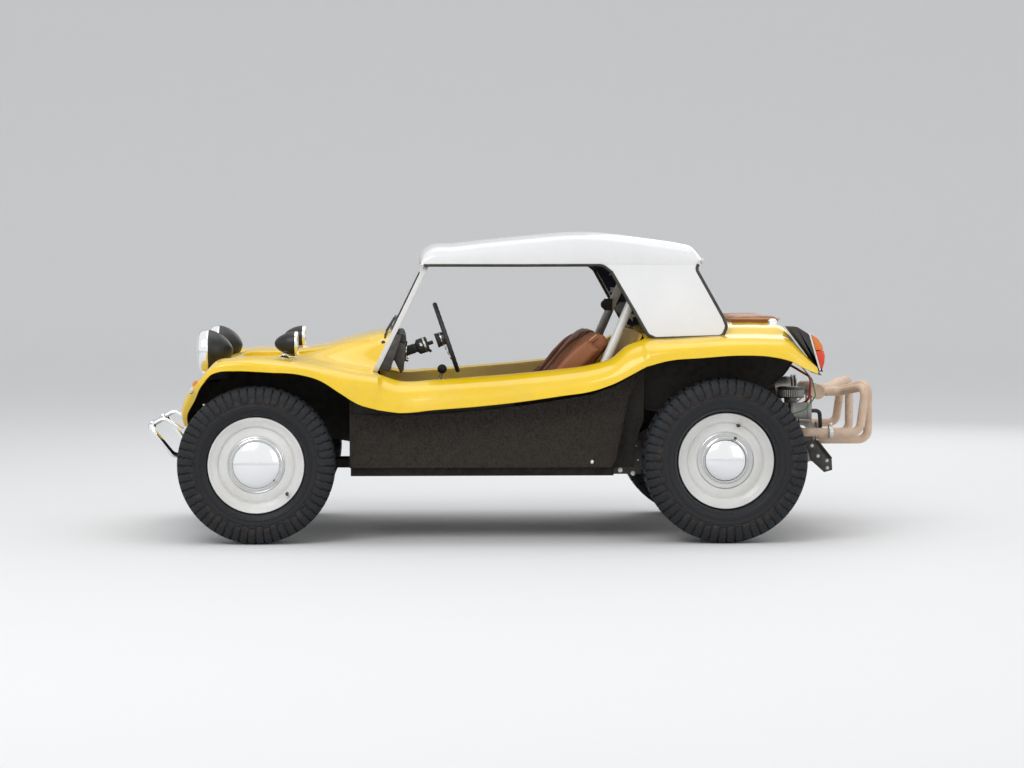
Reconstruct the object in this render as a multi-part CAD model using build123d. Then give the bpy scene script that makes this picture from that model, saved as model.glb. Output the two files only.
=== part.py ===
"""Dune buggy with hardtop: a glass-fibre body on a shortened floor pan, modelled in millimetres.

+X points to the rear of the car, +Y to its right-hand side and +Z up.
The origin lies on the ground, under the middle of the car's length and width.
"""
from build123d import *
import math
import os

# Overall sizes
WHEELBASE = 2032.0
FRONT_OVERHANG = 494.5
REAR_OVERHANG = 713.5
FRONT_AXLE_X = -(FRONT_OVERHANG + WHEELBASE + REAR_OVERHANG) / 2 + FRONT_OVERHANG
REAR_AXLE_X = FRONT_AXLE_X + WHEELBASE

# Wheels and tyres
FRONT_TYRE_R = 342.0
FRONT_TYRE_WIDTH = 205.0
FRONT_TYRE_FACE_Y = 780.0
REAR_TYRE_R = 357.0
REAR_TYRE_WIDTH = 240.0
REAR_TYRE_FACE_Y = 810.0
LUG_HEIGHT = 11.0
LUG_COUNT = 18
LUG_REACH = 0.94
RIM_FLANGE_R = 209.0
RIM_SEAT_R = 190.0
DRUM_R = 125.0
HUB_CAP_R_FRONT = 115.0
HUB_CAP_R_REAR = 103.0

# Shell and panels
SKIN = 6.0
PANEL = 4.0
SEAT_GAP = 0.3
WHEEL_CLEARANCE = 25.0

# Floor pan
PAN_FRONT_X = -720.0
PAN_REAR_X = 430.0
PAN_HALF_WIDTH = 600.0
PAN_Z = 300.0
PAN_THICK = 5.0
SILL_HEIGHT = 34.0
SILL_WIDTH = 40.0
TUNNEL_WIDTH = 150.0
TUNNEL_HEIGHT = 150.0

# Rims, drums and caps, measured from the wheel's middle plane towards its outer side
RIM_HALF_WIDTH = 78.0
DISC_S = 38.0
DRUM_BACK_S = -45.0

# Front axle: beam ahead of the wheel centres, king pins, track rod
BEAM_AHEAD = 140.0
BEAM_HALF = 470.0
BEAM_TUBE_R = 22.0
BEAM_TUBE_RISE = 60.0
BEAM_BRACKET = 10.0
SHOCK_AHEAD = 50.0
ARM_RISE = 60.0
KINGPIN_Y = 575.0
KINGPIN_R = 16.0
BACKPLATE_R = 122.0
TRACK_ARM = 80.0
TRACK_ROD_R = 10.0

# Rear fork and power train
HORN_Y = 150.0
HORN_WIDTH = 36.0
HORN_HEIGHT = 90.0
HEAD_HALF = 90.0
HEAD_DEPTH = 40.0
CRADLE = 20.0
GEARBOX_HALF = 105.0
GEARBOX_HEIGHT = 150.0
AXLE_TUBE_R = 32.0
REAR_SHOCK_R = 24.0
REAR_SHOCK_LENGTH = 330.0
TOWER_Y = 432.0
TOWER_THICK = 8.0
EYE_PIN_R = 8.0
TORSION_X = 496.0
TORSION_Z = 353.0
TORSION_R = 30.0
CRANKCASE = (1075.0, 1380.0, 95.0, 305.0, 490.0)
CYLINDER_R = 52.0
FIN_R = 72.0
FIN_SIDES = 14
PULLEY_R = 85.0
CARB_X = 1252.0
CARB_R = 24.0
CLEANER_R = 62.0
CANISTER_R = 40.0
CLAMP_R = 30.0
BARREL = 150.0
HEAD = 55.0
FIN_COUNT = 5
FIN_PITCH = 26.0
FIN_THICK = 8.0
EXHAUST_R = 19.5
SILENCER_X = 1380.0
SILENCER_R = 34.0
SILENCER_Z = 630.0
OUTLET_R = 20.5
OUTLET_WALL = 2.5
OUTLET_LENGTH = 60.0

# Panels of the tub
WELL_WALL_Y = 395.0
SIDE_PANEL_Y = 650.0
BULKHEAD_X = -712.0

# Windscreen: foot of its frame, rake from upright, height along the rake, half widths
SCREEN_BASE = (-615.0, 735.0)
SCREEN_RAKE = 25.9
SCREEN_HEIGHT = 520.0
SCREEN_HALF_LOW = 575.0
SCREEN_HALF_HIGH = 530.0
SCREEN_RAIL = 42.0
SCREEN_RAIL_FOOT = 174.0
SCREEN_DEPTH = 22.0
GLASS = 5.0
WIPER_R = 4.0

# Hardtop
ROOF_HALF = 560.0
ROOF_EDGE_Z = 1204.0
WINDOW_HALF = 400.0
WINDOW_TOP = 40.0
WINDOW_FOOT = 45.0
ROOF_STATIONS = [
    # x, top, edge
    (-414, 1240, 1204),
    (-388, 1287, 1204),
    (-270, 1301, 1204),
    (0, 1330, 1204),
    (322, 1352, 1204),
    (600, 1321, 1204),
    (800, 1287, 1206),
    (850, 1266, 1226),
    (878, 1248, 1238),
]

# Hood panel
HOOD_DEPTH = 16.0
HOOD_STATIONS = [
    # x, height of the top, half width
    (-1205, 812, 285),
    (-1180, 823, 300),
    (-1075, 828, 322),
    (-985, 828, 338),
    (-800, 852, 362),
    (-640, 882, 378),
]

# Steering wheel and column
WHEEL_CENTRE = (-299.0, -360.0, 882.0)
COLUMN_TILT = 19.0
HAND_WHEEL_R = 165.0
HAND_WHEEL_TUBE_R = 11.0
COLUMN_R = 21.0
SHAFT_R = 9.0
HUB_R = 34.0

# Dash
DASH_HALF = 500.0

# Lamps, mirrors
HEADLIGHT_Y = 390.0
HEADLIGHT_Z = 825.0
HEADLIGHT_R = 92.5
MIRROR_Y = 510.0

# Seats
SEAT_Y = 330.0
SEAT_WIDTH = 440.0
SEAT_TILT = 40.0
SEAT_FOOT_X = -22.0

# Gear lever: height of its knob over the tunnel.
GEAR_RISE = 272.0

# Roll hoop: places behind the seats' foot, heights, and half widths.
HOOP_FOOT = (237.0, 540.0)
HOOP_KNEE = (402.0, 545.0, 740.0)
HOOP_HEAD = (612.0, 470.0, 1215.0)
HOOP_R = 20.0

# Bumper and number-plate panel
BUMPER_R = 12.5
KNUCKLE_GAP = 5.0
PLATE_WIDTH = 330.0
PLATE_HEIGHT = 110.0
PLATE_BOLT_SPACING = 220.0
PLATE_HOLE_R = 3.5
PLATE_THICK = 3.0

# Body table: stations of the front moulding, from the nose tip to the windscreen.
# x, z: outer lip; tilt: lean of the section's own up axis towards the front, in degrees;
# hood, edge, valley, crown, bend: heights over the lip along that axis, from the middle outwards;
# edge_y: half width of the raised middle; lip_y: half width at the lip.
FRONT_STATIONS = [
    # x, z, tilt, hood, edge, edge_y, valley, crown, bend, lip_y
    (-1436, 497, 92, 26, 25, 300, 24, 24, 14, 484),
    (-1434, 545, 80, 38, 36, 300, 34, 32, 20, 545),
    (-1396, 615, 62, 56, 52, 300, 46, 48, 30, 625),
    (-1357, 688, 50, 26, 18, 300, 8, 26, 16, 732),
    (-1316, 735, 42, 14, 2, 290, -30, 24, 14, 765),
    (-1280, 747, 20, 34, 18, 300, -40, 44, 28, 770),
    (-1225, 750, 5, 52, 40, 310, 0, 52, 34, 770),
    (-1072, 744, 0, 70, 60, 340, 48, 57, 30, 770),
    (-930, 733, 0, 88, 78, 360, 52, 52, 26, 770),
    (-848, 708, 0, 128, 118, 372, 72, 66, 28, 770),
    (-767, 657, 0, 194, 183, 384, 112, 100, 32, 770),
    (-686, 607, 0, 258, 246, 392, 152, 136, 36, 770),
    (-600, 581, 0, 298, 286, 400, 162, 150, 38, 770),
]
COWL_END = (-542, 887)

# Stations of the cockpit sides. rail: top of the tub's inner wall; crown: top of the flare;
# bend: where the flare turns down into its lip.
SIDE_STATIONS = [
    # x, rail, crown, bend, lip
    (-600, 716, 731, 619, 581),
    (-503, 690, 702, 606, 569),
    (-362, 696, 706, 616, 581),
    (-160, 712, 720, 632, 597),
    (48, 729, 737, 656, 620),
    (187, 744, 752, 676, 640),
    (328, 762, 772, 700, 662),
    (421, 792, 802, 732, 694),
    (477, 842, 850, 762, 722),
    (560, 880, 884, 812, 767),
]

# Stations of the rear moulding. deck: middle of the rear deck; crown, bend and lip as above.
REAR_STATIONS = [
    # x, deck, crown, bend, lip, lip_y
    (560, 905, 884, 812, 767, 776),
    (654, 928, 886, 832, 792, 782),
    (794, 940, 893, 846, 804, 788),
    (976, 945, 900, 856, 815, 790),
    (1098, 944, 898, 850, 809, 790),
    (1182, 936, 890, 836, 790, 788),
    (1237, 866, 840, 802, 761, 786),
    (1303, 778, 768, 754, 734, 780),
]
RAIL_Y = 615.0
CROWN_Y = 642.0
SHOULDER_Y = 715.0
BEND_Y = 752.0
SIDE_LIP_Y = 770.0
VALLEY_Y = 500.0


def along(x):
    """Place along the car of a point drawn for the standard wheelbase of 2032 mm."""
    standard_front = -1125.5
    standard_wheelbase = 2032.0
    if x <= standard_front:
        return FRONT_AXLE_X + (x - standard_front)
    if x >= standard_front + standard_wheelbase:
        return REAR_AXLE_X + (x - standard_front - standard_wheelbase)
    return FRONT_AXLE_X + (x - standard_front) * WHEELBASE / standard_wheelbase


def box(x0, x1, y0, y1, z0, z1):
    """A block between two corners."""
    return Pos((x0 + x1) / 2, (y0 + y1) / 2, (z0 + z1) / 2) * Box(abs(x1 - x0), abs(y1 - y0), abs(z1 - z0))


def largest(shape):
    """The main solid of a trimmed piece."""
    return max(shape.solids(), key=lambda solid: solid.volume)


def both(shape):
    """A piece and its mirror image on the other side of the car."""
    return [shape, shape.mirror(Plane.XZ)]


def disc(centre, axis, radius, length):
    """A cylinder that starts at a point and runs along an axis."""
    return Plane(origin=centre, z_dir=axis) * Cylinder(radius, length, align=(Align.CENTER, Align.CENTER, Align.MIN))


def rod(start, end, radius):
    """A round bar between two points."""
    run = Vector(*end) - Vector(*start)
    return disc(start, run, radius, run.length)


def bent_tube(points, bend, radius, bore=0.0):
    """A round tube along straight runs joined by arcs of one bend radius, or of one radius per corner."""
    path = FilletPolyline(*points, radius=bend) if len(points) > 2 else Line(*points)
    start = Plane(origin=path @ 0, z_dir=path % 0)
    ring = Circle(radius) - Circle(bore) if bore else Circle(radius)
    return sweep(start * ring, path=path)


def turned(profile, centre, axis):
    """A ring or disc turned about an axis. The profile holds pairs of radius and place along the axis."""
    face = make_face(Polyline(*[(r, s) for r, s in profile], close=True))
    flat = Plane.XZ * face
    return Plane(origin=centre, z_dir=axis) * revolve(flat, axis=Axis.Z)


def offset_line(points, wall):
    """The points of a line moved sideways by the wall's thickness, to the left of its direction."""
    moved = []
    for i, (u, v) in enumerate(points):
        before = points[max(i - 1, 0)]
        after = points[min(i + 1, len(points) - 1)]
        normals = []
        for (u0, v0), (u1, v1) in ((before, (u, v)), ((u, v), after)):
            run = math.hypot(u1 - u0, v1 - v0)
            if run > 0:
                normals.append((-(v1 - v0) / run, (u1 - u0) / run))
        nu = sum(n[0] for n in normals) / len(normals)
        nv = sum(n[1] for n in normals) / len(normals)
        scale = wall / (nu * nu + nv * nv)
        moved.append((u + nu * scale, v + nv * scale))
    return moved


def section(x, z, tilt, line, wall=SKIN):
    """A closed thin wire across the car: a line of (y, height) points and its wall, on a leaning plane."""
    lean = math.radians(tilt)
    ring = line + offset_line(line, wall)[::-1]
    return Wire.make_polygon(
        [Vector(x - h * math.sin(lean), y, z + h * math.cos(lean)) for y, h in ring], close=True
    )


def core_section(x, z, tilt, line, gap=SEAT_GAP, depth=40):
    """The closed outline of all that lies under a line of the body, grown outwards by the seating gap."""
    lean = math.radians(tilt)
    grown = offset_line(line, -gap)
    low = min(h for _, h in grown) - depth
    ring = grown + [(grown[-1][0], low), (grown[0][0], low)]
    return Wire.make_polygon(
        [Vector(x - h * math.sin(lean), y, z + h * math.cos(lean)) for y, h in ring], close=True
    )


def skin(sections):
    """A solid lofted straight from section to section."""
    return Solid.make_loft(sections, ruled=True)


def mirrored_line(half, middle):
    """A line across the whole car from its right half and the point on the centre line."""
    return half + [middle] + [(-y, h) for y, h in half[::-1]]


def front_lines():
    """Outer lines of the front moulding's sections, with their place and lean."""
    lines = []
    for x, z, tilt, hood, edge, edge_y, valley, crown, bend, lip_y in FRONT_STATIONS:
        half = [
            (lip_y, 0),
            (lip_y - 10, bend),
            (lip_y - 50, bend + (crown - bend) * 0.75),
            (min(CROWN_Y - 20, lip_y - 90), crown),
            (min(VALLEY_Y, lip_y - 130), valley),
            (edge_y, edge),
        ]
        lines.append((along(x), z, tilt, mirrored_line(half, (0, hood))))
    return lines


def cowl_lines():
    """Outer lines of the cowl, which carries the raised middle back to the windscreen's foot rail."""
    x, z, tilt, hood, edge, edge_y, valley = FRONT_STATIONS[-1][:7]
    start = mirrored_line([(VALLEY_Y, z + valley), (edge_y, z + edge)], (0, z + hood))
    x_end, top = COWL_END
    end = mirrored_line([(VALLEY_Y, z + valley - 4), (edge_y, top - 12)], (0, top))
    return [(along(x), 0, 0, start), (along(x_end), 0, 0, end)]


def side_lines():
    """Lines of the cockpit side sections: from the lip over the flare and down the inner wall."""
    lines = []
    for x, rail, crown, bend, lip in SIDE_STATIONS:
        line = [
            (SIDE_LIP_Y, lip),
            (BEND_Y + 4, bend),
            (SHOULDER_Y, bend + (crown - bend) * 0.62),
            (CROWN_Y, crown),
            (RAIL_Y, rail),
            (PAN_HALF_WIDTH - SKIN - 2, PAN_Z + SILL_HEIGHT / 2 + 2 * SEAT_GAP),
        ]
        lines.append((along(x), 0, 0, line))
    return lines


def rear_lines():
    """Outer lines of the rear moulding's sections."""
    lines = []
    for x, deck, crown, bend, lip, lip_y in REAR_STATIONS:
        half = [
            (lip_y, lip),
            (lip_y - 14, bend),
            (lip_y - 56, bend + (crown - bend) * 0.65),
            (CROWN_Y, crown),
            (CROWN_Y - 90, crown + (deck - crown) * 0.75),
            (CROWN_Y - 160, deck - 4),
        ]
        lines.append((along(x), 0, 0, mirrored_line(half, (0, deck))))
    return lines


def core(lines):
    """The body filled in below its outer surface, used to trim what is seated on it."""
    return skin([core_section(*row) for row in lines])


def front_body():
    """Nose, front fenders, scuttle and cowl, open below for the wheels."""
    return skin([section(*row) for row in front_lines()]) + skin([section(*row) for row in cowl_lines()])


def body_sides():
    """Cockpit walls of the tub with the flares outside them, cut clear of the rear tyres."""
    left = skin([section(*row) for row in side_lines()])
    left -= disc((REAR_AXLE_X, PAN_HALF_WIDTH - 60, REAR_TYRE_R), (0, 1, 0), REAR_TYRE_R + WHEEL_CLEARANCE, 300)
    return both(left)


def rear_body():
    """Rear deck and rear fenders, open below over the wheels and the engine."""
    return skin([section(*row) for row in rear_lines()])


def floor_pan():
    """Pan floor with sill rails, centre tunnel, frame head and the two horns of the rear fork."""
    front, rear = along(PAN_FRONT_X), along(PAN_REAR_X)
    top = PAN_Z + PAN_THICK
    pan = box(front, rear, -PAN_HALF_WIDTH, PAN_HALF_WIDTH, PAN_Z, top)
    for side in (-1, 1):
        y0, y1 = side * (PAN_HALF_WIDTH - SILL_WIDTH), side * PAN_HALF_WIDTH
        pan += box(front, rear, y0, y1, PAN_Z - SILL_HEIGHT / 2, PAN_Z + SILL_HEIGHT / 2)
    arch = make_face(Polyline(
        (-TUNNEL_WIDTH / 2, top), (-TUNNEL_WIDTH * 0.36, top + TUNNEL_HEIGHT * 0.8),
        (-TUNNEL_WIDTH * 0.2, top + TUNNEL_HEIGHT), (TUNNEL_WIDTH * 0.2, top + TUNNEL_HEIGHT),
        (TUNNEL_WIDTH * 0.36, top + TUNNEL_HEIGHT * 0.8), (TUNNEL_WIDTH / 2, top), close=True))
    pan += Pos(front, 0, 0) * (Plane.YZ * extrude(arch, rear - front))
    head_front = FRONT_AXLE_X - BEAM_AHEAD + BEAM_TUBE_R + BEAM_BRACKET + SEAT_GAP
    head_top = FRONT_TYRE_R - TRACK_ROD_R - KNUCKLE_GAP - 4
    head_low = head_top - HEAD_DEPTH
    head_rear = along(BULKHEAD_X)
    pan += box(head_front, head_rear, -HEAD_HALF, HEAD_HALF, head_low, head_top)
    pan += box(front, head_rear, -HEAD_HALF, HEAD_HALF, min(head_low, PAN_Z), max(head_top, top))
    horn_end = REAR_AXLE_X - AXLE_TUBE_R - KNUCKLE_GAP
    low = REAR_TYRE_R - GEARBOX_HEIGHT / 2 - CRADLE
    fork = box(rear - 60, rear, -HORN_Y - HORN_WIDTH, HORN_Y + HORN_WIDTH, low, PAN_Z)
    for side in (-1, 1):
        fork += box(rear - 20, horn_end, side * HORN_Y, side * (HORN_Y + HORN_WIDTH), low, low + HORN_HEIGHT)
    fork += box(horn_end - 50, horn_end, -HORN_Y, HORN_Y, low, low + CRADLE - SEAT_GAP)
    tube_way = rod((along(TORSION_X), -HORN_Y * 2, TORSION_Z), (along(TORSION_X), HORN_Y * 2, TORSION_Z),
                   TORSION_R + SEAT_GAP)
    return pan + (fork - tube_way)


def inner_panels():
    """Inner walls of the front wheel wells, front bulkhead with foot boards, and seat-back bulkhead."""
    foot_x = along(BULKHEAD_X)
    well = make_face(Polyline(
        (along(-1350), 560), (along(-1290), 690), (along(-1000), 735), (foot_x, 735),
        (foot_x, 420), (along(-1000), 470), (along(-1240), 470), close=True))
    left = Pos(0, -WELL_WALL_Y, 0) * (Plane.XZ * extrude(well, PANEL))
    half = PAN_HALF_WIDTH - SILL_WIDTH - SEAT_GAP
    bulkhead = box(foot_x + SEAT_GAP, foot_x + SEAT_GAP + PANEL, -half, half, PAN_Z + PAN_THICK + SEAT_GAP, 700)
    notch = box(foot_x - 20, foot_x + 20, -TUNNEL_WIDTH / 2 - SEAT_GAP, TUNNEL_WIDTH / 2 + SEAT_GAP,
                PAN_Z, PAN_Z + PAN_THICK + TUNNEL_HEIGHT + SEAT_GAP)
    return both(left) + [bulkhead - notch]


def rear_bulkhead():
    """Sloping wall behind the seats, from the tunnel up to the front edge of the rear deck."""
    foot = (along(330), PAN_Z + PAN_THICK + TUNNEL_HEIGHT + SEAT_GAP)
    deck = REAR_STATIONS[0][1]
    head = (along(REAR_STATIONS[0][0]) - SEAT_GAP - PANEL, deck)
    rise = make_face(Polyline(foot, head, (head[0] + PANEL, deck), (foot[0] + PANEL, foot[1]), close=True))
    slab = extrude(Plane.XZ * rise, RAIL_Y - 17, both=True)
    outline = make_face(Polyline(*[(y, z) for y, z in rear_lines()[0][3]], close=True))
    outline += Pos(0, deck / 2 - 10) * Rectangle(2 * RAIL_Y, deck - 140)
    return largest(slab & (Pos(head[0] - WHEELBASE / 4, 0, 0) * (Plane.YZ * extrude(outline, WHEELBASE / 2))))


def side_panels():
    """Black pods along the sills, under the flares, one on each side."""
    face = make_face(Polyline(
        (along(-724), 556), (along(-724), PAN_Z + 22), (along(430), PAN_Z + 22),
        (along(496), 628), (along(556), 745), (along(420), 672), (along(328), 640), (along(48), 596),
        (along(-160), 572), (along(-362), 556), (along(-560), 550), close=True))
    panel = Plane.XZ * extrude(face, PANEL)
    left = Pos(0, -SIDE_PANEL_Y, 0) * panel
    shelf_z = PAN_Z + SILL_HEIGHT / 2 + PANEL + 1
    left += box(along(-590), along(430), -SIDE_PANEL_Y - PANEL / 2, 1 - PAN_HALF_WIDTH, shelf_z, shelf_z + PANEL)
    return both(left)


def hood(front_core):
    """Hood panel with its raised front, closing the nose between the fenders."""
    sections = []
    for x, top, half in HOOD_STATIONS:
        line = mirrored_line([(half, top - 12), (half - 50, top - 3)], (0, top + 3))
        sections.append(section(along(x), 0, 0, line, HOOD_DEPTH))
    return skin(sections) - front_core


def windscreen_plane():
    """The plane of the glass: x runs across the car, y up along the rake, z towards the front."""
    base_x, base_z = along(SCREEN_BASE[0]), SCREEN_BASE[1]
    lean = math.radians(SCREEN_RAKE)
    return Plane(origin=(base_x, 0, base_z), x_dir=(0, -1, 0), z_dir=(-math.cos(lean), 0, math.sin(lean)))


def screen_outline(inset, foot=0):
    """Outline of the windscreen, drawn in its own plane, moved inwards by an inset and cut off at its foot."""
    def half_at(s):
        return SCREEN_HALF_LOW + (SCREEN_HALF_HIGH - SCREEN_HALF_LOW) * s / SCREEN_HEIGHT - inset

    top = SCREEN_HEIGHT - inset
    return make_face(Polyline((-half_at(foot), foot), (half_at(foot), foot), (half_at(top), top),
                              (-half_at(top), top), close=True))


def windscreen_frame(trims):
    """White frame of flat section: a rail on the cowl, and pillars that run on down to the tub's sides."""
    rail_foot = SCREEN_RAIL_FOOT
    inner = screen_outline(SCREEN_RAIL, rail_foot + SCREEN_RAIL)
    under = screen_outline(SCREEN_RAIL) - Pos(0, rail_foot + 500, 0) * Rectangle(3000, 1000)
    frame = windscreen_plane() * extrude(screen_outline(0) - inner - under, SCREEN_DEPTH / 2, both=True)
    for trim in trims:
        frame -= trim
    return frame


def windscreen_glass():
    """Windscreen pane, set in the middle of its frame's depth."""
    return windscreen_plane() * extrude(
        screen_outline(SCREEN_RAIL + SEAT_GAP, SCREEN_RAIL_FOOT + SCREEN_RAIL + SEAT_GAP), GLASS / 2, both=True)


def wipers():
    """Two wiper arms with blades, parked along the foot of the glass."""
    plane = windscreen_plane()
    foot = SCREEN_RAIL_FOOT + SCREEN_RAIL / 2
    face = SCREEN_DEPTH / 2 + WIPER_R + SEAT_GAP
    made = []
    for y in (-330, 130):
        spindle = plane * Pos(y, foot, SCREEN_DEPTH / 2 + SEAT_GAP) * Cylinder(9, 24, align=(Align.CENTER, Align.CENTER, Align.MIN))
        arm = plane * Pos(0, 0, face + 8) * bent_tube([(y, foot, 0), (y + 90, foot + 30, 0), (y + 240, foot + 62, 0)], 60, WIPER_R)
        blade = plane * Pos(y + 215, foot + 54, face + 3) * Rot(0, 0, 12) * Box(300, 9, 10)
        made.append(spindle + arm + blade)
    return made


def crown_height(x):
    """Height of the rear fender's crown at a place along the car."""
    rows = [(row[0], row[2]) for row in REAR_STATIONS]
    for (x0, z0), (x1, z1) in zip(rows, rows[1:]):
        if x <= x1:
            return z0 + (z1 - z0) * (x - x0) / (x1 - x0)
    return rows[-1][1]


def hardtop(rear_core):
    """Roof, closed rear quarters and sloping back with its window opening."""
    lines = []
    for x, top, edge in ROOF_STATIONS:
        half = [(ROOF_HALF, edge), (ROOF_HALF - 5, edge + (top - 30 - edge) * 0.6),
                (ROOF_HALF - 26, top - 28), (ROOF_HALF - 95, top - 9)]
        lines.append((x, mirrored_line(half, (0, top))))
    roof = skin([section(along(x), 0, 0, line) for x, line in lines])
    lean = math.atan2(CROWN_Y + 2 - ROOF_HALF, ROOF_EDGE_Z - 892)
    foot = -4
    points = [
        (380, ROOF_EDGE_Z + 3), (418, 1177), (517, 1003), (574, crown_height(574) + foot + 14),
        (608, crown_height(608) + foot), (901, crown_height(901) + foot), (920, 936), (906, 974),
        (790, 1191), (790, ROOF_EDGE_Z + 3)]
    face = make_face(Polyline(*[(along(x), (z - ROOF_EDGE_Z) / math.cos(lean)) for x, z in points], close=True))
    for side in (-1, 1):
        plane = Plane(origin=(0, side * ROOF_HALF, ROOF_EDGE_Z), x_dir=(1, 0, 0),
                      z_dir=(0, -math.cos(lean), -side * math.sin(lean)))
        wall = plane * face
        roof += extrude(wall, SKIN, dir=(0, -side, 0))
    drop = math.hypot(906 - 788, 1191 - 974)
    back = Plane(origin=(along(788), 0, 1191), x_dir=(0, 1, 0), z_dir=(974 - 1191, 0, -(906 - 788)))
    low, high = CROWN_Y - 23, ROOF_HALF - 1
    panel = make_face(Polyline((-high, -SKIN), (high, -SKIN), (low, drop), (-low, drop), close=True))
    under_roof = skin([core_section(along(x), 0, 0, line, 0, 250) for x, line in lines])
    rise = make_face(Polyline((-high, -110), (high, -110), (high, 0), (-high, 0), close=True))
    roof += (back * extrude(rise, SKIN)) & under_roof
    hem = Plane(origin=(along(906), 0, 974), x_dir=(0, 1, 0), z_dir=(936 - 974, 0, 906 - 920))
    roof += hem * extrude(make_face(Polyline((-low, -1), (low, -1), (low + 13, 58), (-low - 13, 58), close=True)), SKIN)

    def window(gap):
        top, foot_s = WINDOW_TOP + gap, drop - WINDOW_FOOT - gap
        return make_face(Polyline((-WINDOW_HALF + gap, top), (WINDOW_HALF - gap, top),
                                  (WINDOW_HALF + 30 - gap, foot_s), (-WINDOW_HALF - 30 + gap, foot_s), close=True))

    roof += back * extrude(panel - window(0), SKIN)
    pane = back * Pos(0, 0, (SKIN - GLASS) / 2) * extrude(window(SEAT_GAP), GLASS)
    return largest(roof - rear_core), pane


def wheel_parts(tyre_r, width, cap_r):
    """Tyre, rim with its brake drum, and hub cap of a left wheel, centred on the origin, outer side at -Y."""
    half = width / 2
    sides = LUG_COUNT
    turn = 360 / sides

    def ring(radius, s, phase=0.5):
        points = []
        for i in range(sides):
            angle = math.radians((i + phase) * turn)
            points.append(Vector(radius * math.cos(angle), s, radius * math.sin(angle)))
        return Wire.make_polygon(points, close=True)

    rows = [(RIM_FLANGE_R + 7, (RIM_HALF_WIDTH + 3) / half), (tyre_r - 62, 1.0), (tyre_r - LUG_HEIGHT - 2, 0.90)]
    outline = [(r, -s * half) for r, s in rows] + [(r, s * half) for r, s in rows[::-1]]
    carcass = Solid.make_loft([ring(r, s) for r, s in outline], ruled=True)
    bore_r = (RIM_SEAT_R + SEAT_GAP) / math.cos(math.pi / sides)
    seat_s, lip_s = RIM_HALF_WIDTH - 12 - SEAT_GAP, RIM_HALF_WIDTH + SEAT_GAP
    lip_r = (RIM_FLANGE_R + 2 * SEAT_GAP) / math.cos(math.pi / sides)
    well = [(lip_r, -half), (lip_r, -lip_s), (bore_r, -seat_s), (bore_r, seat_s), (lip_r, lip_s), (lip_r, half)]
    tyre = carcass - Solid.make_loft([ring(r, s) for r, s in well], ruled=True)

    def lugs(s0, s1, shift):
        outline = []
        base = tyre_r - LUG_HEIGHT - 18
        for i in range(LUG_COUNT):
            for share, r in ((0.03, base), (0.10, tyre_r), (0.62, tyre_r), (0.69, base)):
                angle = 2 * math.pi * (i + share + shift) / LUG_COUNT
                outline.append((r * math.cos(angle), r * math.sin(angle)))
        slab = extrude(make_face(Polyline(*outline, close=True)), s1 - s0)
        core = RegularPolygon(bore_r + 60, sides)
        slab -= extrude(core, s1 - s0)
        return Pos(0, s1, 0) * Rot(90, 0, 0) * slab

    tyre = tyre + lugs(-half * LUG_REACH, -6, 0.0) + lugs(6, half * LUG_REACH, 0.5)
    w = RIM_HALF_WIDTH
    profile = [
        (RIM_FLANGE_R, w), (RIM_SEAT_R, w - 12), (RIM_SEAT_R, -w + 12), (RIM_FLANGE_R, -w), (RIM_SEAT_R - 5, -w + 10),
        (RIM_SEAT_R - 5, DISC_S - 10), (DRUM_R, DISC_S - 7), (DRUM_R, DRUM_BACK_S), (0, DRUM_BACK_S), (0, DISC_S),
        (166, DISC_S - 4), (RIM_FLANGE_R - 6, w)]
    rim = turned(profile, (0, 0, 0), (0, -1, 0))
    cap = turned([(0, DISC_S), (cap_r, DISC_S), (cap_r - 4, DISC_S + 12), (cap_r * 0.72, DISC_S + 32),
                  (cap_r * 0.38, DISC_S + 42), (0, DISC_S + 45)], (0, 0, 0), (0, -1, 0))
    return tyre, rim, cap


def wheels():
    """The four wheels, each as a tyre, a rim and a hub cap."""
    nodes = {}
    rows = [
        # name, axle x, tyre radius, tyre width, outer face, cap radius
        ("front", FRONT_AXLE_X, FRONT_TYRE_R, FRONT_TYRE_WIDTH, FRONT_TYRE_FACE_Y, HUB_CAP_R_FRONT),
        ("rear", REAR_AXLE_X, REAR_TYRE_R, REAR_TYRE_WIDTH, REAR_TYRE_FACE_Y, HUB_CAP_R_REAR),
    ]
    for name, axle_x, tyre_r, width, face_y, cap_r in rows:
        parts = wheel_parts(tyre_r, width, cap_r)
        place = Pos(axle_x, -(face_y - width / 2), tyre_r)
        for kind, shape in zip(("tyre", "rim", "hub_cap"), parts):
            left = place * shape
            nodes[f"{kind}_{name}_left"] = [left]
            nodes[f"{kind}_{name}_right"] = [left.mirror(Plane.XZ)]
    return nodes


def front_axle():
    """Beam of two torsion tubes with shock towers, and the bracket that joins it to the tunnel."""
    x = FRONT_AXLE_X - BEAM_AHEAD
    z = FRONT_TYRE_R
    beam = None
    for rise in (-BEAM_TUBE_RISE, BEAM_TUBE_RISE):
        tube = rod((x, -BEAM_HALF, z + rise), (x, BEAM_HALF, z + rise), BEAM_TUBE_R)
        beam = tube if beam is None else beam + tube
    top = z + BEAM_TUBE_RISE + BEAM_TUBE_R
    for side in (-1, 1):
        tower_y = side * (BEAM_HALF - 45)
        beam += box(x - SHOCK_AHEAD, x + 14, tower_y - 9, tower_y + 9, top + 60, top + 135)
        beam += box(x - 14, x + 14, tower_y - 9, tower_y + 9, z - BEAM_TUBE_RISE - 10, top + 70)
        beam += box(x - 10, x + BEAM_TUBE_R + BEAM_BRACKET, side * 58, side * 92, z - BEAM_TUBE_RISE - 26, top + 4)
    beam += box(x + BEAM_TUBE_R - 5, x + BEAM_TUBE_R + BEAM_BRACKET, -92, 92, PAN_Z, top + 4)
    return beam


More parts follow.
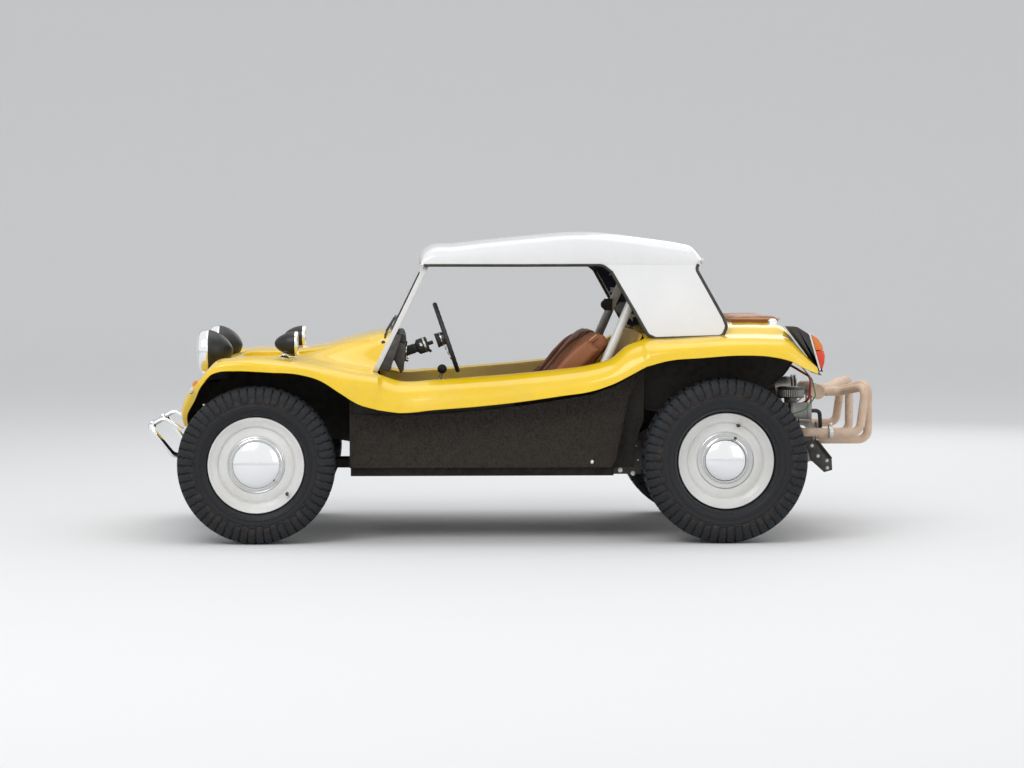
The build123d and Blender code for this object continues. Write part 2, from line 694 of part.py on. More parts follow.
def trailing_arms():
    """Two arms a side from the torsion tubes back to the king pin carrier, with the carrier itself."""
    x = FRONT_AXLE_X - BEAM_AHEAD
    z = FRONT_TYRE_R
    left = None
    for rise in (-ARM_RISE, ARM_RISE):
        boss = rod((x, -BEAM_HALF - SEAT_GAP, z + rise), (x, -BEAM_HALF - 26, z + rise), BEAM_TUBE_R - 2)
        plan = make_face(Polyline(
            (x - 6, -BEAM_HALF - 2), (x - 6, -BEAM_HALF - 24), (x + 40, -BEAM_HALF - 28),
            (FRONT_AXLE_X - 34, -KINGPIN_Y + 26), (FRONT_AXLE_X + 14, -KINGPIN_Y + 26),
            (FRONT_AXLE_X + 14, -KINGPIN_Y + 52), (FRONT_AXLE_X - 40, -KINGPIN_Y + 52), (x + 60, -BEAM_HALF - 4),
            close=True))
        arm = Pos(0, 0, z + rise - 13) * extrude(plan, 26)
        left = boss + arm if left is None else left + boss + arm
    carrier = box(FRONT_AXLE_X - 14, FRONT_AXLE_X + 14, -KINGPIN_Y + 26, -KINGPIN_Y + 46, z - 75, z + 75)
    for rise in (-75, 63):
        left += box(FRONT_AXLE_X - 14, FRONT_AXLE_X + 14, -KINGPIN_Y - 12, -KINGPIN_Y + 46, z + rise, z + rise + 12)
    left += carrier
    return both(left)


def knuckle():
    """Left steering knuckle: king pin housing, brake backplate, stub axle and track arm."""
    z = FRONT_TYRE_R
    wheel_y = -(FRONT_TYRE_FACE_Y - FRONT_TYRE_WIDTH / 2)
    drum_y = wheel_y - DRUM_BACK_S
    plate_y = drum_y + KNUCKLE_GAP
    housing = Pos(FRONT_AXLE_X, -KINGPIN_Y, z) * Cylinder(KINGPIN_R, 2 * 62.5)
    plate = disc((FRONT_AXLE_X, plate_y, z), (0, 1, 0), BACKPLATE_R, 4)
    bridge = box(FRONT_AXLE_X - 20, FRONT_AXLE_X + 20, plate_y, -KINGPIN_Y, z - 40, z + 40)
    stub = rod((FRONT_AXLE_X, plate_y, z), (FRONT_AXLE_X, drum_y + SEAT_GAP, z), 24)
    arm = box(FRONT_AXLE_X - TRACK_ARM - 14, FRONT_AXLE_X, -KINGPIN_Y - 7, -KINGPIN_Y + 7, z + 14, z + 26)
    return housing + plate + bridge + stub + arm


def steering_linkage():
    """Track rod between the knuckles' arms, with the drag arm's bracket near its middle."""
    x = FRONT_AXLE_X - TRACK_ARM
    z = FRONT_TYRE_R
    bar = rod((x, -KINGPIN_Y, z), (x, KINGPIN_Y, z), TRACK_ROD_R)
    for side in (-1, 1):
        bar += Pos(x, side * KINGPIN_Y, z) * Cylinder(13, 2 * (14 - SEAT_GAP))
    return bar


def column_point(s):
    """A point on the steering column's axis, s mm down from the hand wheel's centre."""
    tilt = math.radians(COLUMN_TILT)
    x, y, z = along(WHEEL_CENTRE[0]), WHEEL_CENTRE[1], WHEEL_CENTRE[2]
    return (x - s * math.cos(tilt), y, z - s * math.sin(tilt))


def column_plane(s=0):
    """Plane of the hand wheel: z points up the column to the driver, x across the car."""
    tilt = math.radians(COLUMN_TILT)
    return Plane(origin=column_point(s), x_dir=(0, 1, 0), z_dir=(math.cos(tilt), 0, math.sin(tilt)))


def steering_wheel():
    """Hand wheel: round rim, three drilled spokes and boss."""
    plane = column_plane()
    rim = Torus(HAND_WHEEL_R - HAND_WHEEL_TUBE_R, HAND_WHEEL_TUBE_R)
    boss = Pos(0, 0, -60) * Cylinder(HUB_R, 44, align=(Align.CENTER, Align.CENTER, Align.MIN))
    wheel = boss
    for angle in (0, 180, 270):
        spoke = make_face(Polyline((20, -19), (HAND_WHEEL_R - 20, -12), (HAND_WHEEL_R - 12, 0),
                                   (HAND_WHEEL_R - 20, 12), (20, 19), close=True))
        for hole_x, hole_r in ((58, 8.5), (86, 7), (112, 5.5)):
            spoke -= Pos(hole_x, 0) * Circle(hole_r)
        blade = extrude(spoke, 3)
        wheel += Rot(0, 0, angle) * Pos(0, 0, -20) * Rot(0, -7, 0) * blade
    return plane * (wheel + rim)


def steering_column():
    """Fixed column jacket with its switch housing and stalk, the shaft below it and the steering box."""
    top, foot = column_point(60 + SEAT_GAP), column_point(330)
    jacket = rod(top, foot, COLUMN_R)
    switch = column_plane(100) * Cylinder(33, 46)
    stalk = rod(column_point(100), (column_point(96)[0] + 30, WHEEL_CENTRE[1] + 140, WHEEL_CENTRE[2] + 8), 4)
    end = column_point(905)
    shaft = rod(foot, end, SHAFT_R)
    case = box(end[0] - 55, end[0] + 25, end[1] - 35, end[1] + 45, end[2] - 60, end[2] + 20)
    return jacket + switch + stalk + shaft + case


def floor_levers():
    """Gear lever, hand brake and three pedals on the tunnel and the bulkhead."""
    top = PAN_Z + PAN_THICK + TUNNEL_HEIGHT + SEAT_GAP
    base_x = along(-330)
    knob = (base_x + 18, 0, top + GEAR_RISE)
    gear = Pos(base_x, 0, top) * Cylinder(34, 22, align=(Align.CENTER, Align.CENTER, Align.MIN))
    gear += bent_tube([(base_x, 0, top + 10), (base_x - 30, 0, top + 105), knob], 90, 6)
    gear += Pos(*knob) * Sphere(22)
    brake_x = along(-150)
    brake = box(brake_x - 30, brake_x + 40, -14, 14, top, top + 26)
    brake += rod((brake_x, 0, top + 14), (brake_x - 180, 0, top + 74), 8)
    pedals = []
    for y in (-440, -350, -255):
        pad = box(along(-700), along(-700) + 12, y - 25, y + 25, 425, 485)
        stem = rod((along(-694), y, 455), (along(-690), y, PAN_Z + PAN_THICK + SEAT_GAP), 7)
        pedals.append(pad + stem)
    return [gear, brake] + pedals


def seats():
    """Two bucket seats: cushion, tilted back and side bolsters, as closed soft solids."""
    floor = PAN_Z + PAN_THICK + SEAT_GAP
    foot_x = along(SEAT_FOOT_X)
    lean = math.radians(SEAT_TILT)
    ux, uz = math.sin(lean), math.cos(lean)

    def back_point(s, t):
        return (foot_x + ux * s + uz * t, 455 + uz * s - ux * t)

    profile = [(foot_x - 440, floor), (foot_x - 450, 470), (foot_x - 410, 492), (foot_x - 60, 452),
               back_point(30, 0), back_point(590, 0), back_point(620, 30), back_point(600, 85),
               back_point(20, 95), (foot_x + 60, floor)]
    core = extrude(Plane.XZ * make_face(Polyline(*profile, close=True)), SEAT_WIDTH / 2 - 45, both=True)
    bolster = [(foot_x - 430, floor + 20), (foot_x - 440, 500), (foot_x - 400, 530), (foot_x - 110, 500),
               back_point(120, -52), back_point(470, -45), back_point(560, -8), back_point(560, 70),
               back_point(20, 90), (foot_x + 50, floor + 20)]
    side = extrude(Plane.XZ * make_face(Polyline(*bolster, close=True)), 45)
    seat = core + Pos(0, SEAT_WIDTH / 2, 0) * side + Pos(0, -SEAT_WIDTH / 2 + 45, 0) * side
    left = Pos(0, -SEAT_Y, 0) * seat
    return both(left)


def deck_pad(rear_core):
    """Leather pad on the rear deck."""
    return Pos(along(1078), 0, 956) * Box(224, 760, 30) - rear_core


def roll_hoop():
    """White roll hoop behind the seats, standing on the pan and leaning back with the seats."""
    origin = along(SEAT_FOOT_X)
    floor = PAN_Z + PAN_THICK + SEAT_GAP
    foot_x, foot_y = origin + HOOP_FOOT[0], HOOP_FOOT[1]
    left = [(foot_x, -foot_y, floor), (foot_x, -foot_y, floor + 110)]
    left += [(origin + x, -y, z) for x, y, z in (HOOP_KNEE, HOOP_HEAD)]
    right = [(x, -y, z) for x, y, z in left[::-1]]
    return bent_tube(left + right, 80, HOOP_R)


def dashboard():
    """Dash panel across the cockpit behind the cowl, with its padded roll and the column's way through."""
    profile = make_face(Polyline(*[(along(x), z) for x, z in (
        (-536, 800), (-530, 866), (-512, 874), (-506, 905), (-482, 900), (-474, 872), (-488, 735), (-505, 728))],
        close=True))
    panel = extrude(Plane.XZ * profile, DASH_HALF, both=True)
    way = rod(column_point(60), column_point(330), COLUMN_R + SEAT_GAP)
    return panel - way


def headlights(front_core):
    """Bullet-shaped headlight shells on stalks, and their chrome-ringed lenses."""
    x = along(-1356)
    shell = turned([(0, 0), (HEADLIGHT_R, 0), (HEADLIGHT_R - 3, 30), (HEADLIGHT_R * 0.82, 70),
                    (HEADLIGHT_R * 0.48, 104), (0, 116)], (x, -HEADLIGHT_Y, HEADLIGHT_Z), (1, 0, 0))
    stalk = rod((x + 36, -HEADLIGHT_Y, HEADLIGHT_Z - 60), (x + 36, -HEADLIGHT_Y, HEADLIGHT_Z - 130), 14)
    shell += stalk - front_core
    lens = turned([(0, 0), (HEADLIGHT_R, 0), (HEADLIGHT_R, 27), (HEADLIGHT_R * 0.86, 32), (HEADLIGHT_R * 0.5, 48),
                   (0, 53)], (x - SEAT_GAP, -HEADLIGHT_Y, HEADLIGHT_Z), (-1, 0, 0))
    return both(shell), both(lens)


def mirrors(front_core):
    """Teardrop mirrors with chrome rings on short stands, on the fenders beside the hood."""
    x = along(-960)
    shell = turned([(0, 0), (54, 0), (54, 12), (48, 40), (30, 78), (0, 104)], (x, -MIRROR_Y, 859), (-1, 0, 0))
    stand = rod((x - 30, -MIRROR_Y, 830), (x - 60, -MIRROR_Y, 797), 9)
    foot = Pos(x - 60, -MIRROR_Y, 788) * Box(70, 34, 24)
    return both(shell + stand + (foot - front_core))


def small_lamps(front_core, rear_core):
    """Front indicators, rear lamp housings and their lenses."""
    indicator = Pos(along(-1408), -640, 672) * Rot(0, -45, 0) * Box(64, 70, 44) - front_core
    housing_face = make_face(Polyline(*[(along(x), z) for x, z in (
        (1176, 930), (1285, 912), (1330, 860), (1336, 790), (1326, 742), (1280, 760))], close=True))
    housing = Pos(0, -560, 0) * (Plane.XZ * extrude(housing_face, 150)) - rear_core
    lens_face = make_face(Polyline(*[(along(x), z) for x, z in (
        (1285, 912), (1297, 911), (1344, 862), (1350, 790), (1343, 772), (1336, 790), (1330, 860))], close=True))
    lens = Pos(SEAT_GAP, -565, 0) * (Plane.XZ * extrude(lens_face, 140))
    return both(indicator), both(housing), both(lens)


def bumper():
    """Chrome tube bumper: a hoop across the nose with two upper stays."""
    x = FRONT_AXLE_X - FRONT_OVERHANG + BUMPER_R
    mount_x = FRONT_AXLE_X - BEAM_AHEAD - BEAM_TUBE_R - SEAT_GAP
    mount_z = FRONT_TYRE_R + BEAM_TUBE_RISE
    hoop = bent_tube([(mount_x, -300, mount_z), (mount_x - 50, -300, mount_z), (x + 105, -400, 358), (x, -430, 492),
                      (x, 430, 492), (x + 105, 400, 358), (mount_x - 50, 300, mount_z), (mount_x, 300, mount_z)],
                     [30, 40, 40, 40, 40, 30], BUMPER_R)
    for side in (-1, 1):
        hoop += bent_tube([(x, side * 300, 492), (x + 50, side * 300, 520), (x + 135, side * 300, 470)], 30, BUMPER_R - 2)
    return hoop


def plate_panel():
    """Blank rear number-plate panel on the tail, with two bolt holes."""
    plane = Plane(origin=(along(1368), 0, 740), x_dir=(0, 1, 0), z_dir=(0.72, 0, 0.69))
    panel = Rectangle(PLATE_WIDTH, PLATE_HEIGHT)
    for side in (-1, 1):
        panel -= Pos(side * PLATE_BOLT_SPACING / 2, 0) * Circle(PLATE_HOLE_R)
    plate = plane * extrude(panel, PLATE_THICK)
    tail_x = along(REAR_STATIONS[-1][0]) + SEAT_GAP
    tab = make_face(Polyline((tail_x, 777), (tail_x + 30, 777), (tail_x + 43, 764), (tail_x, 764), close=True))
    for side in (-1, 1):
        plate += Pos(0, side * 90, 0) * extrude(Plane.XZ * tab, 12, both=True)
    return plate


def finned_barrel(x, side, foot_y, z):
    """One cylinder that stands out sideways from the crankcase, with its row of cooling fins."""
    barrel = rod((x, side * (foot_y - 5), z), (x, side * (foot_y + BARREL), z), CYLINDER_R)
    fin = RegularPolygon(FIN_R, FIN_SIDES)
    for i in range(FIN_COUNT):
        y = side * (foot_y + 14 + i * FIN_PITCH)
        barrel += extrude(Plane(origin=(x, y, z), z_dir=(0, side, 0)) * fin, FIN_THICK)
    return barrel


def carburettor(side, foot_y, foot_z):
    """A carburettor on its manifold over one head: flange, throttle body, float bowl and round air cleaner."""
    x = along(CARB_X)
    profile = [(0, 0), (34, 0), (34, 8), (CARB_R - 4, 12), (CARB_R - 4, 62), (34, 66), (34, 74), (CARB_R, 78),
               (CARB_R, 100), (CARB_R + 6, 112), (CARB_R + 6, 128), (CLEANER_R, 130), (CLEANER_R, 172),
               (CLEANER_R - 10, 180), (0, 180)]
    body = turned(profile, (x, side * foot_y, foot_z), (0, 0, 1))
    return body + box(x - 30, x + 30, side * foot_y - 20, side * foot_y + 20, foot_z + 80, foot_z + 108)


def engine():
    """Air-cooled flat four with its finned barrels and two carburettors, and the fan shroud with its generator."""
    x0, x1, half, z0, z1 = CRANKCASE
    x0, x1 = along(x0), along(x1)
    case = box(x0, x1, -half, half, z0, z1)
    mid = (z0 + z1) / 2 + 20
    for x in (x0 + 75, x1 - 85):
        for side in (-1, 1):
            case += finned_barrel(x, side, half, mid)
    for side in (-1, 1):
        case += box(x0 + 10, x1 - 18, side * (half + BARREL), side * (half + BARREL + HEAD), mid - 70, mid + 60)
        case += carburettor(side, half + BARREL + HEAD / 2, mid + 60)
    pulley = [(0, 0), (PULLEY_R, 0), (PULLEY_R, 6), (PULLEY_R - 12, 13), (PULLEY_R - 12, 17), (PULLEY_R, 24),
              (PULLEY_R, 30), (PULLEY_R - 8, 30), (PULLEY_R - 14, 20), (30, 20), (30, 34), (0, 34)]
    case += turned(pulley, (x1, 0, mid - 20), (1, 0, 0))
    canister_y = -(half + BARREL + HEAD + CANISTER_R + 6)
    canister_x, canister_z = along(CARB_X) - 18, mid + 134
    case += rod((canister_x, canister_y, canister_z), (canister_x + 98, canister_y, canister_z), CANISTER_R)
    case += box(canister_x + 4, canister_x + 28, canister_y, -(half + BARREL + 12), mid + 40, mid + 100)
    shroud_face = make_face(Polyline(
        (-300, z1 + SEAT_GAP), (-310, 590), (-240, 680), (-110, 750), (110, 750), (240, 680), (310, 590),
        (300, z1 + SEAT_GAP), close=True))
    shroud = Pos(x0 + 10, 0, 0) * (Plane.YZ * extrude(shroud_face, 100))
    shroud += rod((x0 + 105, 0, 640), (x0 + 215, 0, 640), 52)
    wheel = [(0, 0), (60, 0), (60, 5), (50, 9), (50, 11), (60, 15), (60, 20), (0, 20)]
    shroud += turned(wheel, (x0 + 215, 0, 640), (1, 0, 0))
    return case, shroud


def exhaust():
    """Header tubes: two loops a side, back from the heads, up, and forward into the silencer."""
    x_end = REAR_AXLE_X + REAR_OVERHANG - EXHAUST_R
    half, rear_face = CRANKCASE[2], along(CRANKCASE[1]) - 18
    head_y = half + BARREL + HEAD + SEAT_GAP
    inner_y = head_y - HEAD / 2
    drum_x = along(SILENCER_X) + SILENCER_R + SEAT_GAP
    tubes = []
    for side in (-1, 1):
        run_y = head_y + 60
        outer = bent_tube([(along(1290), side * head_y, 456), (along(1290), side * run_y, 456),
                           (x_end - 50, side * run_y, 456), (x_end - 22, side * run_y, 662),
                           (drum_x + 75, side * 200, 630), (drum_x, side * 200, 630)], 40, EXHAUST_R)
        clamp_x = along(CRANKCASE[1]) + 30
        outer += rod((clamp_x, side * run_y, 456), (clamp_x + 20, side * run_y, 456), CLAMP_R)
        inner = bent_tube([(rear_face + SEAT_GAP, side * inner_y, 418), (x_end, side * inner_y, 418),
                           (x_end, side * inner_y, 676), (drum_x + 75, side * 120, 630),
                           (drum_x, side * 120, 630)], 40, EXHAUST_R)
        tubes += [outer, inner]
    return tubes


def silencer():
    """Silencer drum across the back of the engine, on two straps to the crankcase."""
    x = along(SILENCER_X)
    drum = rod((x, -230, SILENCER_Z), (x, 230, SILENCER_Z), SILENCER_R)
    mouth_x = x + SILENCER_R + OUTLET_LENGTH
    drum += rod((x, 0, SILENCER_Z), (mouth_x, 0, SILENCER_Z), OUTLET_R + OUTLET_WALL)
    drum -= rod((mouth_x - OUTLET_LENGTH, 0, SILENCER_Z), (mouth_x, 0, SILENCER_Z), OUTLET_R)
    top = CRANKCASE[4] + SEAT_GAP
    for side in (-1, 1):
        drum += box(x - 12, x - 6, side * 60, side * 90, top, SILENCER_Z - 10)
    return drum


def gearbox():
    """Gearbox casing between the fork's horns, with the axle tubes out to the rear drums."""
    x0, x1 = along(CRANKCASE[0]) - SEAT_GAP, along(600)
    z = REAR_TYRE_R
    plan = make_face(Polyline(
        (x1, -60), (x0 - 120, -GEARBOX_HALF), (x0, -GEARBOX_HALF - 25), (x0, GEARBOX_HALF + 25),
        (x0 - 120, GEARBOX_HALF), (x1, 60), close=True))
    case = Pos(0, 0, z - GEARBOX_HEIGHT / 2) * extrude(plan, GEARBOX_HEIGHT)
    inner = -(REAR_TYRE_FACE_Y - REAR_TYRE_WIDTH / 2) - DRUM_BACK_S
    for side in (-1, 1):
        case += rod((REAR_AXLE_X, 0, z), (REAR_AXLE_X, side * (-inner - SEAT_GAP), z), AXLE_TUBE_R)
        plate_y = -inner - KNUCKLE_GAP
        case += rod((REAR_AXLE_X, side * (plate_y - 10), z), (REAR_AXLE_X, side * plate_y, z), BACKPLATE_R)
    return case


def rear_suspension():
    """Rear torsion tube with end covers, damper towers and spring plates that trail back to the axle tubes."""
    x, z = along(TORSION_X), TORSION_Z
    eye_x, top = REAR_AXLE_X + AXLE_TUBE_R + REAR_SHOCK_R + SEAT_GAP, REAR_TYRE_R + REAR_SHOCK_LENGTH
    tower = make_face(Polyline(
        (x - 24, z), (x + 24, z), (x + 120, z + 84), (eye_x - 60, top - 120), (eye_x + 34, top - 50),
        (eye_x + 34, top + 6), (eye_x - 34, top + 6), (x - 10, z + 60), close=True))
    tower = Plane.XZ * extrude(tower, TOWER_THICK)
    tower -= Pos(0, -TOWER_THICK / 2, 0) * rod((eye_x, -20, top - 20), (eye_x, 20, top - 20), EYE_PIN_R + SEAT_GAP)
    tube = rod((x, -500, z), (x, 500, z), TORSION_R)
    tube += Pos(0, -TOWER_Y, 0) * tower + Pos(0, TOWER_Y + TOWER_THICK, 0) * tower
    for side in (-1, 1):
        tube += box(x - 62, x + 62, side * 500, side * 512, z - 70, z + 78)
        tube += rod((x, side * 505, z), (x, side * 540, z), 25)
        tube += box(x + 30, REAR_AXLE_X - AXLE_TUBE_R - SEAT_GAP, side * 512, side * 520, z - 50, z + 50)
    return tube


def shock_absorbers():
    """Four telescopic dampers between the axle parts and the towers or horns."""
    x = FRONT_AXLE_X - BEAM_AHEAD
    foot_x = x - BEAM_TUBE_R - 22
    front = rod((foot_x, -BEAM_HALF + 45, 262), (foot_x, -BEAM_HALF + 45, FRONT_TYRE_R + 142 - SEAT_GAP), 20)
    rear_x = REAR_AXLE_X + AXLE_TUBE_R + REAR_SHOCK_R + SEAT_GAP
    top = REAR_TYRE_R + REAR_SHOCK_LENGTH
    rear = rod((rear_x, -430, REAR_TYRE_R - 15), (rear_x, -400, top), REAR_SHOCK_R)
    rear += rod((rear_x, -400, top - 20), (rear_x, -TOWER_Y - TOWER_THICK - 6, top - 20), EYE_PIN_R)
    return both(front) + both(rear)


def main():
    """Builds every node and writes one file for each."""
    os.makedirs("parts", exist_ok=True)
    front_core = core(front_lines())
    cowl_core = core(cowl_lines())
    side_core = core(side_lines())
    rear_core = core(rear_lines())
    screen_trims = [front_core, cowl_core, side_core, side_core.mirror(Plane.XZ)]
    roof, rear_pane = hardtop(rear_core)
    shells, lenses = headlights(front_core)
    indicators, lamp_housings, lamp_lenses = small_lamps(front_core, rear_core)
    motor, shroud = engine()
    steered = knuckle()
    nodes = {
        "floor_pan": [floor_pan()],
        "body_front": [front_body()],
        "body_sides": body_sides(),
        "body_rear": [rear_body()],
        "inner_panels": inner_panels(),
        "rear_bulkhead": [rear_bulkhead()],
        "side_panels": side_panels(),
        "hood": [hood(front_core)],
        "windscreen_frame": [windscreen_frame(screen_trims)],
        "windscreen_glass": [windscreen_glass()],
        "wipers": wipers(),
        "hardtop": [roof],
        "rear_window": [rear_pane],
        "dashboard": [dashboard()],
        "steering_column": [steering_column()],
        "steering_wheel": [steering_wheel()],
        "steering_linkage": [steering_linkage()],
        "floor_levers": floor_levers(),
        "seats": seats(),
        "deck_pad": [deck_pad(rear_core)],
        "roll_hoop": [roll_hoop()],
        "headlight_shells": shells,
        "headlight_lenses": lenses,
        "front_indicators": indicators,
        "rear_lamp_housings": lamp_housings,
        "rear_lamp_lenses": lamp_lenses,
        "mirrors": mirrors(front_core),
        "front_bumper": [bumper()],
        "plate_panel": [plate_panel()],
        "front_axle_beam": [front_axle()],
        "trailing_arms": trailing_arms(),
        "knuckle_left": [steered],
        "knuckle_right": [steered.mirror(Plane.XZ)],
        "engine": [motor],
        "fan_shroud": [shroud],
        "exhaust_header": exhaust(),
        "silencer": [silencer()],
        "gearbox": [gearbox()],
        "rear_suspension": [rear_suspension()],
        "shock_absorbers": shock_absorbers(),
    }
    nodes.update(wheels())
    for name, solids in nodes.items():
        shape = solids[0] if len(solids) == 1 else Compound(children=list(solids))
        export_step(shape, f"parts/{name}.step")


main()
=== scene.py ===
"""Looks of the dune buggy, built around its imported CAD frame. Metres: +X rear, +Y right, +Z up."""
import bmesh
import bpy
import logging
import math
from dataclasses import dataclass, field
from enum import Enum
from mathutils import Matrix, Vector
from typing import Iterable, Sequence


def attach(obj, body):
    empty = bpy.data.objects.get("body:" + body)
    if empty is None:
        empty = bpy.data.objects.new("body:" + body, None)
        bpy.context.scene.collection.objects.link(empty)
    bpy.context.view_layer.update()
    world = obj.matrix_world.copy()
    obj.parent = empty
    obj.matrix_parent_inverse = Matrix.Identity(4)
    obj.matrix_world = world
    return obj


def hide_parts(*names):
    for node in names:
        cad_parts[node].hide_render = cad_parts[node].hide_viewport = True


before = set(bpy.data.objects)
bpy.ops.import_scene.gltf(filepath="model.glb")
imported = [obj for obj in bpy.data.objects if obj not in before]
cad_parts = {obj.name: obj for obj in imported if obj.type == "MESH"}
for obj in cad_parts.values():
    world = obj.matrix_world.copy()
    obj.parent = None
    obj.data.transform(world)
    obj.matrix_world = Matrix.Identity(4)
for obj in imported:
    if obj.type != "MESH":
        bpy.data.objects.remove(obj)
log = logging.getLogger("buggy")
Colour = tuple[float, float, float]
Point = tuple[float, float, float]
ORIGIN: Point = (0, 0, 0)
BACK: Point = (1, 0, 0)
ACROSS: Point = (0, 1, 0)
UP: Point = (0, 0, 1)
# Signs of Y on the left and the right side.
HANDS = (-1, 1)
# Radius at which a turned profile meets its axis.
TIP = 0.0001
# Sockets of the Mix node for colours: the factor, the two colours and the result.
MIX_FACTOR, MIX_LOW, MIX_HIGH, MIX_RESULT = 0, 6, 7, 2
# Angle over which an edge of a plain piece stays hard, in degrees.
HARD_EDGE = 32.0
FULL_TURN = 2.0 * math.pi


class Side(Enum):
    """The two sides of the car, with the sign of their Y."""

    LEFT = -1
    RIGHT = 1


class Axle(Enum):
    """The two axles."""

    FRONT = "front"
    REAR = "rear"


class Feature(Enum):
    """Voronoi outputs that the finishes use."""

    CELLS = "F1"
    EDGES = "DISTANCE_TO_EDGE"


class Tree:
    """A node tree in which every node comes from one method."""

    def __init__(self, tree: bpy.types.NodeTree) -> None:
        """Wraps a tree.

        Args:
            tree: the shader or geometry tree to add nodes to.
        """
        self.tree = tree

    def put(self, value: object, socket: bpy.types.NodeSocket) -> None:
        """Links a value to a socket, or sets it as the socket's constant.

        Args:
            value: a Value, a socket, or a plain constant.
            socket: the input that takes it.
        """
        source = value.socket if isinstance(value, Value) else value
        if isinstance(source, bpy.types.NodeSocket):
            self.tree.links.new(source, socket)
        elif source is not None:
            plain = tuple(source) if isinstance(source, (tuple, list, Vector)) else source
            if socket.type == "RGBA" and len(plain) == 3:
                plain = (*plain, 1.0)
            socket.default_value = plain

    def node(self, kind: str, settings: dict | None = None, sockets: dict | None = None) -> bpy.types.Node:
        """Adds a node.

        Args:
            kind: the node's type name.
            settings: its properties by name.
            sockets: what its inputs take, by name or number.

        Returns:
            The new node.
        """
        made = self.tree.nodes.new(kind)
        for name, setting in (settings or {}).items():
            setattr(made, name, setting)
        for name, value in (sockets or {}).items():
            self.put(value, made.inputs[name])
        return made

    def mix(self, factor: object, low: object, high: object) -> bpy.types.NodeSocket:
        """A colour between two colours.

        Args:
            factor: 0 for the first and 1 for the second.
            low: the first colour.
            high: the second colour.

        Returns:
            The mixed colour's socket.
        """
        sockets = {MIX_FACTOR: factor, MIX_LOW: low, MIX_HIGH: high}
        return self.node("ShaderNodeMix", {"data_type": "RGBA"}, sockets).outputs[MIX_RESULT]


@dataclass(frozen=True)
class Value:
    """A number socket; Python arithmetic on it adds Math nodes."""

    tree: Tree
    socket: bpy.types.NodeSocket

    def math(self, operation: str, *others: object) -> "Value":
        """Adds one Math node.

        Args:
            operation: its operation.
            others: the operands after this one.

        Returns:
            The result.
        """
        inputs = dict(enumerate([self, *others]))
        return Value(self.tree, self.tree.node("ShaderNodeMath", {"operation": operation}, inputs).outputs[0])

    def flipped(self, operation: str, other: object) -> "Value":
        """The same with this value as the second operand."""
        inputs = {0: other, 1: self}
        return Value(self.tree, self.tree.node("ShaderNodeMath", {"operation": operation}, inputs).outputs[0])

    def __add__(self, other: object) -> "Value":
        """Sum."""
        return self.math("ADD", other)

    __radd__ = __add__

    def __sub__(self, other: object) -> "Value":
        """Difference."""
        return self.math("SUBTRACT", other)

    def __rsub__(self, other: object) -> "Value":
        """Difference from a plain number."""
        return self.flipped("SUBTRACT", other)

    def __mul__(self, other: object) -> "Value":
        """Product."""
        return self.math("MULTIPLY", other)

    __rmul__ = __mul__

    def __truediv__(self, other: object) -> "Value":
        """Quotient."""
        return self.math("DIVIDE", other)

    def __rtruediv__(self, other: object) -> "Value":
        """A plain number over this value."""
        return self.flipped("DIVIDE", other)

    def __pow__(self, other: object) -> "Value":
        """Power."""
        return self.math("POWER", other)

    def __abs__(self) -> "Value":
        """Size without sign."""
        return self.math("ABSOLUTE")

    def __mod__(self, other: object) -> "Value":
        """Rest of a division, never negative."""
        return self.math("FLOORED_MODULO", other)

    def __gt__(self, other: object) -> "Value":
        """1 where greater, else 0."""
        return self.math("GREATER_THAN", other)

    def clamp(self) -> "Value":
        """Kept between 0 and 1."""
        return self.math("MINIMUM", 1.0).math("MAXIMUM", 0.0)

    def ramp(self, low: float, high: float) -> "Value":
        """0 below low, 1 above high, smooth between; low may be the greater one."""
        t = ((self - low) / (high - low)).clamp()
        return t * t * (3.0 - 2.0 * t)

    def sine(self) -> "Value":
        """Sine."""
        return self.math("SINE")


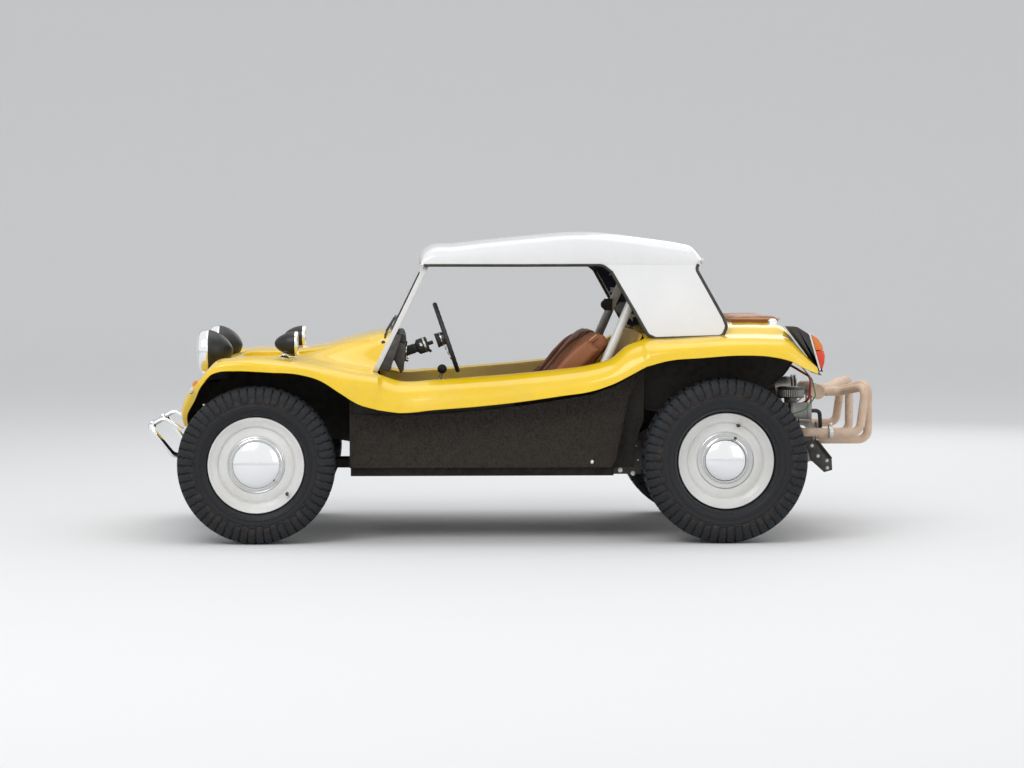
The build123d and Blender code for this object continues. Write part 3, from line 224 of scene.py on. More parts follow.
class ShaderTree(Tree):
    """A material's tree with the patterns that the finishes share."""

    def __init__(self, tree: bpy.types.NodeTree) -> None:
        """Wraps a material's tree.

        Args:
            tree: the material's node tree.
        """
        super().__init__(tree)
        coordinates = self.node("ShaderNodeTexCoord")
        self.place = coordinates.outputs["Object"]
        self.normal = coordinates.outputs["Normal"]

    def axes(self, vector: bpy.types.NodeSocket | None = None) -> tuple[Value, Value, Value]:
        """The three numbers of a vector, the object's place by default."""
        parts = self.node("ShaderNodeSeparateXYZ", {}, {0: vector or self.place})
        return tuple(Value(self, output) for output in parts.outputs)

    def stretched(self, scale: Point, shift: Point = (0.0, 0.0, 0.0)) -> bpy.types.NodeSocket:
        """Object coordinates scaled and moved.

        Args:
            scale: factors along the axes.
            shift: what is added after them.

        Returns:
            The coordinates.
        """
        scaled = self.node("ShaderNodeVectorMath", {"operation": "MULTIPLY"}, {0: self.place, 1: scale})
        return self.node("ShaderNodeVectorMath", {"operation": "ADD"},
                         {0: scaled.outputs[0], 1: shift}).outputs[0]

    def noise(self, scale: float, detail: float = 2.0, vector: bpy.types.NodeSocket | None = None,
              roughness: float = 0.5) -> Value:
        """Noise from 0 to 1.

        Args:
            scale: features to the metre.
            detail: octaves.
            vector: coordinates, the object's own by default.
            roughness: strength of the finer octaves.

        Returns:
            The noise.
        """
        sockets = {"Vector": vector or self.place, "Scale": scale, "Detail": detail, "Roughness": roughness}
        return Value(self, self.node("ShaderNodeTexNoise", {}, sockets).outputs[0])

    def cells(self, scale: float, feature: Feature = Feature.CELLS,
              vector: bpy.types.NodeSocket | None = None) -> Value:
        """Voronoi distance: to the cell's middle, or to its edge.

        Args:
            scale: cells per metre.
            feature: the distance that is read.
            vector: coordinates in place of the object's own.

        Returns:
            The distance.
        """
        sockets = {"Vector": vector or self.place, "Scale": scale}
        made = self.node("ShaderNodeTexVoronoi", {"feature": feature.value}, sockets)
        return Value(self, made.outputs["Distance"])

    def bump(self, height: Value, strength: float, distance: float) -> bpy.types.NodeSocket:
        """A Normal from a height.

        Args:
            height: 0 to 1.
            strength: share of the effect.
            distance: metres that a height of 1 stands for.

        Returns:
            The normal's socket.
        """
        sockets = {"Height": height, "Strength": strength, "Distance": distance}
        return self.node("ShaderNodeBump", {}, sockets).outputs[0]

    def upward(self) -> Value:
        """1 where the surface looks up, 0 where it looks down."""
        return (self.axes(self.normal)[2] * 0.5 + 0.5).clamp()


@dataclass(frozen=True)
class Finish:
    """A surface: constants of its shader, and what varies over it."""

    name: str
    colour: Colour
    roughness: float = 0.4
    metallic: float = 0.0
    coat: float = 0.0
    slot: str = ""
    dust: float = 0.12
    grain: float = 900.0
    depth: float = 0.00008
    dust_colour: Colour = (0.34, 0.28, 0.21)
    shine: float = 0.5

    def constants(self) -> dict[str, object]:
        """Constants set on the shader's own sockets."""
        return {"Metallic": self.metallic, "Coat Weight": self.coat, "Coat Roughness": 0.05,
                "Specular IOR Level": self.shine}

    def vary(self, tree: ShaderTree) -> dict[str, object]:
        """Colour, roughness and normal over the surface: mottling, dust that settles, and a fine grain.

        Args:
            tree: the material's tree.

        Returns:
            The shader's sockets with what feeds them.
        """
        broad = tree.noise(3.1, 3.0)
        fine = tree.noise(41.0, 4.0)
        dust = (tree.upward().ramp(0.35, 1.0) * 0.7 + 0.3) * (broad * fine * 2.4).ramp(0.25, 0.85) * self.dust
        deeper = tuple(c * 0.86 for c in self.colour)
        colour = tree.mix((broad * 0.7 + fine * 0.3).ramp(0.3, 0.7), deeper, self.colour)
        grain = tree.noise(self.grain, 2.0)
        return {
            "Base Color": tree.mix(dust, colour, self.dust_colour),
            "Roughness": (self.roughness + (fine - 0.5) * 0.16 + dust * 0.5).clamp(),
            "Normal": tree.bump(grain, 0.6, self.depth),
        }

    def material(self) -> bpy.types.Material:
        """The material of this finish, built once.

        Returns:
            The Blender material.
        """
        known = bpy.data.materials.get(self.name)
        if known:
            return known
        made = bpy.data.materials.new(self.name)
        made.use_nodes = True
        made.node_tree.nodes.clear()
        tree = ShaderTree(made.node_tree)
        shader = tree.node("ShaderNodeBsdfPrincipled", {}, self.constants())
        for name, value in self.vary(tree).items():
            tree.put(value, shader.inputs[name])
        tree.node("ShaderNodeOutputMaterial", {}, {"Surface": self.surface(tree, shader)})
        return made

    def surface(self, tree: ShaderTree, shader: bpy.types.Node) -> bpy.types.NodeSocket:
        """What goes to the material's output."""
        return shader.outputs[0]


@dataclass(frozen=True)
class GelCoat(Finish):
    """Gloss glass-fibre gel coat with orange peel, haze and fine scratches."""

    peel: float = 260.0

    def vary(self, tree: ShaderTree) -> dict[str, object]:
        """Adds orange peel under the coat and polishing marks.

        Args:
            tree: the material's tree.

        Returns:
            The shader's sockets with what feeds them.
        """
        made = super().vary(tree)
        _, _, z = tree.axes()
        peel = tree.noise(self.peel, 1.0)
        fibre = tree.noise(17.0, 2.0)
        marks = tree.noise(60.0, 3.0, tree.stretched((6.0, 0.8, 0.8)))
        low = (z.ramp(0.95, 0.55)) * tree.noise(7.0, 4.0).ramp(0.35, 0.75) * self.dust * 1.3
        made["Base Color"] = tree.mix(low, made["Base Color"], self.dust_colour)
        made["Roughness"] = (self.roughness + marks.ramp(0.62, 0.8) * 0.12 + low * 0.5
                             + (fibre - 0.5) * 0.1).clamp()
        made["Normal"] = tree.bump(peel * 0.7 + fibre * 1.4, 0.5, 0.00016)
        return made


@dataclass(frozen=True)
class TwoFaced(Finish):
    """Plain gel coat towards the cabin and black underseal on the side that looks back."""

    behind: Colour = (0.012, 0.0115, 0.011)

    def vary(self, tree: ShaderTree) -> dict[str, object]:
        """The finish with the other colour where the surface looks to the rear.

        Args:
            tree: the material's tree.

        Returns:
            The shader's sockets with what feeds them.
        """
        made = super().vary(tree)
        rear = tree.axes(tree.normal)[0] > 0.3
        made["Base Color"] = tree.mix(rear, made["Base Color"], self.behind)
        made["Normal"] = tree.bump(tree.noise(160.0, 4.0) * (rear + 0.1), 0.6, 0.0005)
        return made


@dataclass(frozen=True)
class Chrome(Finish):
    """Polished plating with smears and a little pitting."""

    def vary(self, tree: ShaderTree) -> dict[str, object]:
        """Smears in the roughness and fine pits.

        Args:
            tree: the material's tree.

        Returns:
            The shader's sockets with what feeds them.
        """
        smear = tree.noise(9.0, 4.0, tree.stretched((1.0, 1.0, 3.0)))
        pits = tree.noise(800.0, 2.0)
        haze = tree.noise(34.0, 3.0)
        shade = tuple(c * 0.82 for c in self.colour)
        return {
            "Base Color": tree.mix(haze.ramp(0.55, 0.8), self.colour, shade),
            "Roughness": (self.roughness + smear.ramp(0.5, 0.8) * 0.09 + pits.ramp(0.7, 0.8) * 0.12).clamp(),
            "Normal": tree.bump(smear * 0.5 + pits * 0.1, 0.25, 0.0002),
        }


@dataclass(frozen=True)
class Cast(Finish):
    """Rough cast or blasted metal with oil and grime in the low places."""

    oil: float = 0.5

    def vary(self, tree: ShaderTree) -> dict[str, object]:
        """Sand grain and oil stains.

        Args:
            tree: the material's tree.

        Returns:
            The shader's sockets with what feeds them.
        """
        made = super().vary(tree)
        stain = tree.noise(11.0, 5.0, roughness=0.65).ramp(0.48, 0.72) * self.oil
        sand = tree.cells(420.0)
        made["Base Color"] = tree.mix(stain, made["Base Color"], (0.035, 0.028, 0.02))
        made["Roughness"] = (self.roughness - stain * 0.2 + sand * 0.1).clamp()
        made["Normal"] = tree.bump(sand * 0.6 + tree.noise(90.0, 3.0), 0.7, 0.0005)
        return made


@dataclass(frozen=True)
class HotSteel(Finish):
    """Header paint on steel tube: tan, paler where it has burned, straw and blue near the ports."""

    def vary(self, tree: ShaderTree) -> dict[str, object]:
        """Bands of heat tint along the run with soot near the flanges.

        Args:
            tree: the material's tree.

        Returns:
            The shader's sockets with what feeds them.
        """
        made = super().vary(tree)
        x, _, _ = tree.axes()
        heat = (tree.noise(6.0, 3.0) + (1.34 - x) * 2.0).clamp()
        pale = tree.noise(23.0, 4.0).ramp(0.4, 0.7)
        tint = tree.mix(pale * 0.4, made["Base Color"], (0.80, 0.64, 0.50))
        burned = tree.mix(heat.ramp(0.55, 1.0), tint, (0.40, 0.27, 0.16))
        soot = tree.noise(48.0, 5.0).ramp(0.6, 0.78)
        made["Base Color"] = tree.mix(soot * 0.5, burned, (0.16, 0.12, 0.09))
        made["Roughness"] = (self.roughness + pale * 0.2 - heat * 0.1).clamp()
        made["Normal"] = tree.bump(tree.noise(300.0, 3.0) + soot * 0.4, 0.5, 0.00015)
        return made


@dataclass(frozen=True)
class Leather(Finish):
    """Grained leather with darker pores and worn crowns."""

    pore: float = 330.0

    def vary(self, tree: ShaderTree) -> dict[str, object]:
        """Pebbled grain, wrinkles, wear and a soft sheen.

        Args:
            tree: the material's tree.

        Returns:
            The shader's sockets with what feeds them.
        """
        grain = tree.cells(self.pore, Feature.EDGES).ramp(0.0, 0.16)
        wrinkle = tree.noise(26.0, 4.0, tree.stretched((1.0, 1.6, 1.0)), 0.6)
        broad = tree.noise(5.0, 3.0)
        worn = tree.upward().ramp(0.5, 1.0) * broad.ramp(0.4, 0.65) * 0.35
        pores = tree.mix(grain, tuple(c * 0.62 for c in self.colour), self.colour)
        faded = tuple(min(1.0, c * 1.35 + 0.03) for c in self.colour)
        shaded = tree.mix(wrinkle.ramp(0.35, 0.7), tuple(c * 0.8 for c in self.colour), pores)
        return {
            "Base Color": tree.mix(worn, shaded, faded),
            "Roughness": (self.roughness + (1.0 - grain) * 0.14 + (wrinkle - 0.5) * 0.2
                          - worn * 0.15).clamp(),
            "Normal": tree.bump(grain * 0.5 + wrinkle * 1.3, 0.75, 0.0006),
        }


@dataclass(frozen=True)
class Woven(Finish):
    """A woven band or cloth lining."""

    thread: float = 0.0016

    def vary(self, tree: ShaderTree) -> dict[str, object]:
        """Warp and weft as two crossing sines.

        Args:
            tree: the material's tree.

        Returns:
            The shader's sockets with what feeds them.
        """
        x, y, z = tree.axes()
        turn = FULL_TURN / self.thread
        across = ((y + z * 0.8) * turn).sine()
        run = ((x + z * 0.6) * turn * 0.5).sine()
        weave = (across * run) * 0.5 + 0.5
        fuzz = tree.noise(700.0, 2.0)
        return {
            "Base Color": tree.mix(weave * 0.6 + fuzz * 0.2, self.colour,
                                   tuple(c * 1.7 + 0.02 for c in self.colour)),
            "Roughness": (self.roughness + fuzz * 0.15).clamp(),
            "Normal": tree.bump(weave + fuzz * 0.4, 0.8, 0.0004),
        }


@dataclass(frozen=True)
class Pod(Finish):
    """Black coating over matted fibres, crinkles drawn along the panel, painted highlights on their ridges, a
    painted brown sheen low down.
    """

    def vary(self, tree: ShaderTree) -> dict[str, object]:
        """Long thin crinkles and pits, painted lighter on their ridges as highlights, and a painted brown
        sheen towards the foot.

        Args:
            tree: the material's tree.

        Returns:
            The shader's sockets with what feeds them.
        """
        _, _, z = tree.axes()
        hairs = tree.noise(62.0, 6.0, tree.stretched((1.0, 1.0, 3.4)), 0.72)
        strand = (1.0 - abs(hairs - 0.5) * 9.0).clamp()
        matted = tree.noise(48.0, 5.0, tree.stretched((2.8, 1.0, 1.0), (3.0, 0.0, 1.0)), 0.7)
        cross = (1.0 - abs(matted - 0.5) * 10.0).clamp()
        pits = tree.noise(420.0, 3.0)
        relief = strand * 0.7 + cross * 0.5 + pits * 0.35
        # Painted brown sheen: a lighter brown band, in patches, over the lowest few centimetres.
        low = z.ramp(0.40, 0.33) * tree.noise(9.0, 4.0).ramp(0.3, 0.7) * 0.5
        # Painted highlight: the raised crinkles and pits are lightened as if they catch the light.
        ridge_highlight = tree.mix(relief.ramp(0.35, 1.1), self.colour, (0.066, 0.054, 0.043))
        return {
            "Base Color": tree.mix(low, ridge_highlight, (0.060, 0.044, 0.032)),
            "Roughness": (self.roughness + (pits - 0.5) * 0.3 + strand * 0.1).clamp(),
            "Normal": tree.bump(relief, 1.0, 0.0030),
        }


@dataclass(frozen=True)
class TyreRubber(Finish):
    """Tyre rubber with dust held in the grooves, read from the distance to the axle."""

    centre: tuple[float, float] = (0.0, 0.0)
    radius: float = 0.342

    def vary(self, tree: ShaderTree) -> dict[str, object]:
        """Brown dust at the tread's foot and in its grooves, scuffed tread, a faint painted blue-grey sheen
        over the outer band, and smooth dark walls.

        Args:
            tree: the material's tree.

        Returns:
            The shader's sockets with what feeds them.
        """
        x, _, z = tree.axes()
        dx, dz = x - self.centre[0], z - self.centre[1]
        reach = (dx * dx + dz * dz) ** 0.5 / self.radius
        clods = tree.noise(38.0, 5.0, roughness=0.62)
        ring = reach.ramp(0.76, 0.80) * reach.ramp(0.90, 0.83)
        dust = ring * clods.ramp(0.42, 0.72) * 0.42
        # Painted sheen: the outer band of the tyre is tinted blue-grey in patches, as if reflecting the sky.
        film = tree.noise(5.0, 3.0) * reach.ramp(0.80, 0.95) * 0.10
        scuff = tree.noise(240.0, 4.0)
        base = tree.mix(scuff.ramp(0.35, 0.75), self.colour, tuple(c * 1.5 + 0.002 for c in self.colour))
        grey = tree.mix(film, base, (0.10, 0.11, 0.13))
        spin = (dx.math("ARCTAN2", dz) * 64.0).sine()
        mould = reach.ramp(0.62, 0.66) * reach.ramp(0.78, 0.74) * (spin * 0.5 + 0.5)
        return {
            "Base Color": tree.mix(dust.clamp(), grey, (0.075, 0.056, 0.042)),
            "Roughness": (self.roughness + dust * 0.3 + reach.ramp(0.76, 0.84) * 0.22
                          + (scuff - 0.5) * 0.15).clamp(),
            "Normal": tree.bump(scuff * reach.ramp(0.74, 0.84) + clods * dust * 1.5 + mould * 0.6, 0.8,
                                0.0007),
        }


@dataclass(frozen=True)
class Pane(Finish):
    """Clear glass or tinted lens plastic, as a thin tinted sheet that light goes through."""

    clear: float = 0.85
    ribs: float = 0.0
    tint: Colour = (0.93, 0.97, 0.96)

    def vary(self, tree: ShaderTree) -> dict[str, object]:
        """Dust film, wiper smears and, on lenses, moulded prisms.

        Args:
            tree: the material's tree.

        Returns:
            The shader's sockets with what feeds them.
        """
        _, y, z = tree.axes()
        film = tree.noise(4.0, 4.0).ramp(0.4, 0.8) * 0.12
        drops = tree.cells(95.0).ramp(0.22, 0.05) * 0.2
        made = {
            "Base Color": tree.mix(film, self.colour, self.dust_colour),
            "Roughness": (self.roughness + film + drops).clamp(),
            "Normal": tree.bump(tree.noise(12.0, 1.0) * 0.3, 0.2, 0.0004),
        }
        if self.ribs:
            turn = FULL_TURN / self.ribs
            prism = abs((y * turn * 0.5).sine()) + abs((z * turn * 0.5).sine()) * 0.8
            made["Normal"] = tree.bump(prism, 0.8, 0.0012)
        return made

    def surface(self, tree: ShaderTree, shader: bpy.types.Node) -> bpy.types.NodeSocket:
        """Mixes the reflecting sheet with see-through light by the film and the clearness.

        Args:
            tree: the material's tree.
            shader: the reflecting sheet.

        Returns:
            The mixed shader.
        """
        film = tree.noise(4.0, 4.0).ramp(0.4, 0.8) * 0.08
        through = tree.node("ShaderNodeBsdfTransparent", {}, {"Color": self.tint})
        rim = Value(tree, tree.node("ShaderNodeLayerWeight", {}, {"Blend": 0.18}).outputs["Facing"])
        factor = (1.0 - self.clear + film + rim ** 3.0 * 0.5 * self.clear).clamp()
        return tree.node("ShaderNodeMixShader", {},
                         {0: factor, 1: through.outputs[0], 2: shader.outputs[0]}).outputs[0]


@dataclass(frozen=True)
class Lining(Finish):
    """Cloth head lining: dark blue field ahead, red and white bands behind."""

    edge: float = 0.22
    band: float = 0.075

    def vary(self, tree: ShaderTree) -> dict[str, object]:
        """Bands across the car behind the field, over a woven ground.

        Args:
            tree: the material's tree.

        Returns:
            The shader's sockets with what feeds them.
        """
        x, y, _ = tree.axes()
        weave = ((x + y) * 3900.0).sine() * ((x - y) * 3900.0).sine() * 0.5 + 0.5
        row = ((y + 4.0) / self.band) % 2.0 > 1.0
        bands = tree.mix(row, (0.36, 0.035, 0.04), (0.62, 0.6, 0.56))
        cloth = tree.mix(x > self.edge, self.colour, bands)
        fold = tree.noise(7.0, 3.0)
        return {
            "Base Color": tree.mix(weave * 0.25 + fold * 0.2, cloth, (0.02, 0.02, 0.03)),
            "Roughness": (self.roughness + weave * 0.08).clamp(),
            "Normal": tree.bump(weave * 0.4 + fold * 3.0, 0.6, 0.0008),
        }


@dataclass(frozen=True)
class Ground(Finish):
    """Plain pale floor paint with only a faint grain."""

    def vary(self, tree: ShaderTree) -> dict[str, object]:
        """A barely uneven tone.

        Args:
            tree: the material's tree.

        Returns:
            The shader's sockets with what feeds them.
        """
        soft = tree.noise(6.0, 3.0)
        colour = tree.mix(soft, tuple(c * 0.985 for c in self.colour), self.colour)
        return {"Base Color": colour, "Roughness": self.roughness + (soft - 0.5) * 0.05}


YELLOW = GelCoat("gel_yellow", (0.95, 0.62, 0.002), 0.20, coat=0.45, slot="yellow_paint", dust=0.08)
YELLOW_INNER = TwoFaced("gel_inner", (0.86, 0.53, 0.01), 0.55, slot="yellow_paint", dust=0.2)
WHITE_TOP = GelCoat("gel_white", (0.87, 0.87, 0.865), 0.24, coat=0.45, slot="white_top", dust=0.14,
                    peel=180.0)
WHITE_FRAME = GelCoat("frame_white", (0.78, 0.78, 0.77), 0.28, coat=0.3, slot="white_paint", dust=0.16)
RIM_WHITE = GelCoat("rim_cream", (0.80, 0.795, 0.77), 0.28, coat=0.4, slot="rim_paint", dust=0.12)
UNDERSEAL = Cast("underseal", (0.016, 0.015, 0.014), 0.78, slot="black_inner", dust=0.12, oil=0.2, shine=0.25)
CHROME = Chrome("chrome", (0.86, 0.87, 0.88), 0.045, 1.0, slot="chrome")
MIRROR = Chrome("mirror_silver", (0.92, 0.93, 0.94), 0.02, 1.0, slot="chrome")
ALLOY = Finish("alloy", (0.62, 0.62, 0.61), 0.30, 1.0, slot="chrome", dust=0.05)
CAST = Cast("cast_alloy", (0.36, 0.355, 0.34), 0.52, 0.75, slot="cast_grey", dust=0.3)
BLACK_STEEL = Finish("chassis_black", (0.022, 0.022, 0.024), 0.42, slot="black_steel", dust=0.35)
SHROUD_BLACK = Finish("shroud_black", (0.02, 0.02, 0.022), 0.33, coat=0.25, slot="black_steel", dust=0.3)
POD_BLACK = Pod("pod_black", (0.014, 0.013, 0.0125), 0.46, slot="black_inner", dust=0.2, shine=0.3)
GLOSS_BLACK = GelCoat("gloss_black", (0.012, 0.012, 0.014), 0.14, coat=0.6, slot="black_gloss", dust=0.12)
SATIN_BLACK = Finish("satin_black", (0.010, 0.010, 0.012), 0.34, slot="black_gloss", dust=0.06, depth=0.0001,
                     shine=0.4)
PLASTIC = Finish("black_plastic", (0.022, 0.022, 0.023), 0.5, slot="black_plastic", dust=0.18, depth=0.0002)
TRIM_RUBBER = Finish("trim_rubber", (0.014, 0.014, 0.014), 0.62, slot="black_plastic", dust=0.25)
STEEL = Finish("bare_steel", (0.48, 0.48, 0.47), 0.34, 1.0, slot="steel", dust=0.22)
ZINC = Finish("bolt_zinc", (0.66, 0.65, 0.62), 0.28, 1.0, slot="steel", dust=0.15)
HEADER = HotSteel("header_tan", (0.70, 0.50, 0.36), 0.46, slot="exhaust_tan", dust=0.1)
LEATHER = Leather("leather_tan", (0.36, 0.125, 0.042), 0.44, slot="leather")
THREAD = Finish("thread", (0.56, 0.36, 0.2), 0.7, slot="leather", dust=0.1)
BELT = Woven("belt_web", (0.012, 0.012, 0.013), 0.7, slot="black_plastic")
LINING = Lining("lining", (0.014, 0.022, 0.07), 0.85, slot="white_top")
SIDE_LINING = Lining("side_lining", (0.014, 0.022, 0.07), 0.85, slot="white_top", edge=9.0)
STAR_WHITE = Finish("lining_star", (0.66, 0.66, 0.64), 0.8, slot="white_top")
SCREEN = Pane("screen_glass", (0.5, 0.56, 0.56), 0.03, slot="glass", clear=0.90)
LAMP_GLASS = Pane("lamp_glass", (0.70, 0.74, 0.78), 0.06, slot="lamp_glass", clear=0.45, ribs=0.012,
                  tint=(0.80, 0.84, 0.88))
AMBER = Pane("amber_lens", (0.85, 0.24, 0.015), 0.12, slot="amber", clear=0.10, ribs=0.008,
             tint=(0.9, 0.35, 0.05))
AMBER_TAIL = Pane("amber_tail", (0.80, 0.20, 0.015), 0.14, slot="red_lens", clear=0.08, ribs=0.008,
                  tint=(0.9, 0.3, 0.05))
RED = Pane("red_lens", (0.50, 0.014, 0.012), 0.14, slot="red_lens", clear=0.08, ribs=0.008,
           tint=(0.8, 0.05, 0.04))
CLEAR_LENS = Pane("clear_lens", (0.80, 0.81, 0.80), 0.12, slot="amber", clear=0.15, ribs=0.008)
HOSE_RED = Finish("hose_red", (0.42, 0.03, 0.02), 0.45, slot="black_plastic")
WIRE_GREEN = Finish("wire_green", (0.03, 0.2, 0.06), 0.5, slot="black_plastic")
RUBBER_FRONT = TyreRubber("tyre_front", (0.010, 0.0105, 0.012), 0.42, slot="tyre", shine=0.28,
                          centre=(-1.1255, 0.342), radius=0.342)
RUBBER_REAR = TyreRubber("tyre_rear", (0.010, 0.0105, 0.012), 0.42, slot="tyre", shine=0.28,
                         centre=(0.9065, 0.357), radius=0.357)
FLOOR = Ground("floor_matt", (0.80, 0.795, 0.785), 0.75)


class Shape:
    """A mesh being built out of lofts, turnings, boxes and tubes, in the car's frame."""

    def __init__(self) -> None:
        """Starts empty."""
        self.points: list[Vector] = []
        self.faces: list[tuple[int, ...]] = []
        self.marks: list[int] = []
        self.mark = 0

    def add(self, points: Iterable[Sequence[float]], faces: Iterable[Sequence[int]]) -> None:
        """Adds points and the faces between them, with the current material mark.

        Args:
            points: the new points.
            faces: each face's points, counted from the first new one.
        """
        start = len(self.points)
        self.points.extend(Vector(p) for p in points)
        for face in faces:
            self.faces.append(tuple(start + i for i in face))
            self.marks.append(self.mark)

    def loft(self, rings: Sequence[Sequence[Point]], closed: bool = True, caps: bool = True) -> None:
        """Joins rings of equal length.

        Args:
            rings: the rings in order.
            closed: each ring's last point joins its first.
            caps: closes the first and the last ring with a face.
        """
        count = len(rings[0])
        faces = []
        spans = count if closed else count - 1
        for r in range(len(rings) - 1):
            for i in range(spans):
                j = (i + 1) % count
                faces.append((r * count + i, r * count + j, (r + 1) * count + j, (r + 1) * count + i))
        if caps and closed:
            faces.append(tuple(reversed(range(count))))
            faces.append(tuple((len(rings) - 1) * count + i for i in range(count)))
        self.add([p for ring in rings for p in ring], faces)

    def turn(self, profile: Sequence[tuple[float, float]], centre: Point, axis: Point, steps: int = 48,
             caps: bool = False) -> None:
        """Turns a profile of (radius, place along the axis) about an axis.

        Args:
            profile: from the first ring to the last.
            centre: where the axis starts.
            axis: its direction.
            steps: sides of each ring.
            caps: closes the ends.
        """
        basis = facing(axis)
        rings = []
        for radius, run in profile:
            ring = []
            for i in range(steps):
                a = FULL_TURN * i / steps
                ring.append(Vector(centre)
                            + basis @ Vector((radius * math.cos(a), radius * math.sin(a), run)))
            rings.append(ring)
        self.loft(rings, True, caps)

    def box(self, low: Point, high: Point) -> None:
        """A block between two corners.

        Args:
            low: the corner with the lowest values.
            high: the opposite one.
        """
        xs, ys, zs = zip(low, high)
        points = [(x, y, z) for x in xs for y in ys for z in zs]
        self.add(points, [(0, 1, 3, 2), (4, 6, 7, 5), (0, 4, 5, 1), (2, 3, 7, 6), (0, 2, 6, 4), (1, 5, 7, 3)])

    def prism(self, outline: Sequence[Point], depth: Point) -> None:
        """A flat outline pushed along a vector."""
        push = Vector(depth)
        self.loft([[Vector(p) for p in outline], [Vector(p) + push for p in outline]])

    def tube(self, path: Sequence[Point], radius: float, sides: int = 12, bend: float = 0.0,
             caps: bool = True) -> None:
        """A round tube along a path, with rounded corners.

        Args:
            path: the corners.
            radius: of the tube.
            sides: of its section.
            bend: radius of the corners, 0 for none.
            caps: closes the ends.
        """
        run = rounded(path, bend) if bend else [Vector(p) for p in path]
        rings = []
        up = None
        for i, p in enumerate(run):
            ahead = (run[min(i + 1, len(run) - 1)] - run[max(i - 1, 0)]).normalized()
            if up is None:
                up = ahead.orthogonal().normalized()
            up = (up - ahead * up.dot(ahead)).normalized()
            side = ahead.cross(up)
            rings.append([p + (up * math.cos(FULL_TURN * k / sides) + side * math.sin(FULL_TURN * k / sides))
                          * radius
                          for k in range(sides)])
        self.loft(rings, True, caps)

    def mirrored(self) -> None:
        """Adds the mirror image on the car's other side."""
        marks = list(self.marks)
        points = [(p.x, -p.y, p.z) for p in self.points]
        faces = [tuple(reversed(face)) for face in self.faces]
        self.add(points, faces)
        self.marks = marks + marks

    def build(self, name: str, finishes: Finish | Sequence[Finish], soften: float = 0.0, levels: int = 0,
              weld: bool = False, sharp: float = HARD_EDGE) -> bpy.types.Object:
        """Makes the object.

        Args:
            name: of the object.
            finishes: one for each material mark.
            soften: width of a bevel on its sharp edges.
            levels: of subdivision.
            weld: joins points that coincide.
            sharp: angle over which an edge stays hard, in degrees.

        Returns:
            The object, at the origin.
        """
        mesh = bpy.data.meshes.new(name)
        mesh.from_pydata([tuple(p) for p in self.points], [], self.faces)
        for finish in (finishes if isinstance(finishes, (list, tuple)) else [finishes]):
            mesh.materials.append(finish.material())
        mesh.polygons.foreach_set("material_index", self.marks)
        made = linked(name, mesh)
        work = bmesh.new()
        work.from_mesh(mesh)
        if weld:
            bmesh.ops.remove_doubles(work, verts=work.verts, dist=0.00005)
        bmesh.ops.recalc_face_normals(work, faces=work.faces)
        work.to_mesh(mesh)
        work.free()
        if soften:
            modify(made, "BEVEL", width=soften, segments=2, limit_method="ANGLE",
                   angle_limit=math.radians(30.0))
        if levels:
            modify(made, "SUBSURF", levels=levels, render_levels=levels)
        if soften or levels:
            settle(made)
        made.data.shade_smooth()
        made.data.set_sharp_from_angle(angle=math.radians(sharp))
        return made

    def place(self, name: str, finishes: Finish | list[Finish], *nodes: str, body: str = "chassis",
              **how: float) -> bpy.types.Object:
        """Args:
            name: of the object.
            finishes: its finish, or one for each material mark.
            nodes: the CAD nodes it stands for.
            body: that it rides on.
            how: what build takes besides.

        Returns:
            The finished piece.
        """
        first = finishes[0] if isinstance(finishes, list) else finishes
        return own(self.build(name, finishes, **how), first, body, *nodes)


def modify(made: bpy.types.Object, kind: str, **settings: object) -> bpy.types.Modifier:
    """Adds a modifier of a kind with its settings.

    Args:
        made: the object.
        kind: Blender's name of the modifier.
        settings: its settings.

    Returns:
        The modifier.
    """
    step = made.modifiers.new(kind.lower(), kind)
    for name, setting in settings.items():
        setattr(step, name, setting)
    return step


def look(made: bpy.types.Object, way: Point, faces: Iterable[bpy.types.MeshPolygon] | None = None) -> None:
    """Turns an open skin so that its faces, or the given ones, look along a direction on the whole."""
    if sum(p.normal.dot(Vector(way)) for p in faces or made.data.polygons) < 0:
        made.data.flip_normals()


def linked(name: str, data: bpy.types.ID) -> bpy.types.Object:
    """A new object in the scene with the given mesh, light or camera.

    Args:
        name: the object's name.
        data: its mesh, light or camera.

    Returns:
        The object.
    """
    made = bpy.data.objects.new(name, data)
    bpy.context.scene.collection.objects.link(made)
    return made


def settle(made: bpy.types.Object) -> None:
    """Turns an object's modifiers into its plain mesh.

    Args:
        made: the object.
    """
    graph = bpy.context.evaluated_depsgraph_get()
    mesh = bpy.data.meshes.new_from_object(made.evaluated_get(graph))
    made.modifiers.clear()
    made.data = mesh


def facing(axis: Sequence[float]) -> Matrix:
    """A turn that brings +Z onto an axis.

    Args:
        axis: the direction.

    Returns:
        A 3 by 3 matrix.
    """
    return Vector(axis).to_track_quat("Z", "Y").to_matrix()


def rounded(path: Sequence[Point], bend: float, steps: int = 7) -> list[Vector]:
    """A path with its corners turned into arcs.

    Args:
        path: the corners.
        bend: radius of the arcs.
        steps: points to an arc.

    Returns:
        The points of the rounded path.
    """
    points = [Vector(p) for p in path]
    made = [points[0]]
    for before, corner, after in zip(points, points[1:], points[2:]):
        a, b = (before - corner).normalized(), (after - corner).normalized()
        half = a.angle(b) / 2.0
        if half > 1.52:
            made.append(corner)
            continue
        reach = min(bend / math.tan(half), (before - corner).length * 0.49, (after - corner).length * 0.49)
        radius = reach * math.tan(half)
        middle = corner + (a + b).normalized() * radius / math.sin(half)
        start, end = corner + a * reach - middle, corner + b * reach - middle
        for i in range(steps + 1):
            made.append(middle + start.slerp(end, i / steps).normalized() * radius)
    return made + [points[-1]]


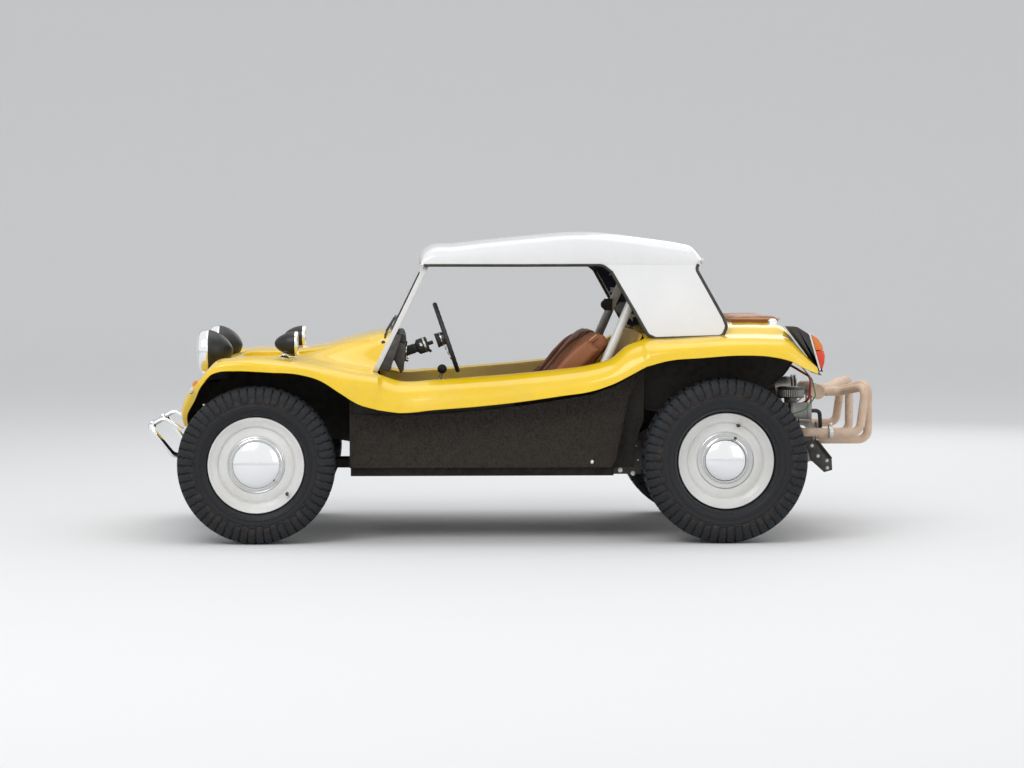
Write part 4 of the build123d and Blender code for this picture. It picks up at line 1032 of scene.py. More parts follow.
class Repeater:
    """Geometry Nodes trees, built here, that set copies of a small piece along, round or over something."""

    def __init__(self, name: str, sizes: dict[str, float | int | Point], sample: bpy.types.Object,
                 finish: Finish) -> None:
        """Starts a tree with its named inputs.

        Args:
            name: of the tree.
            sizes: the named inputs and their values.
            sample: the small piece that is repeated.
            finish: what the copies are made of.
        """
        self.sizes = sizes
        self.sample = sample
        self.finish = finish
        self.group = bpy.data.node_groups.new(name, "GeometryNodeTree")
        face = self.group.interface
        face.new_socket("Geometry", in_out="INPUT", socket_type="NodeSocketGeometry")
        kinds = {int: "NodeSocketInt", float: "NodeSocketFloat", tuple: "NodeSocketVector"}
        self.identifiers = {}
        for key, size in sizes.items():
            made = face.new_socket(key, in_out="INPUT", socket_type=kinds[type(size)])
            self.identifiers[key] = made.identifier
        face.new_socket("Geometry", in_out="OUTPUT", socket_type="NodeSocketGeometry")
        self.tree = Tree(self.group)
        self.inputs = self.tree.node("NodeGroupInput").outputs
        self.piece = self.tree.node("GeometryNodeObjectInfo", {"transform_space": "ORIGINAL"},
                                    {"Object": sample}).outputs["Geometry"]

    def close(self, instances: bpy.types.NodeSocket) -> None:
        """Ends the tree: the copies are realized and given their material.

        Args:
            instances: the copies.
        """
        real = self.tree.node("GeometryNodeRealizeInstances", {}, {"Geometry": instances}).outputs[0]
        dressed = self.tree.node("GeometryNodeSetMaterial", {},
                                 {"Geometry": real, "Material": self.finish.material()})
        self.tree.node("NodeGroupOutput", {}, {"Geometry": dressed.outputs[0]})

    def ring(self) -> None:
        """Copies round the Y axis through Centre: Count, Start and Turn; the sample is drawn in its place."""
        tree, inputs = self.tree, self.inputs
        points = tree.node("GeometryNodePoints", {}, {"Count": inputs["Count"]}).outputs[0]
        placed = tree.node("GeometryNodeInstanceOnPoints", {},
                           {"Points": points, "Instance": self.piece}).outputs[0]
        index = Value(tree, tree.node("GeometryNodeInputIndex").outputs[0])
        angle = index * Value(tree, inputs["Turn"]) + Value(tree, inputs["Start"])
        turn = tree.node("ShaderNodeCombineXYZ", {}, {1: angle}).outputs[0]
        sockets = {"Instances": placed, "Rotation": turn, "Pivot Point": inputs["Centre"],
                   "Local Space": False}
        self.close(tree.node("GeometryNodeRotateInstances", {}, sockets).outputs[0])

    def scatter(self) -> None:
        """A copy on each point of the base mesh, its +Z along the attribute 'facing', spun a little."""
        tree = self.tree
        named = tree.node("GeometryNodeInputNamedAttribute", {"data_type": "FLOAT_VECTOR"},
                          {"Name": "facing"}).outputs[0]
        aligned = tree.node("FunctionNodeAlignRotationToVector", {"axis": "Z"}, {"Vector": named}).outputs[0]
        limits = {0: (0.0, 0.0, 0.0), 1: self.inputs["Spin"], "Seed": 11}
        spin = tree.node("FunctionNodeRandomValue", {"data_type": "FLOAT_VECTOR"}, limits).outputs[0]
        rotated = tree.node("FunctionNodeRotateRotation", {"rotation_space": "LOCAL"},
                            {0: aligned, 1: spin}).outputs[0]
        sockets = {"Points": self.inputs["Geometry"], "Instance": self.piece, "Rotation": rotated,
                   "Scale": self.inputs["Scale"]}
        self.close(tree.node("GeometryNodeInstanceOnPoints", {}, sockets).outputs[0])

    def path(self) -> None:
        """Copies along the base mesh's edges: Pitch apart, their +Z along the path."""
        tree = self.tree
        curve = tree.node("GeometryNodeMeshToCurve", {}, {0: self.inputs["Geometry"]}).outputs[0]
        spaced = tree.node("GeometryNodeResampleCurve", {"mode": "LENGTH"},
                           {"Curve": curve, "Length": self.inputs["Pitch"]}).outputs[0]
        tangent = tree.node("GeometryNodeInputTangent").outputs[0]
        aligned = tree.node("FunctionNodeAlignRotationToVector", {"axis": "Z"},
                            {"Vector": tangent}).outputs[0]
        sockets = {"Points": spaced, "Instance": self.piece, "Rotation": aligned}
        self.close(tree.node("GeometryNodeInstanceOnPoints", {}, sockets).outputs[0])

    def apply(self, name: str, base: bpy.types.Object | None = None) -> bpy.types.Object:
        """Runs the tree and keeps its result as a plain mesh.

        Args:
            name: of the piece.
            base: the mesh that the tree starts from; it is used up.

        Returns:
            The finished piece, without modifiers.
        """
        if base is None:
            base = linked(name, bpy.data.meshes.new(name))
        base.name = name
        modifier = base.modifiers.new("repeat", "NODES")
        modifier.node_group = self.group
        for key, size in self.sizes.items():
            modifier[self.identifiers[key]] = size
        settle(base)
        bpy.data.objects.remove(self.sample)
        base.data.set_sharp_from_angle(angle=math.radians(HARD_EDGE))
        return base


def spread(rows: Sequence[Sequence[float]], steps: int) -> list[tuple[float, ...]]:
    """Smooth rows through the given ones, eased by the distance between them.

    Args:
        rows: rows of equal length.
        steps: rows to each span.

    Returns:
        The denser rows, which pass through the given ones.
    """
    gaps = [max(math.dist(a, b), 1e-6) for a, b in zip(rows, rows[1:])]
    slopes = []
    for i, row in enumerate(rows):
        if i == 0:
            slopes.append([(b - a) / gaps[0] for a, b in zip(row, rows[1])])
        elif i == len(rows) - 1:
            slopes.append([(a - b) / gaps[-1] for a, b in zip(row, rows[-2])])
        else:
            h0, h1 = gaps[i - 1], gaps[i]
            slopes.append([((p - q) / h0 * h1 + (r - p) / h1 * h0) / (h0 + h1)
                           for q, p, r in zip(rows[i - 1], row, rows[i + 1])])
    made = []
    for i, h in enumerate(gaps):
        for k in range(steps):
            t = k / steps
            a, b = 2 * t ** 3 - 3 * t * t + 1, t ** 3 - 2 * t * t + t
            c, d = -2 * t ** 3 + 3 * t * t, t ** 3 - t * t
            made.append(tuple(a * p + b * h * m + c * q + d * h * n
                              for p, q, m, n in zip(rows[i], rows[i + 1], slopes[i], slopes[i + 1])))
    return made + [tuple(rows[-1])]


def grid(rows: Sequence[Sequence[Point]], along: int, across: int) -> list[list[Point]]:
    """A control grid of points made dense and smooth both ways.

    Args:
        rows: the control points, row by row.
        along: steps between two rows.
        across: steps between two points of a row.

    Returns:
        The dense grid, row by row.
    """
    flat = [[c for p in row for c in p] for row in rows]
    made = []
    for row in spread(flat, along):
        points = [row[i:i + 3] for i in range(0, len(row), 3)]
        made.append(spread(points, across))
    return made


def band(name: str, finish: Finish, points: Sequence[Point], radius: float, body: str, sides: int = 10,
         bend: float = 0.0) -> bpy.types.Object:
    """A round strip, such as a rubber trim, a hose or a wire, that rides on a body.

    Args:
        name: the piece's name.
        finish: its finish.
        points: the line it follows.
        radius: half its thickness.
        body: the body it rides on.
        sides: faces round it.
        bend: radius of its corners.

    Returns:
        The piece.
    """
    shape = Shape()
    shape.tube(points, radius, sides, bend)
    made = shape.build(name, finish)
    own(made, finish, body)
    return made


def own(made: bpy.types.Object, finish: Finish, body: str, *nodes: str) -> bpy.types.Object:
    """Hangs a finished piece on the body it rides on and hides the CAD nodes it stands for.

    Args:
        made: the piece.
        finish: its finish; not used.
        body: the body it rides on.
        nodes: the CAD nodes it stands for.

    Returns:
        The piece.
    """
    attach(made, body)
    if nodes:
        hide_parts(*nodes)
    log.info("%s: %d faces on %s", made.name, len(made.data.polygons), body)
    return made


def dress(finish: Finish, *nodes: str) -> None:
    """Gives CAD nodes their finish.

    Args:
        finish: the finish.
        nodes: the nodes' names.
    """
    for node in nodes:
        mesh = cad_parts[node].data
        mesh.materials.clear()
        mesh.materials.append(finish.material())


MM = 0.001


@dataclass
class BodyShell:
    """The yellow moulding: nose, fenders, flares, tub walls, cowl and rear deck in one smooth skin."""

    wall: float = 0.006
    crown_y: int = 642
    rail_y: int = 615
    foot: tuple[float, float] = (0.592, 0.3176)
    rear_clear: tuple[float, float, float] = (0.9065, 0.357, 0.384)
    cowl_end: tuple[float, float] = (-0.542, 0.887)
    # Front face, back face, outer end and foot of the walls across the sill boxes.
    sill_end: tuple[float, float, float, float] = (-0.7235, -0.7155, -0.6555, 0.322)
    # Top of the slanting bulkhead behind the seats, and how steeply it falls to the front.
    bulkhead_top: tuple[float, float] = (0.554, 0.899)
    bulkhead_fall: float = 2.03
    wells: list[tuple[str, float, list[tuple[float, float]]]] = field(default_factory=lambda: [
        ("front_well_liners", 0.407, [(-1.448, 0.500), (-1.380, 0.500), (-1.290, 0.505), (-1.180, 0.520)]),
        ("sill_top_liners", 0.647,
         [(-0.7225, 0.545), (-0.560, 0.540), (-0.362, 0.545), (-0.160, 0.560), (-0.010, 0.578)]),
        ("rear_well_liners", 0.545,
         [(0.425, 0.590), (0.510, 0.580), (0.620, 0.565), (0.900, 0.600), (1.080, 0.650), (1.180, 0.720),
          (1.235, 0.800)]),
    ])
    front: list[tuple[float, ...]] = field(default_factory=lambda: [
        # x, z, tilt, hood, edge, edge_y, valley, crown, bend, lip_y
        (-1436, 497, 92, 26, 25, 300, 24, 24, 14, 484),
        (-1434, 545, 80, 38, 36, 300, 34, 32, 20, 545),
        (-1396, 615, 62, 56, 52, 300, 46, 48, 30, 625),
        (-1357, 688, 50, 26, 18, 300, 8, 26, 16, 732),
        (-1316, 735, 42, 14, 2, 290, -30, 24, 14, 765),
        (-1280, 747, 20, 34, 18, 300, -40, 44, 28, 770),
        (-1225, 750, 5, 52, 40, 310, 0, 52, 34, 770),
        (-1072, 744, 0, 70, 60, 340, 48, 57, 30, 770),
        (-930, 733, 0, 88, 78, 360, 52, 52, 26, 770),
        (-848, 708, 0, 128, 118, 372, 72, 66, 28, 770),
        (-767, 657, 0, 194, 183, 384, 112, 100, 32, 770),
        (-686, 607, 0, 258, 246, 392, 152, 136, 36, 770),
        (-600, 581, 0, 298, 286, 400, 162, 150, 38, 770),
    ])
    sides: list[tuple[float, ...]] = field(default_factory=lambda: [
        # x, rail, crown, bend, lip
        (-600, 716, 731, 619, 581), (-503, 690, 702, 606, 569), (-362, 696, 706, 616, 581),
        (-160, 712, 720, 632, 597), (48, 729, 737, 656, 620), (187, 744, 752, 676, 640),
        (328, 762, 772, 700, 662), (421, 792, 802, 732, 694), (477, 842, 850, 762, 722),
        (560, 880, 884, 812, 767),
    ])
    rear: list[tuple[float, ...]] = field(default_factory=lambda: [
        # x, deck, crown, bend, lip, lip_y
        (560, 905, 884, 812, 767, 776), (654, 928, 886, 832, 792, 782), (794, 940, 893, 846, 804, 788),
        (976, 945, 900, 856, 815, 790), (1098, 944, 898, 850, 809, 790), (1182, 936, 890, 836, 790, 788),
        (1237, 866, 840, 802, 761, 786), (1303, 778, 768, 754, 734, 780),
    ])

    def nose_rows(self) -> list[list[Point]]:
        """Control points of the front moulding, from the left lip to the right one.

        Returns:
            The control points, row by row.
        """
        rows = []
        for x, z, tilt, hood, edge, edge_y, valley, crown, bend, lip_y in self.front:
            lean = math.radians(tilt)
            half = [(lip_y, 0), (lip_y - 8, bend), (lip_y - 50, bend + (crown - bend) * 0.78),
                    (min(622, lip_y - 90), crown), (min(500, lip_y - 130), valley), (edge_y, edge)]
            line = [(-y, h) for y, h in half] + [(0, hood)] + [(y, h) for y, h in half[::-1]]
            rows.append([((x - h * math.sin(lean)) * MM, y * MM, (z + h * math.cos(lean)) * MM)
                         for y, h in line])
        return rows

    def tail_rows(self) -> list[list[Point]]:
        """Control points of the rear moulding.

        Returns:
            The control points, row by row.
        """
        rows = []
        for x, deck, crown, bend, lip, lip_y in self.rear:
            half = [(lip_y, lip), (lip_y - 10, bend), (lip_y - 56, bend + (crown - bend) * 0.68),
                    (self.crown_y, crown), (552, crown + (deck - crown) * 0.75), (482, deck - 4)]
            line = [(-y, h) for y, h in half] + [(0, deck)] + [(y, h) for y, h in half[::-1]]
            rows.append([(x * MM, y * MM, h * MM) for y, h in line])
        return rows

    def side_rows(self) -> list[list[Point]]:
        """Control points of the left flare, from its lip up to the tub's rail.

        Returns:
            The control points, row by row.
        """
        rows = []
        for x, rail, crown, bend, lip in self.sides:
            line = [(770, lip), (758, bend), (717, bend + (crown - bend) * 0.66), (self.crown_y, crown),
                    (self.rail_y, rail)]
            rows.append([(x * MM, -y * MM, h * MM) for y, h in line])
        return rows

    def build(self) -> None:
        """Builds the skin, its dark underside and its hood."""
        shape = Shape()
        nose = grid(self.nose_rows(), 8, 5)
        tail = grid(self.tail_rows(), 7, 5)
        flare = grid(self.side_rows(), 8, 5)
        for i in range(16):
            flare[0][i] = nose[-1][i]
            flare[-1][i] = tail[0][i]
        shape.loft(nose, False, False)
        shape.loft(tail, False, False)
        cowl = [nose[-1][20:-20]]
        x_end, top = self.cowl_end
        start_top = cowl[0][len(cowl[0]) // 2][2]
        for share in (0.34, 0.67, 1.0):
            cowl.append([(p[0] + (x_end - p[0]) * share, p[1], p[2] + (top - start_top) * share)
                         for p in cowl[0]])
        shape.loft(cowl, False, False)
        walls = []
        cx, cz, clear = self.rear_clear
        for row in flare:
            x, y, z = row[-1]
            reach = clear * clear - (cx - x) ** 2
            foot_z = max(self.foot[1],
                         cz + math.sqrt(reach)) if reach > 0 and x > cx - clear else self.foot[1]
            share = (z - foot_z) / (z - self.foot[1])
            foot_y = y + (-self.foot[0] - y) * share
            walls.append(list(row)
                         + [(x, y + (foot_y - y) * t, z + (foot_z - z) * t) for t in (0.03, 0.3, 0.65, 1.0)])
        shape.loft(walls, False, False)
        shape.loft([[(x, -y, z) for x, y, z in reversed(row)] for row in walls], False, False)
        skin = shape.build("body_shell", [YELLOW, UNDERSEAL], weld=True)
        look(skin, UP, [p for p in skin.data.polygons if abs(p.center.y) < 0.2 and 0.6 < p.center.x < 1.1])
        modify(skin, "SOLIDIFY", thickness=self.wall, offset=-1.0, use_even_offset=True, material_offset=1,
               material_offset_rim=0)
        modify(skin, "BEVEL", width=0.0022, segments=2, angle_limit=math.radians(38.0))
        settle(skin)
        skin.data.set_sharp_from_angle(angle=math.radians(50.0))
        own(skin, YELLOW, "chassis", "body_front", "body_sides", "body_rear")
        for name, y, foot in self.wells:
            self.liner(skin, name, y, foot)
        self.sill_ends(skin)

    def liner(self, skin: bpy.types.Object, name: str, y: float, foot: Sequence[tuple[float, float]]) -> None:
        """A black wall in the wheel wells, from its foot line up to the skin's underside, with a rolled edge.

        Args:
            skin: the body, which the wall ends under.
            name: of the piece.
            y: distance from the middle plane.
            foot: (x, z) places of its lower edge.
        """
        shape, rings, edge = Shape(), [], []
        top_x, top_z = self.bulkhead_top
        for x, z in spread(foot, 9):
            hit, place, _, _ = skin.ray_cast(Vector((x, -y, z)), Vector(UP))
            roof = place.z if hit else z
            if 0.0 < x < top_x:
                roof = min(roof, top_z - (top_x - x) * self.bulkhead_fall)
            top = max(z + 0.004, roof - 0.004)
            rings.append([(x, -y, z), (x, -y, top), (x, self.wall / 2 - y, top), (x, self.wall / 2 - y, z)])
            edge.append((x, -y, z))
        shape.loft(rings)
        shape.tube(edge, 0.0045, 8)
        shape.mirrored()
        shape.place(name, UNDERSEAL)

    def sill_ends(self, skin: bpy.types.Object) -> None:
        """Black walls across the front ends of the sill boxes, between the inner panels and the side pods.

        Args:
            skin: the body, which the walls end under.
        """
        shape, rings = Shape(), []
        front, back, outer, foot = self.sill_end
        for k in range(9):
            y = outer + 0.0995 * k / 8
            hit, place, _, _ = skin.ray_cast(Vector((-0.716, y, 0.40)), Vector(UP))
            top = place.z - 0.003 if hit else 0.550
            rings.append([(front, y, foot), (front, y, top), (back, y, top), (back, y, foot)])
        shape.loft(rings)
        shape.mirrored()
        shape.place("sill_end_walls", UNDERSEAL)


@dataclass
class Hood:
    """The hood panel with its raised front."""

    skirt: float = 0.014
    stations: list[tuple[float, float, float]] = field(default_factory=lambda: [
        (-1.205, 0.812, 0.285), (-1.180, 0.823, 0.300), (-1.075, 0.828, 0.322), (-0.985, 0.828, 0.338),
        (-0.800, 0.852, 0.362), (-0.640, 0.882, 0.378)])

    def build(self) -> None:
        """Builds the panel."""
        rows = []
        for x, top, half in self.stations:
            line = [(-half, top - 0.012 - self.skirt), (-half, top - 0.010), (-half + 0.020, top - 0.0045),
                    (-half * 0.5, top + 0.001), (0.0, top + 0.003)]
            line += [(-y, z) for y, z in line[-2::-1]]
            rows.append([(x, y, z) for y, z in line])
        dense = [list(zip(*[iter(row)] * 3))
                 for row in spread([[c for p in row for c in p] for row in rows], 5)]
        shape = Shape()
        shape.loft(dense, False, False)
        panel = shape.build("hood_panel", YELLOW, weld=True)
        look(panel, UP)
        modify(panel, "SOLIDIFY", thickness=0.004, offset=-1.0)
        modify(panel, "BEVEL", width=0.004, segments=3, angle_limit=math.radians(35.0))
        settle(panel)
        panel.data.set_sharp_from_angle(angle=math.radians(60.0))
        own(panel, YELLOW, "chassis", "hood")


@dataclass
class Hardtop:
    """Roof with closed rear quarters, sloping back with its window, rubber trim and cloth lining."""

    half: float = 0.560
    edge_z: float = 1.204
    wall: float = 0.006
    star: float = 0.030
    stations: list[tuple[float, float, float]] = field(default_factory=lambda: [
        # x, top, edge
        (-0.414, 1.240, 1.204), (-0.402, 1.268, 1.204), (-0.378, 1.288, 1.204), (-0.270, 1.301, 1.204),
        (0.0, 1.330, 1.204), (0.322, 1.352, 1.204), (0.600, 1.321, 1.204), (0.745, 1.2985, 1.204),
        (0.783, 1.2885, 1.2065), (0.806, 1.268, 1.222), (0.826, 1.2425, 1.2365)])
    quarter: list[tuple[float, float]] = field(default_factory=lambda: [
        (0.380, 1.207), (0.418, 1.177), (0.517, 1.003), (0.574, 0.899), (0.608, 0.884), (0.901, 0.893),
        (0.920, 0.936), (0.906, 0.974), (0.790, 1.191)])
    inner: list[tuple[float, float]] = field(default_factory=lambda: [
        (0.402, 1.199), (0.434, 1.170), (0.529, 1.010), (0.582, 0.915), (0.612, 0.902), (0.893, 0.908),
        (0.903, 0.937), (0.890, 0.968), (0.776, 1.184), (0.766, 1.199)])

    def lean(self, z: float) -> float:
        """Half width of the quarter panels at a height."""
        return self.half + (self.edge_z - z) * (0.084 / 0.312)

    def roof_rows(self, inset: float = 0.0) -> list[list[Point]]:
        """Control points across the roof, from the left edge to the right one.

        Args:
            inset: how far the surface lies under the roof's top.

        Returns:
            The control points, row by row.
        """
        rows = []
        for x, top, edge in self.stations:
            top -= inset
            half = [(self.half - inset, edge),
                    (self.half - 0.004 - inset, edge + (top - 0.030 - edge) * 0.55),
                    (self.half - 0.022 - inset, top - 0.030), (self.half - 0.090, top - 0.010),
                    (self.half - 0.30, top - 0.002)]
            line = [(-y, z) for y, z in half] + [(0.0, top)] + [(y, z) for y, z in half[::-1]]
            rows.append([(x, y, z) for y, z in line])
        return rows

    def slope(self, z: float) -> float:
        """X of the sloping back at a height."""
        return 0.906 + (0.974 - z) * (0.118 / 0.217)

    def build(self) -> None:
        """Builds the shell, the lining with its stars, the trims and the rear window."""
        shape = Shape()
        shape.loft(grid(self.roof_rows(), 6, 4), False, False)
        roof = shape.build("hardtop_roof", WHITE_TOP, weld=True)
        look(roof, UP)
        modify(roof, "SOLIDIFY", thickness=self.wall, offset=-1.0, use_even_offset=True)
        modify(roof, "BEVEL", width=0.002, segments=2, angle_limit=math.radians(40.0))
        settle(roof)
        roof.data.set_sharp_from_angle(angle=math.radians(50.0))
        own(roof, WHITE_TOP, "chassis", "hardtop")
        self.quarters()
        self.back()
        self.lining()

    def quarters(self) -> None:
        """The side panels with their open front edge, and the rubber along it."""
        shape = Shape()
        outline = rounded([(x, 0.0, z) for x, z in self.quarter[1:] + [(0.8215, 1.2310)]], 0.030)
        outline = [Vector((0.380, 0, 1.2065))] + outline + [Vector((0.806, 0, 1.2235)),
                                                            Vector((0.783, 0, 1.2085))]
        outer = [(p.x, -self.lean(p.z), p.z) for p in outline]
        inner = [(p.x, -self.lean(p.z) + self.wall, p.z) for p in outline]
        shape.loft([outer, inner])
        shape.mirrored()
        shape.place("hardtop_quarters", WHITE_TOP, soften=0.0015, sharp=12.0)
        seal = Shape()
        lower = outer[1:-3]
        seal.tube([(x + 0.002, y + 0.003, z) for x, y, z in lower], 0.0075, 10)
        seal.tube([(-0.40, -self.half + 0.003, 1.203), (0.0, -self.half + 0.003, 1.2025),
                   (0.385, -self.half + 0.002, 1.2035), (0.418, -self.lean(1.177) + 0.003, 1.177)], 0.0065,
                  10, 0.05)
        seal.mirrored()
        seal.place("hardtop_seals", TRIM_RUBBER)

    def back(self) -> None:
        """The sloping back round its window, the glass in its rubber, and the lip under the roof's tail."""
        top, foot = 1.262, 0.946
        shape = Shape()
        push = Vector((-0.217, 0.0, -0.118)).normalized() * self.wall
        rows = []
        for z in (top, 1.155, 1.012, 0.974, foot):
            x = self.slope(z) if z > 0.97 else 0.914
            edge = self.lean(z) - 0.002 if z < self.edge_z else self.half - 0.012
            inner = 0.400 if z >= 1.155 else 0.430
            rows.append([(x, y, z) for y in (-edge, -inner, inner, edge)])
        outer = [[Vector(p) for p in row] for row in rows]
        for r in range(4):
            for c in range(3):
                if (r, c) == (1, 1):
                    continue
                quad = [outer[r][c], outer[r][c + 1], outer[r + 1][c + 1], outer[r + 1][c]]
                shape.add(quad, [(0, 1, 2, 3)])
        panel = shape.build("hardtop_back", WHITE_TOP, weld=True)
        look(panel, BACK)
        modify(panel, "SOLIDIFY", thickness=self.wall, offset=-1.0)
        settle(panel)
        own(panel, WHITE_TOP, "chassis")
        ring = [(-0.395, 1.150), (0.395, 1.150), (0.424, 1.018), (-0.424, 1.018)]
        corners = [Vector((self.slope(z), y, z)) for y, z in ring]
        loop = rounded([(corners[0] + corners[1]) / 2] + corners[1:]
                       + [corners[0], (corners[0] + corners[1]) / 2], 0.05)
        glass = Shape()
        glass.loft([[p + push * 0.3 for p in loop[:-1]], [p + push * 0.9 for p in loop[:-1]]])
        glass.place("rear_window_glass", SCREEN, "rear_window")
        band("rear_window_rubber", TRIM_RUBBER, [p - push * 0.1 for p in loop], 0.009, "chassis")

    def lining(self) -> None:
        """Cloth lining under the roof, with stars set over its dark field."""
        shape = Shape()
        rows = [row for row in grid(self.roof_rows(0.012), 4, 3) if -0.36 < row[0][0] < 0.76]
        shape.loft([[(x, y, z) for x, y, z in row if z > 1.206] for row in rows], False, False)
        cloth = shape.build("roof_lining", LINING, weld=True)
        look(cloth, (0, 0, -1))
        own(cloth, LINING, "chassis")
        cheeks = Shape()
        outline = rounded([(x, 0.0, z) for x, z in self.inner], 0.03)
        cheeks.loft([[(p.x, self.wall + lift - self.lean(p.z), p.z) for p in outline]
                     for lift in (0.0015, 0.0040)])
        cheeks.mirrored()
        walls = cheeks.build("quarter_lining", SIDE_LINING, sharp=50.0)
        own(walls, SIDE_LINING, "chassis")
        sample = Shape()
        tips = []
        for i in range(10):
            reach = self.star if i % 2 == 0 else self.star * 0.4
            a = math.pi * i / 5
            tips.append((reach * math.cos(a), reach * math.sin(a), 0.0))
        sample.prism(tips, (0.0, 0.0, 0.0012))
        spots, ways = [], []
        rays = [(cloth, (-0.30 + i * 0.088, -0.40 + j * 0.1 + i % 2 * 0.05, 1.0), (0.0, 0.0, 1.0))
                for i in range(6) for j in range(9)]
        rays += [(walls, (0.43 + i * 0.085, 0.0, 0.955 + j * 0.085 + i % 2 * 0.042), (0.0, side.value, 0.0))
                 for i in range(6) for j in range(4) for side in Side]
        for target, start, way in rays:
            hit, place, _, _ = target.ray_cast(Vector(start), Vector(way))
            if hit and abs(place.y) < (0.44 if way[2] else 1.0):
                spots.append(tuple(place - Vector(way) * 0.0015))
                ways.append(tuple(-c for c in way))
        scattered("roof_lining_stars", sample, STAR_WHITE, spots, ways, 0.0)


def scattered(name: str, sample: Shape, finish: Finish, spots: Sequence[Point], ways: Sequence[Point],
              spin: float = 6.28, body: str = "chassis") -> None:
    """Copies of a small piece on points, set by Geometry Nodes and kept as one piece.

    Args:
        name: of the piece.
        sample: what is copied, with its foot at the origin and its top along +Z.
        finish: what it is made of.
        spots: where the copies sit.
        ways: which way each one looks.
        spin: the most that a copy is turned about its axis.
        body: that they ride on.
    """
    sizes = {"Spin": (0.0, 0.0, spin), "Scale": (1.0, 1.0, 1.0)}
    repeat = Repeater(name, sizes, sample.build(f"{name}_sample", finish), finish)
    repeat.scatter()
    own(repeat.apply(name, points_with_facing(f"{name}_spots", spots, ways)), finish, body)


def points_with_facing(name: str, spots: Sequence[Point], ways: Sequence[Point]) -> bpy.types.Object:
    """A mesh of loose points, each with the direction that a copy on it looks along.

    Args:
        name: of the object.
        spots: the points.
        ways: their directions.

    Returns:
        The object, used up by a Repeater.
    """
    mesh = bpy.data.meshes.new(name)
    mesh.from_pydata([tuple(p) for p in spots], [], [])
    stored = mesh.attributes.new("facing", "FLOAT_VECTOR", "POINT")
    stored.data.foreach_set("vector", [c for way in ways for c in way])
    return linked(name, mesh)


@dataclass
class Windscreen:
    """The flat windscreen in its white frame, with its foot brackets and wipers."""

    base: tuple[float, float] = (-0.615, 0.735)
    rake: float = 25.9
    height: float = 0.520
    half_low: float = 0.575
    half_high: float = 0.530
    rail: float = 0.042
    foot_rail: float = 0.174
    depth: float = 0.022
    wiper_y: tuple[float, float] = (-0.40, 0.02)

    def at(self, y: float, up: float, out: float = 0.0) -> Vector:
        """A point of the frame's plane: across the car, up the rake, and out to the front.

        Args:
            y: across the car.
            up: up the rake.
            out: out to the front.

        Returns:
            The point.
        """
        lean = math.radians(self.rake)
        return Vector((self.base[0] + up * math.sin(lean) - out * math.cos(lean), y,
                       self.base[1] + up * math.cos(lean) + out * math.sin(lean)))

    def outline(self, inset: float, foot: float, bend: float) -> list[Vector]:
        """The frame's loop, moved in by an inset, with rounded corners.

        Args:
            inset: how far in the loop lies.
            foot: its lower edge, up the rake.
            bend: radius of its corners.

        Returns:
            The loop's points.
        """
        low, high = self.half_low - inset, self.half_high - inset
        flat = [(0, foot, 0), (low, foot, 0), (high, self.height - inset, 0), (-high, self.height - inset, 0),
                (-low, foot, 0), (0, foot, 0)]
        return rounded(flat, bend)[:-1]

    def build(self) -> None:
        """Builds the frame, glass, seal, brackets and wipers."""
        shape = Shape()
        outer, inner = self.outline(0.0, 0.0, 0.030), self.outline(self.rail, self.foot_rail, 0.018)
        rings = []
        for loop, out in ((outer, 0.0), (outer, self.depth), (inner, self.depth), (inner, 0.0), (outer, 0.0)):
            rings.append([self.at(p.x, p.y, out - self.depth / 2) for p in loop])
        shape.loft(rings, True, False)
        low = [p for p in shape.points if abs(p.y) < 0.515 and p.z < 0.84]
        for p in low:
            p.z = max(p.z, 0.735)
        shape.place("screen_frame", WHITE_FRAME, "windscreen_frame", soften=0.004, weld=True)
        pane = Shape()
        loop = self.outline(self.rail - 0.006, self.foot_rail - 0.006, 0.022)
        pane.loft([[self.at(p.x, p.y, -0.0025) for p in loop], [self.at(p.x, p.y, 0.0025) for p in loop]])
        pane.place("screen_glass", SCREEN, "windscreen_glass")
        seal = [self.at(p.x, p.y, 0.0035)
                for p in self.outline(self.rail + 0.001, self.foot_rail + 0.001, 0.02)]
        band("screen_seal", TRIM_RUBBER, seal + [seal[0]], 0.0055, "chassis", 8)
        self.wipers()
        self.brackets()

    def wipers(self) -> None:
        """Two wipers parked across the foot of the glass."""
        shape = Shape()
        for y in self.wiper_y:
            root = self.at(y, 0.125, 0.012)
            shape.turn([(0.013, 0.0), (0.013, 0.012), (0.009, 0.018), (0.0, 0.0185)], root, (-0.9, 0, 0.44),
                       20)
            knee = self.at(y + 0.03, 0.165, 0.030)
            tip = self.at(y + 0.22, 0.235, 0.022)
            shape.tube([root, knee, tip], 0.0038, 8)
            a, b = self.at(y + 0.04, 0.197, 0.010), self.at(y + 0.40, 0.245, 0.010)
            shape.tube([a, b], 0.0042, 8)
            shape.tube([a + Vector((-0.007, 0, 0.003)), (a + b) / 2 + Vector((-0.012, 0, 0.006)),
                        b + Vector((-0.007, 0, 0.003))], 0.0026, 8)
        shape.place("wiper_arms", PLASTIC, "wipers")

    def brackets(self) -> None:
        """Dark plates behind the lower pillars."""
        shape = Shape()
        for y0 in (-0.562, -0.520):
            pts = [self.at(y0, up, -0.013) for up in (0.02, 0.19, 0.19, 0.02)]
            back = Vector((0.045, 0, -0.01))
            pts = [pts[0], pts[1], pts[2] + back * 0.5, pts[3] + back]
            shape.prism(pts, (0, 0.003, 0))
        shape.mirrored()
        shape.place("screen_brackets", BLACK_STEEL, soften=0.001)


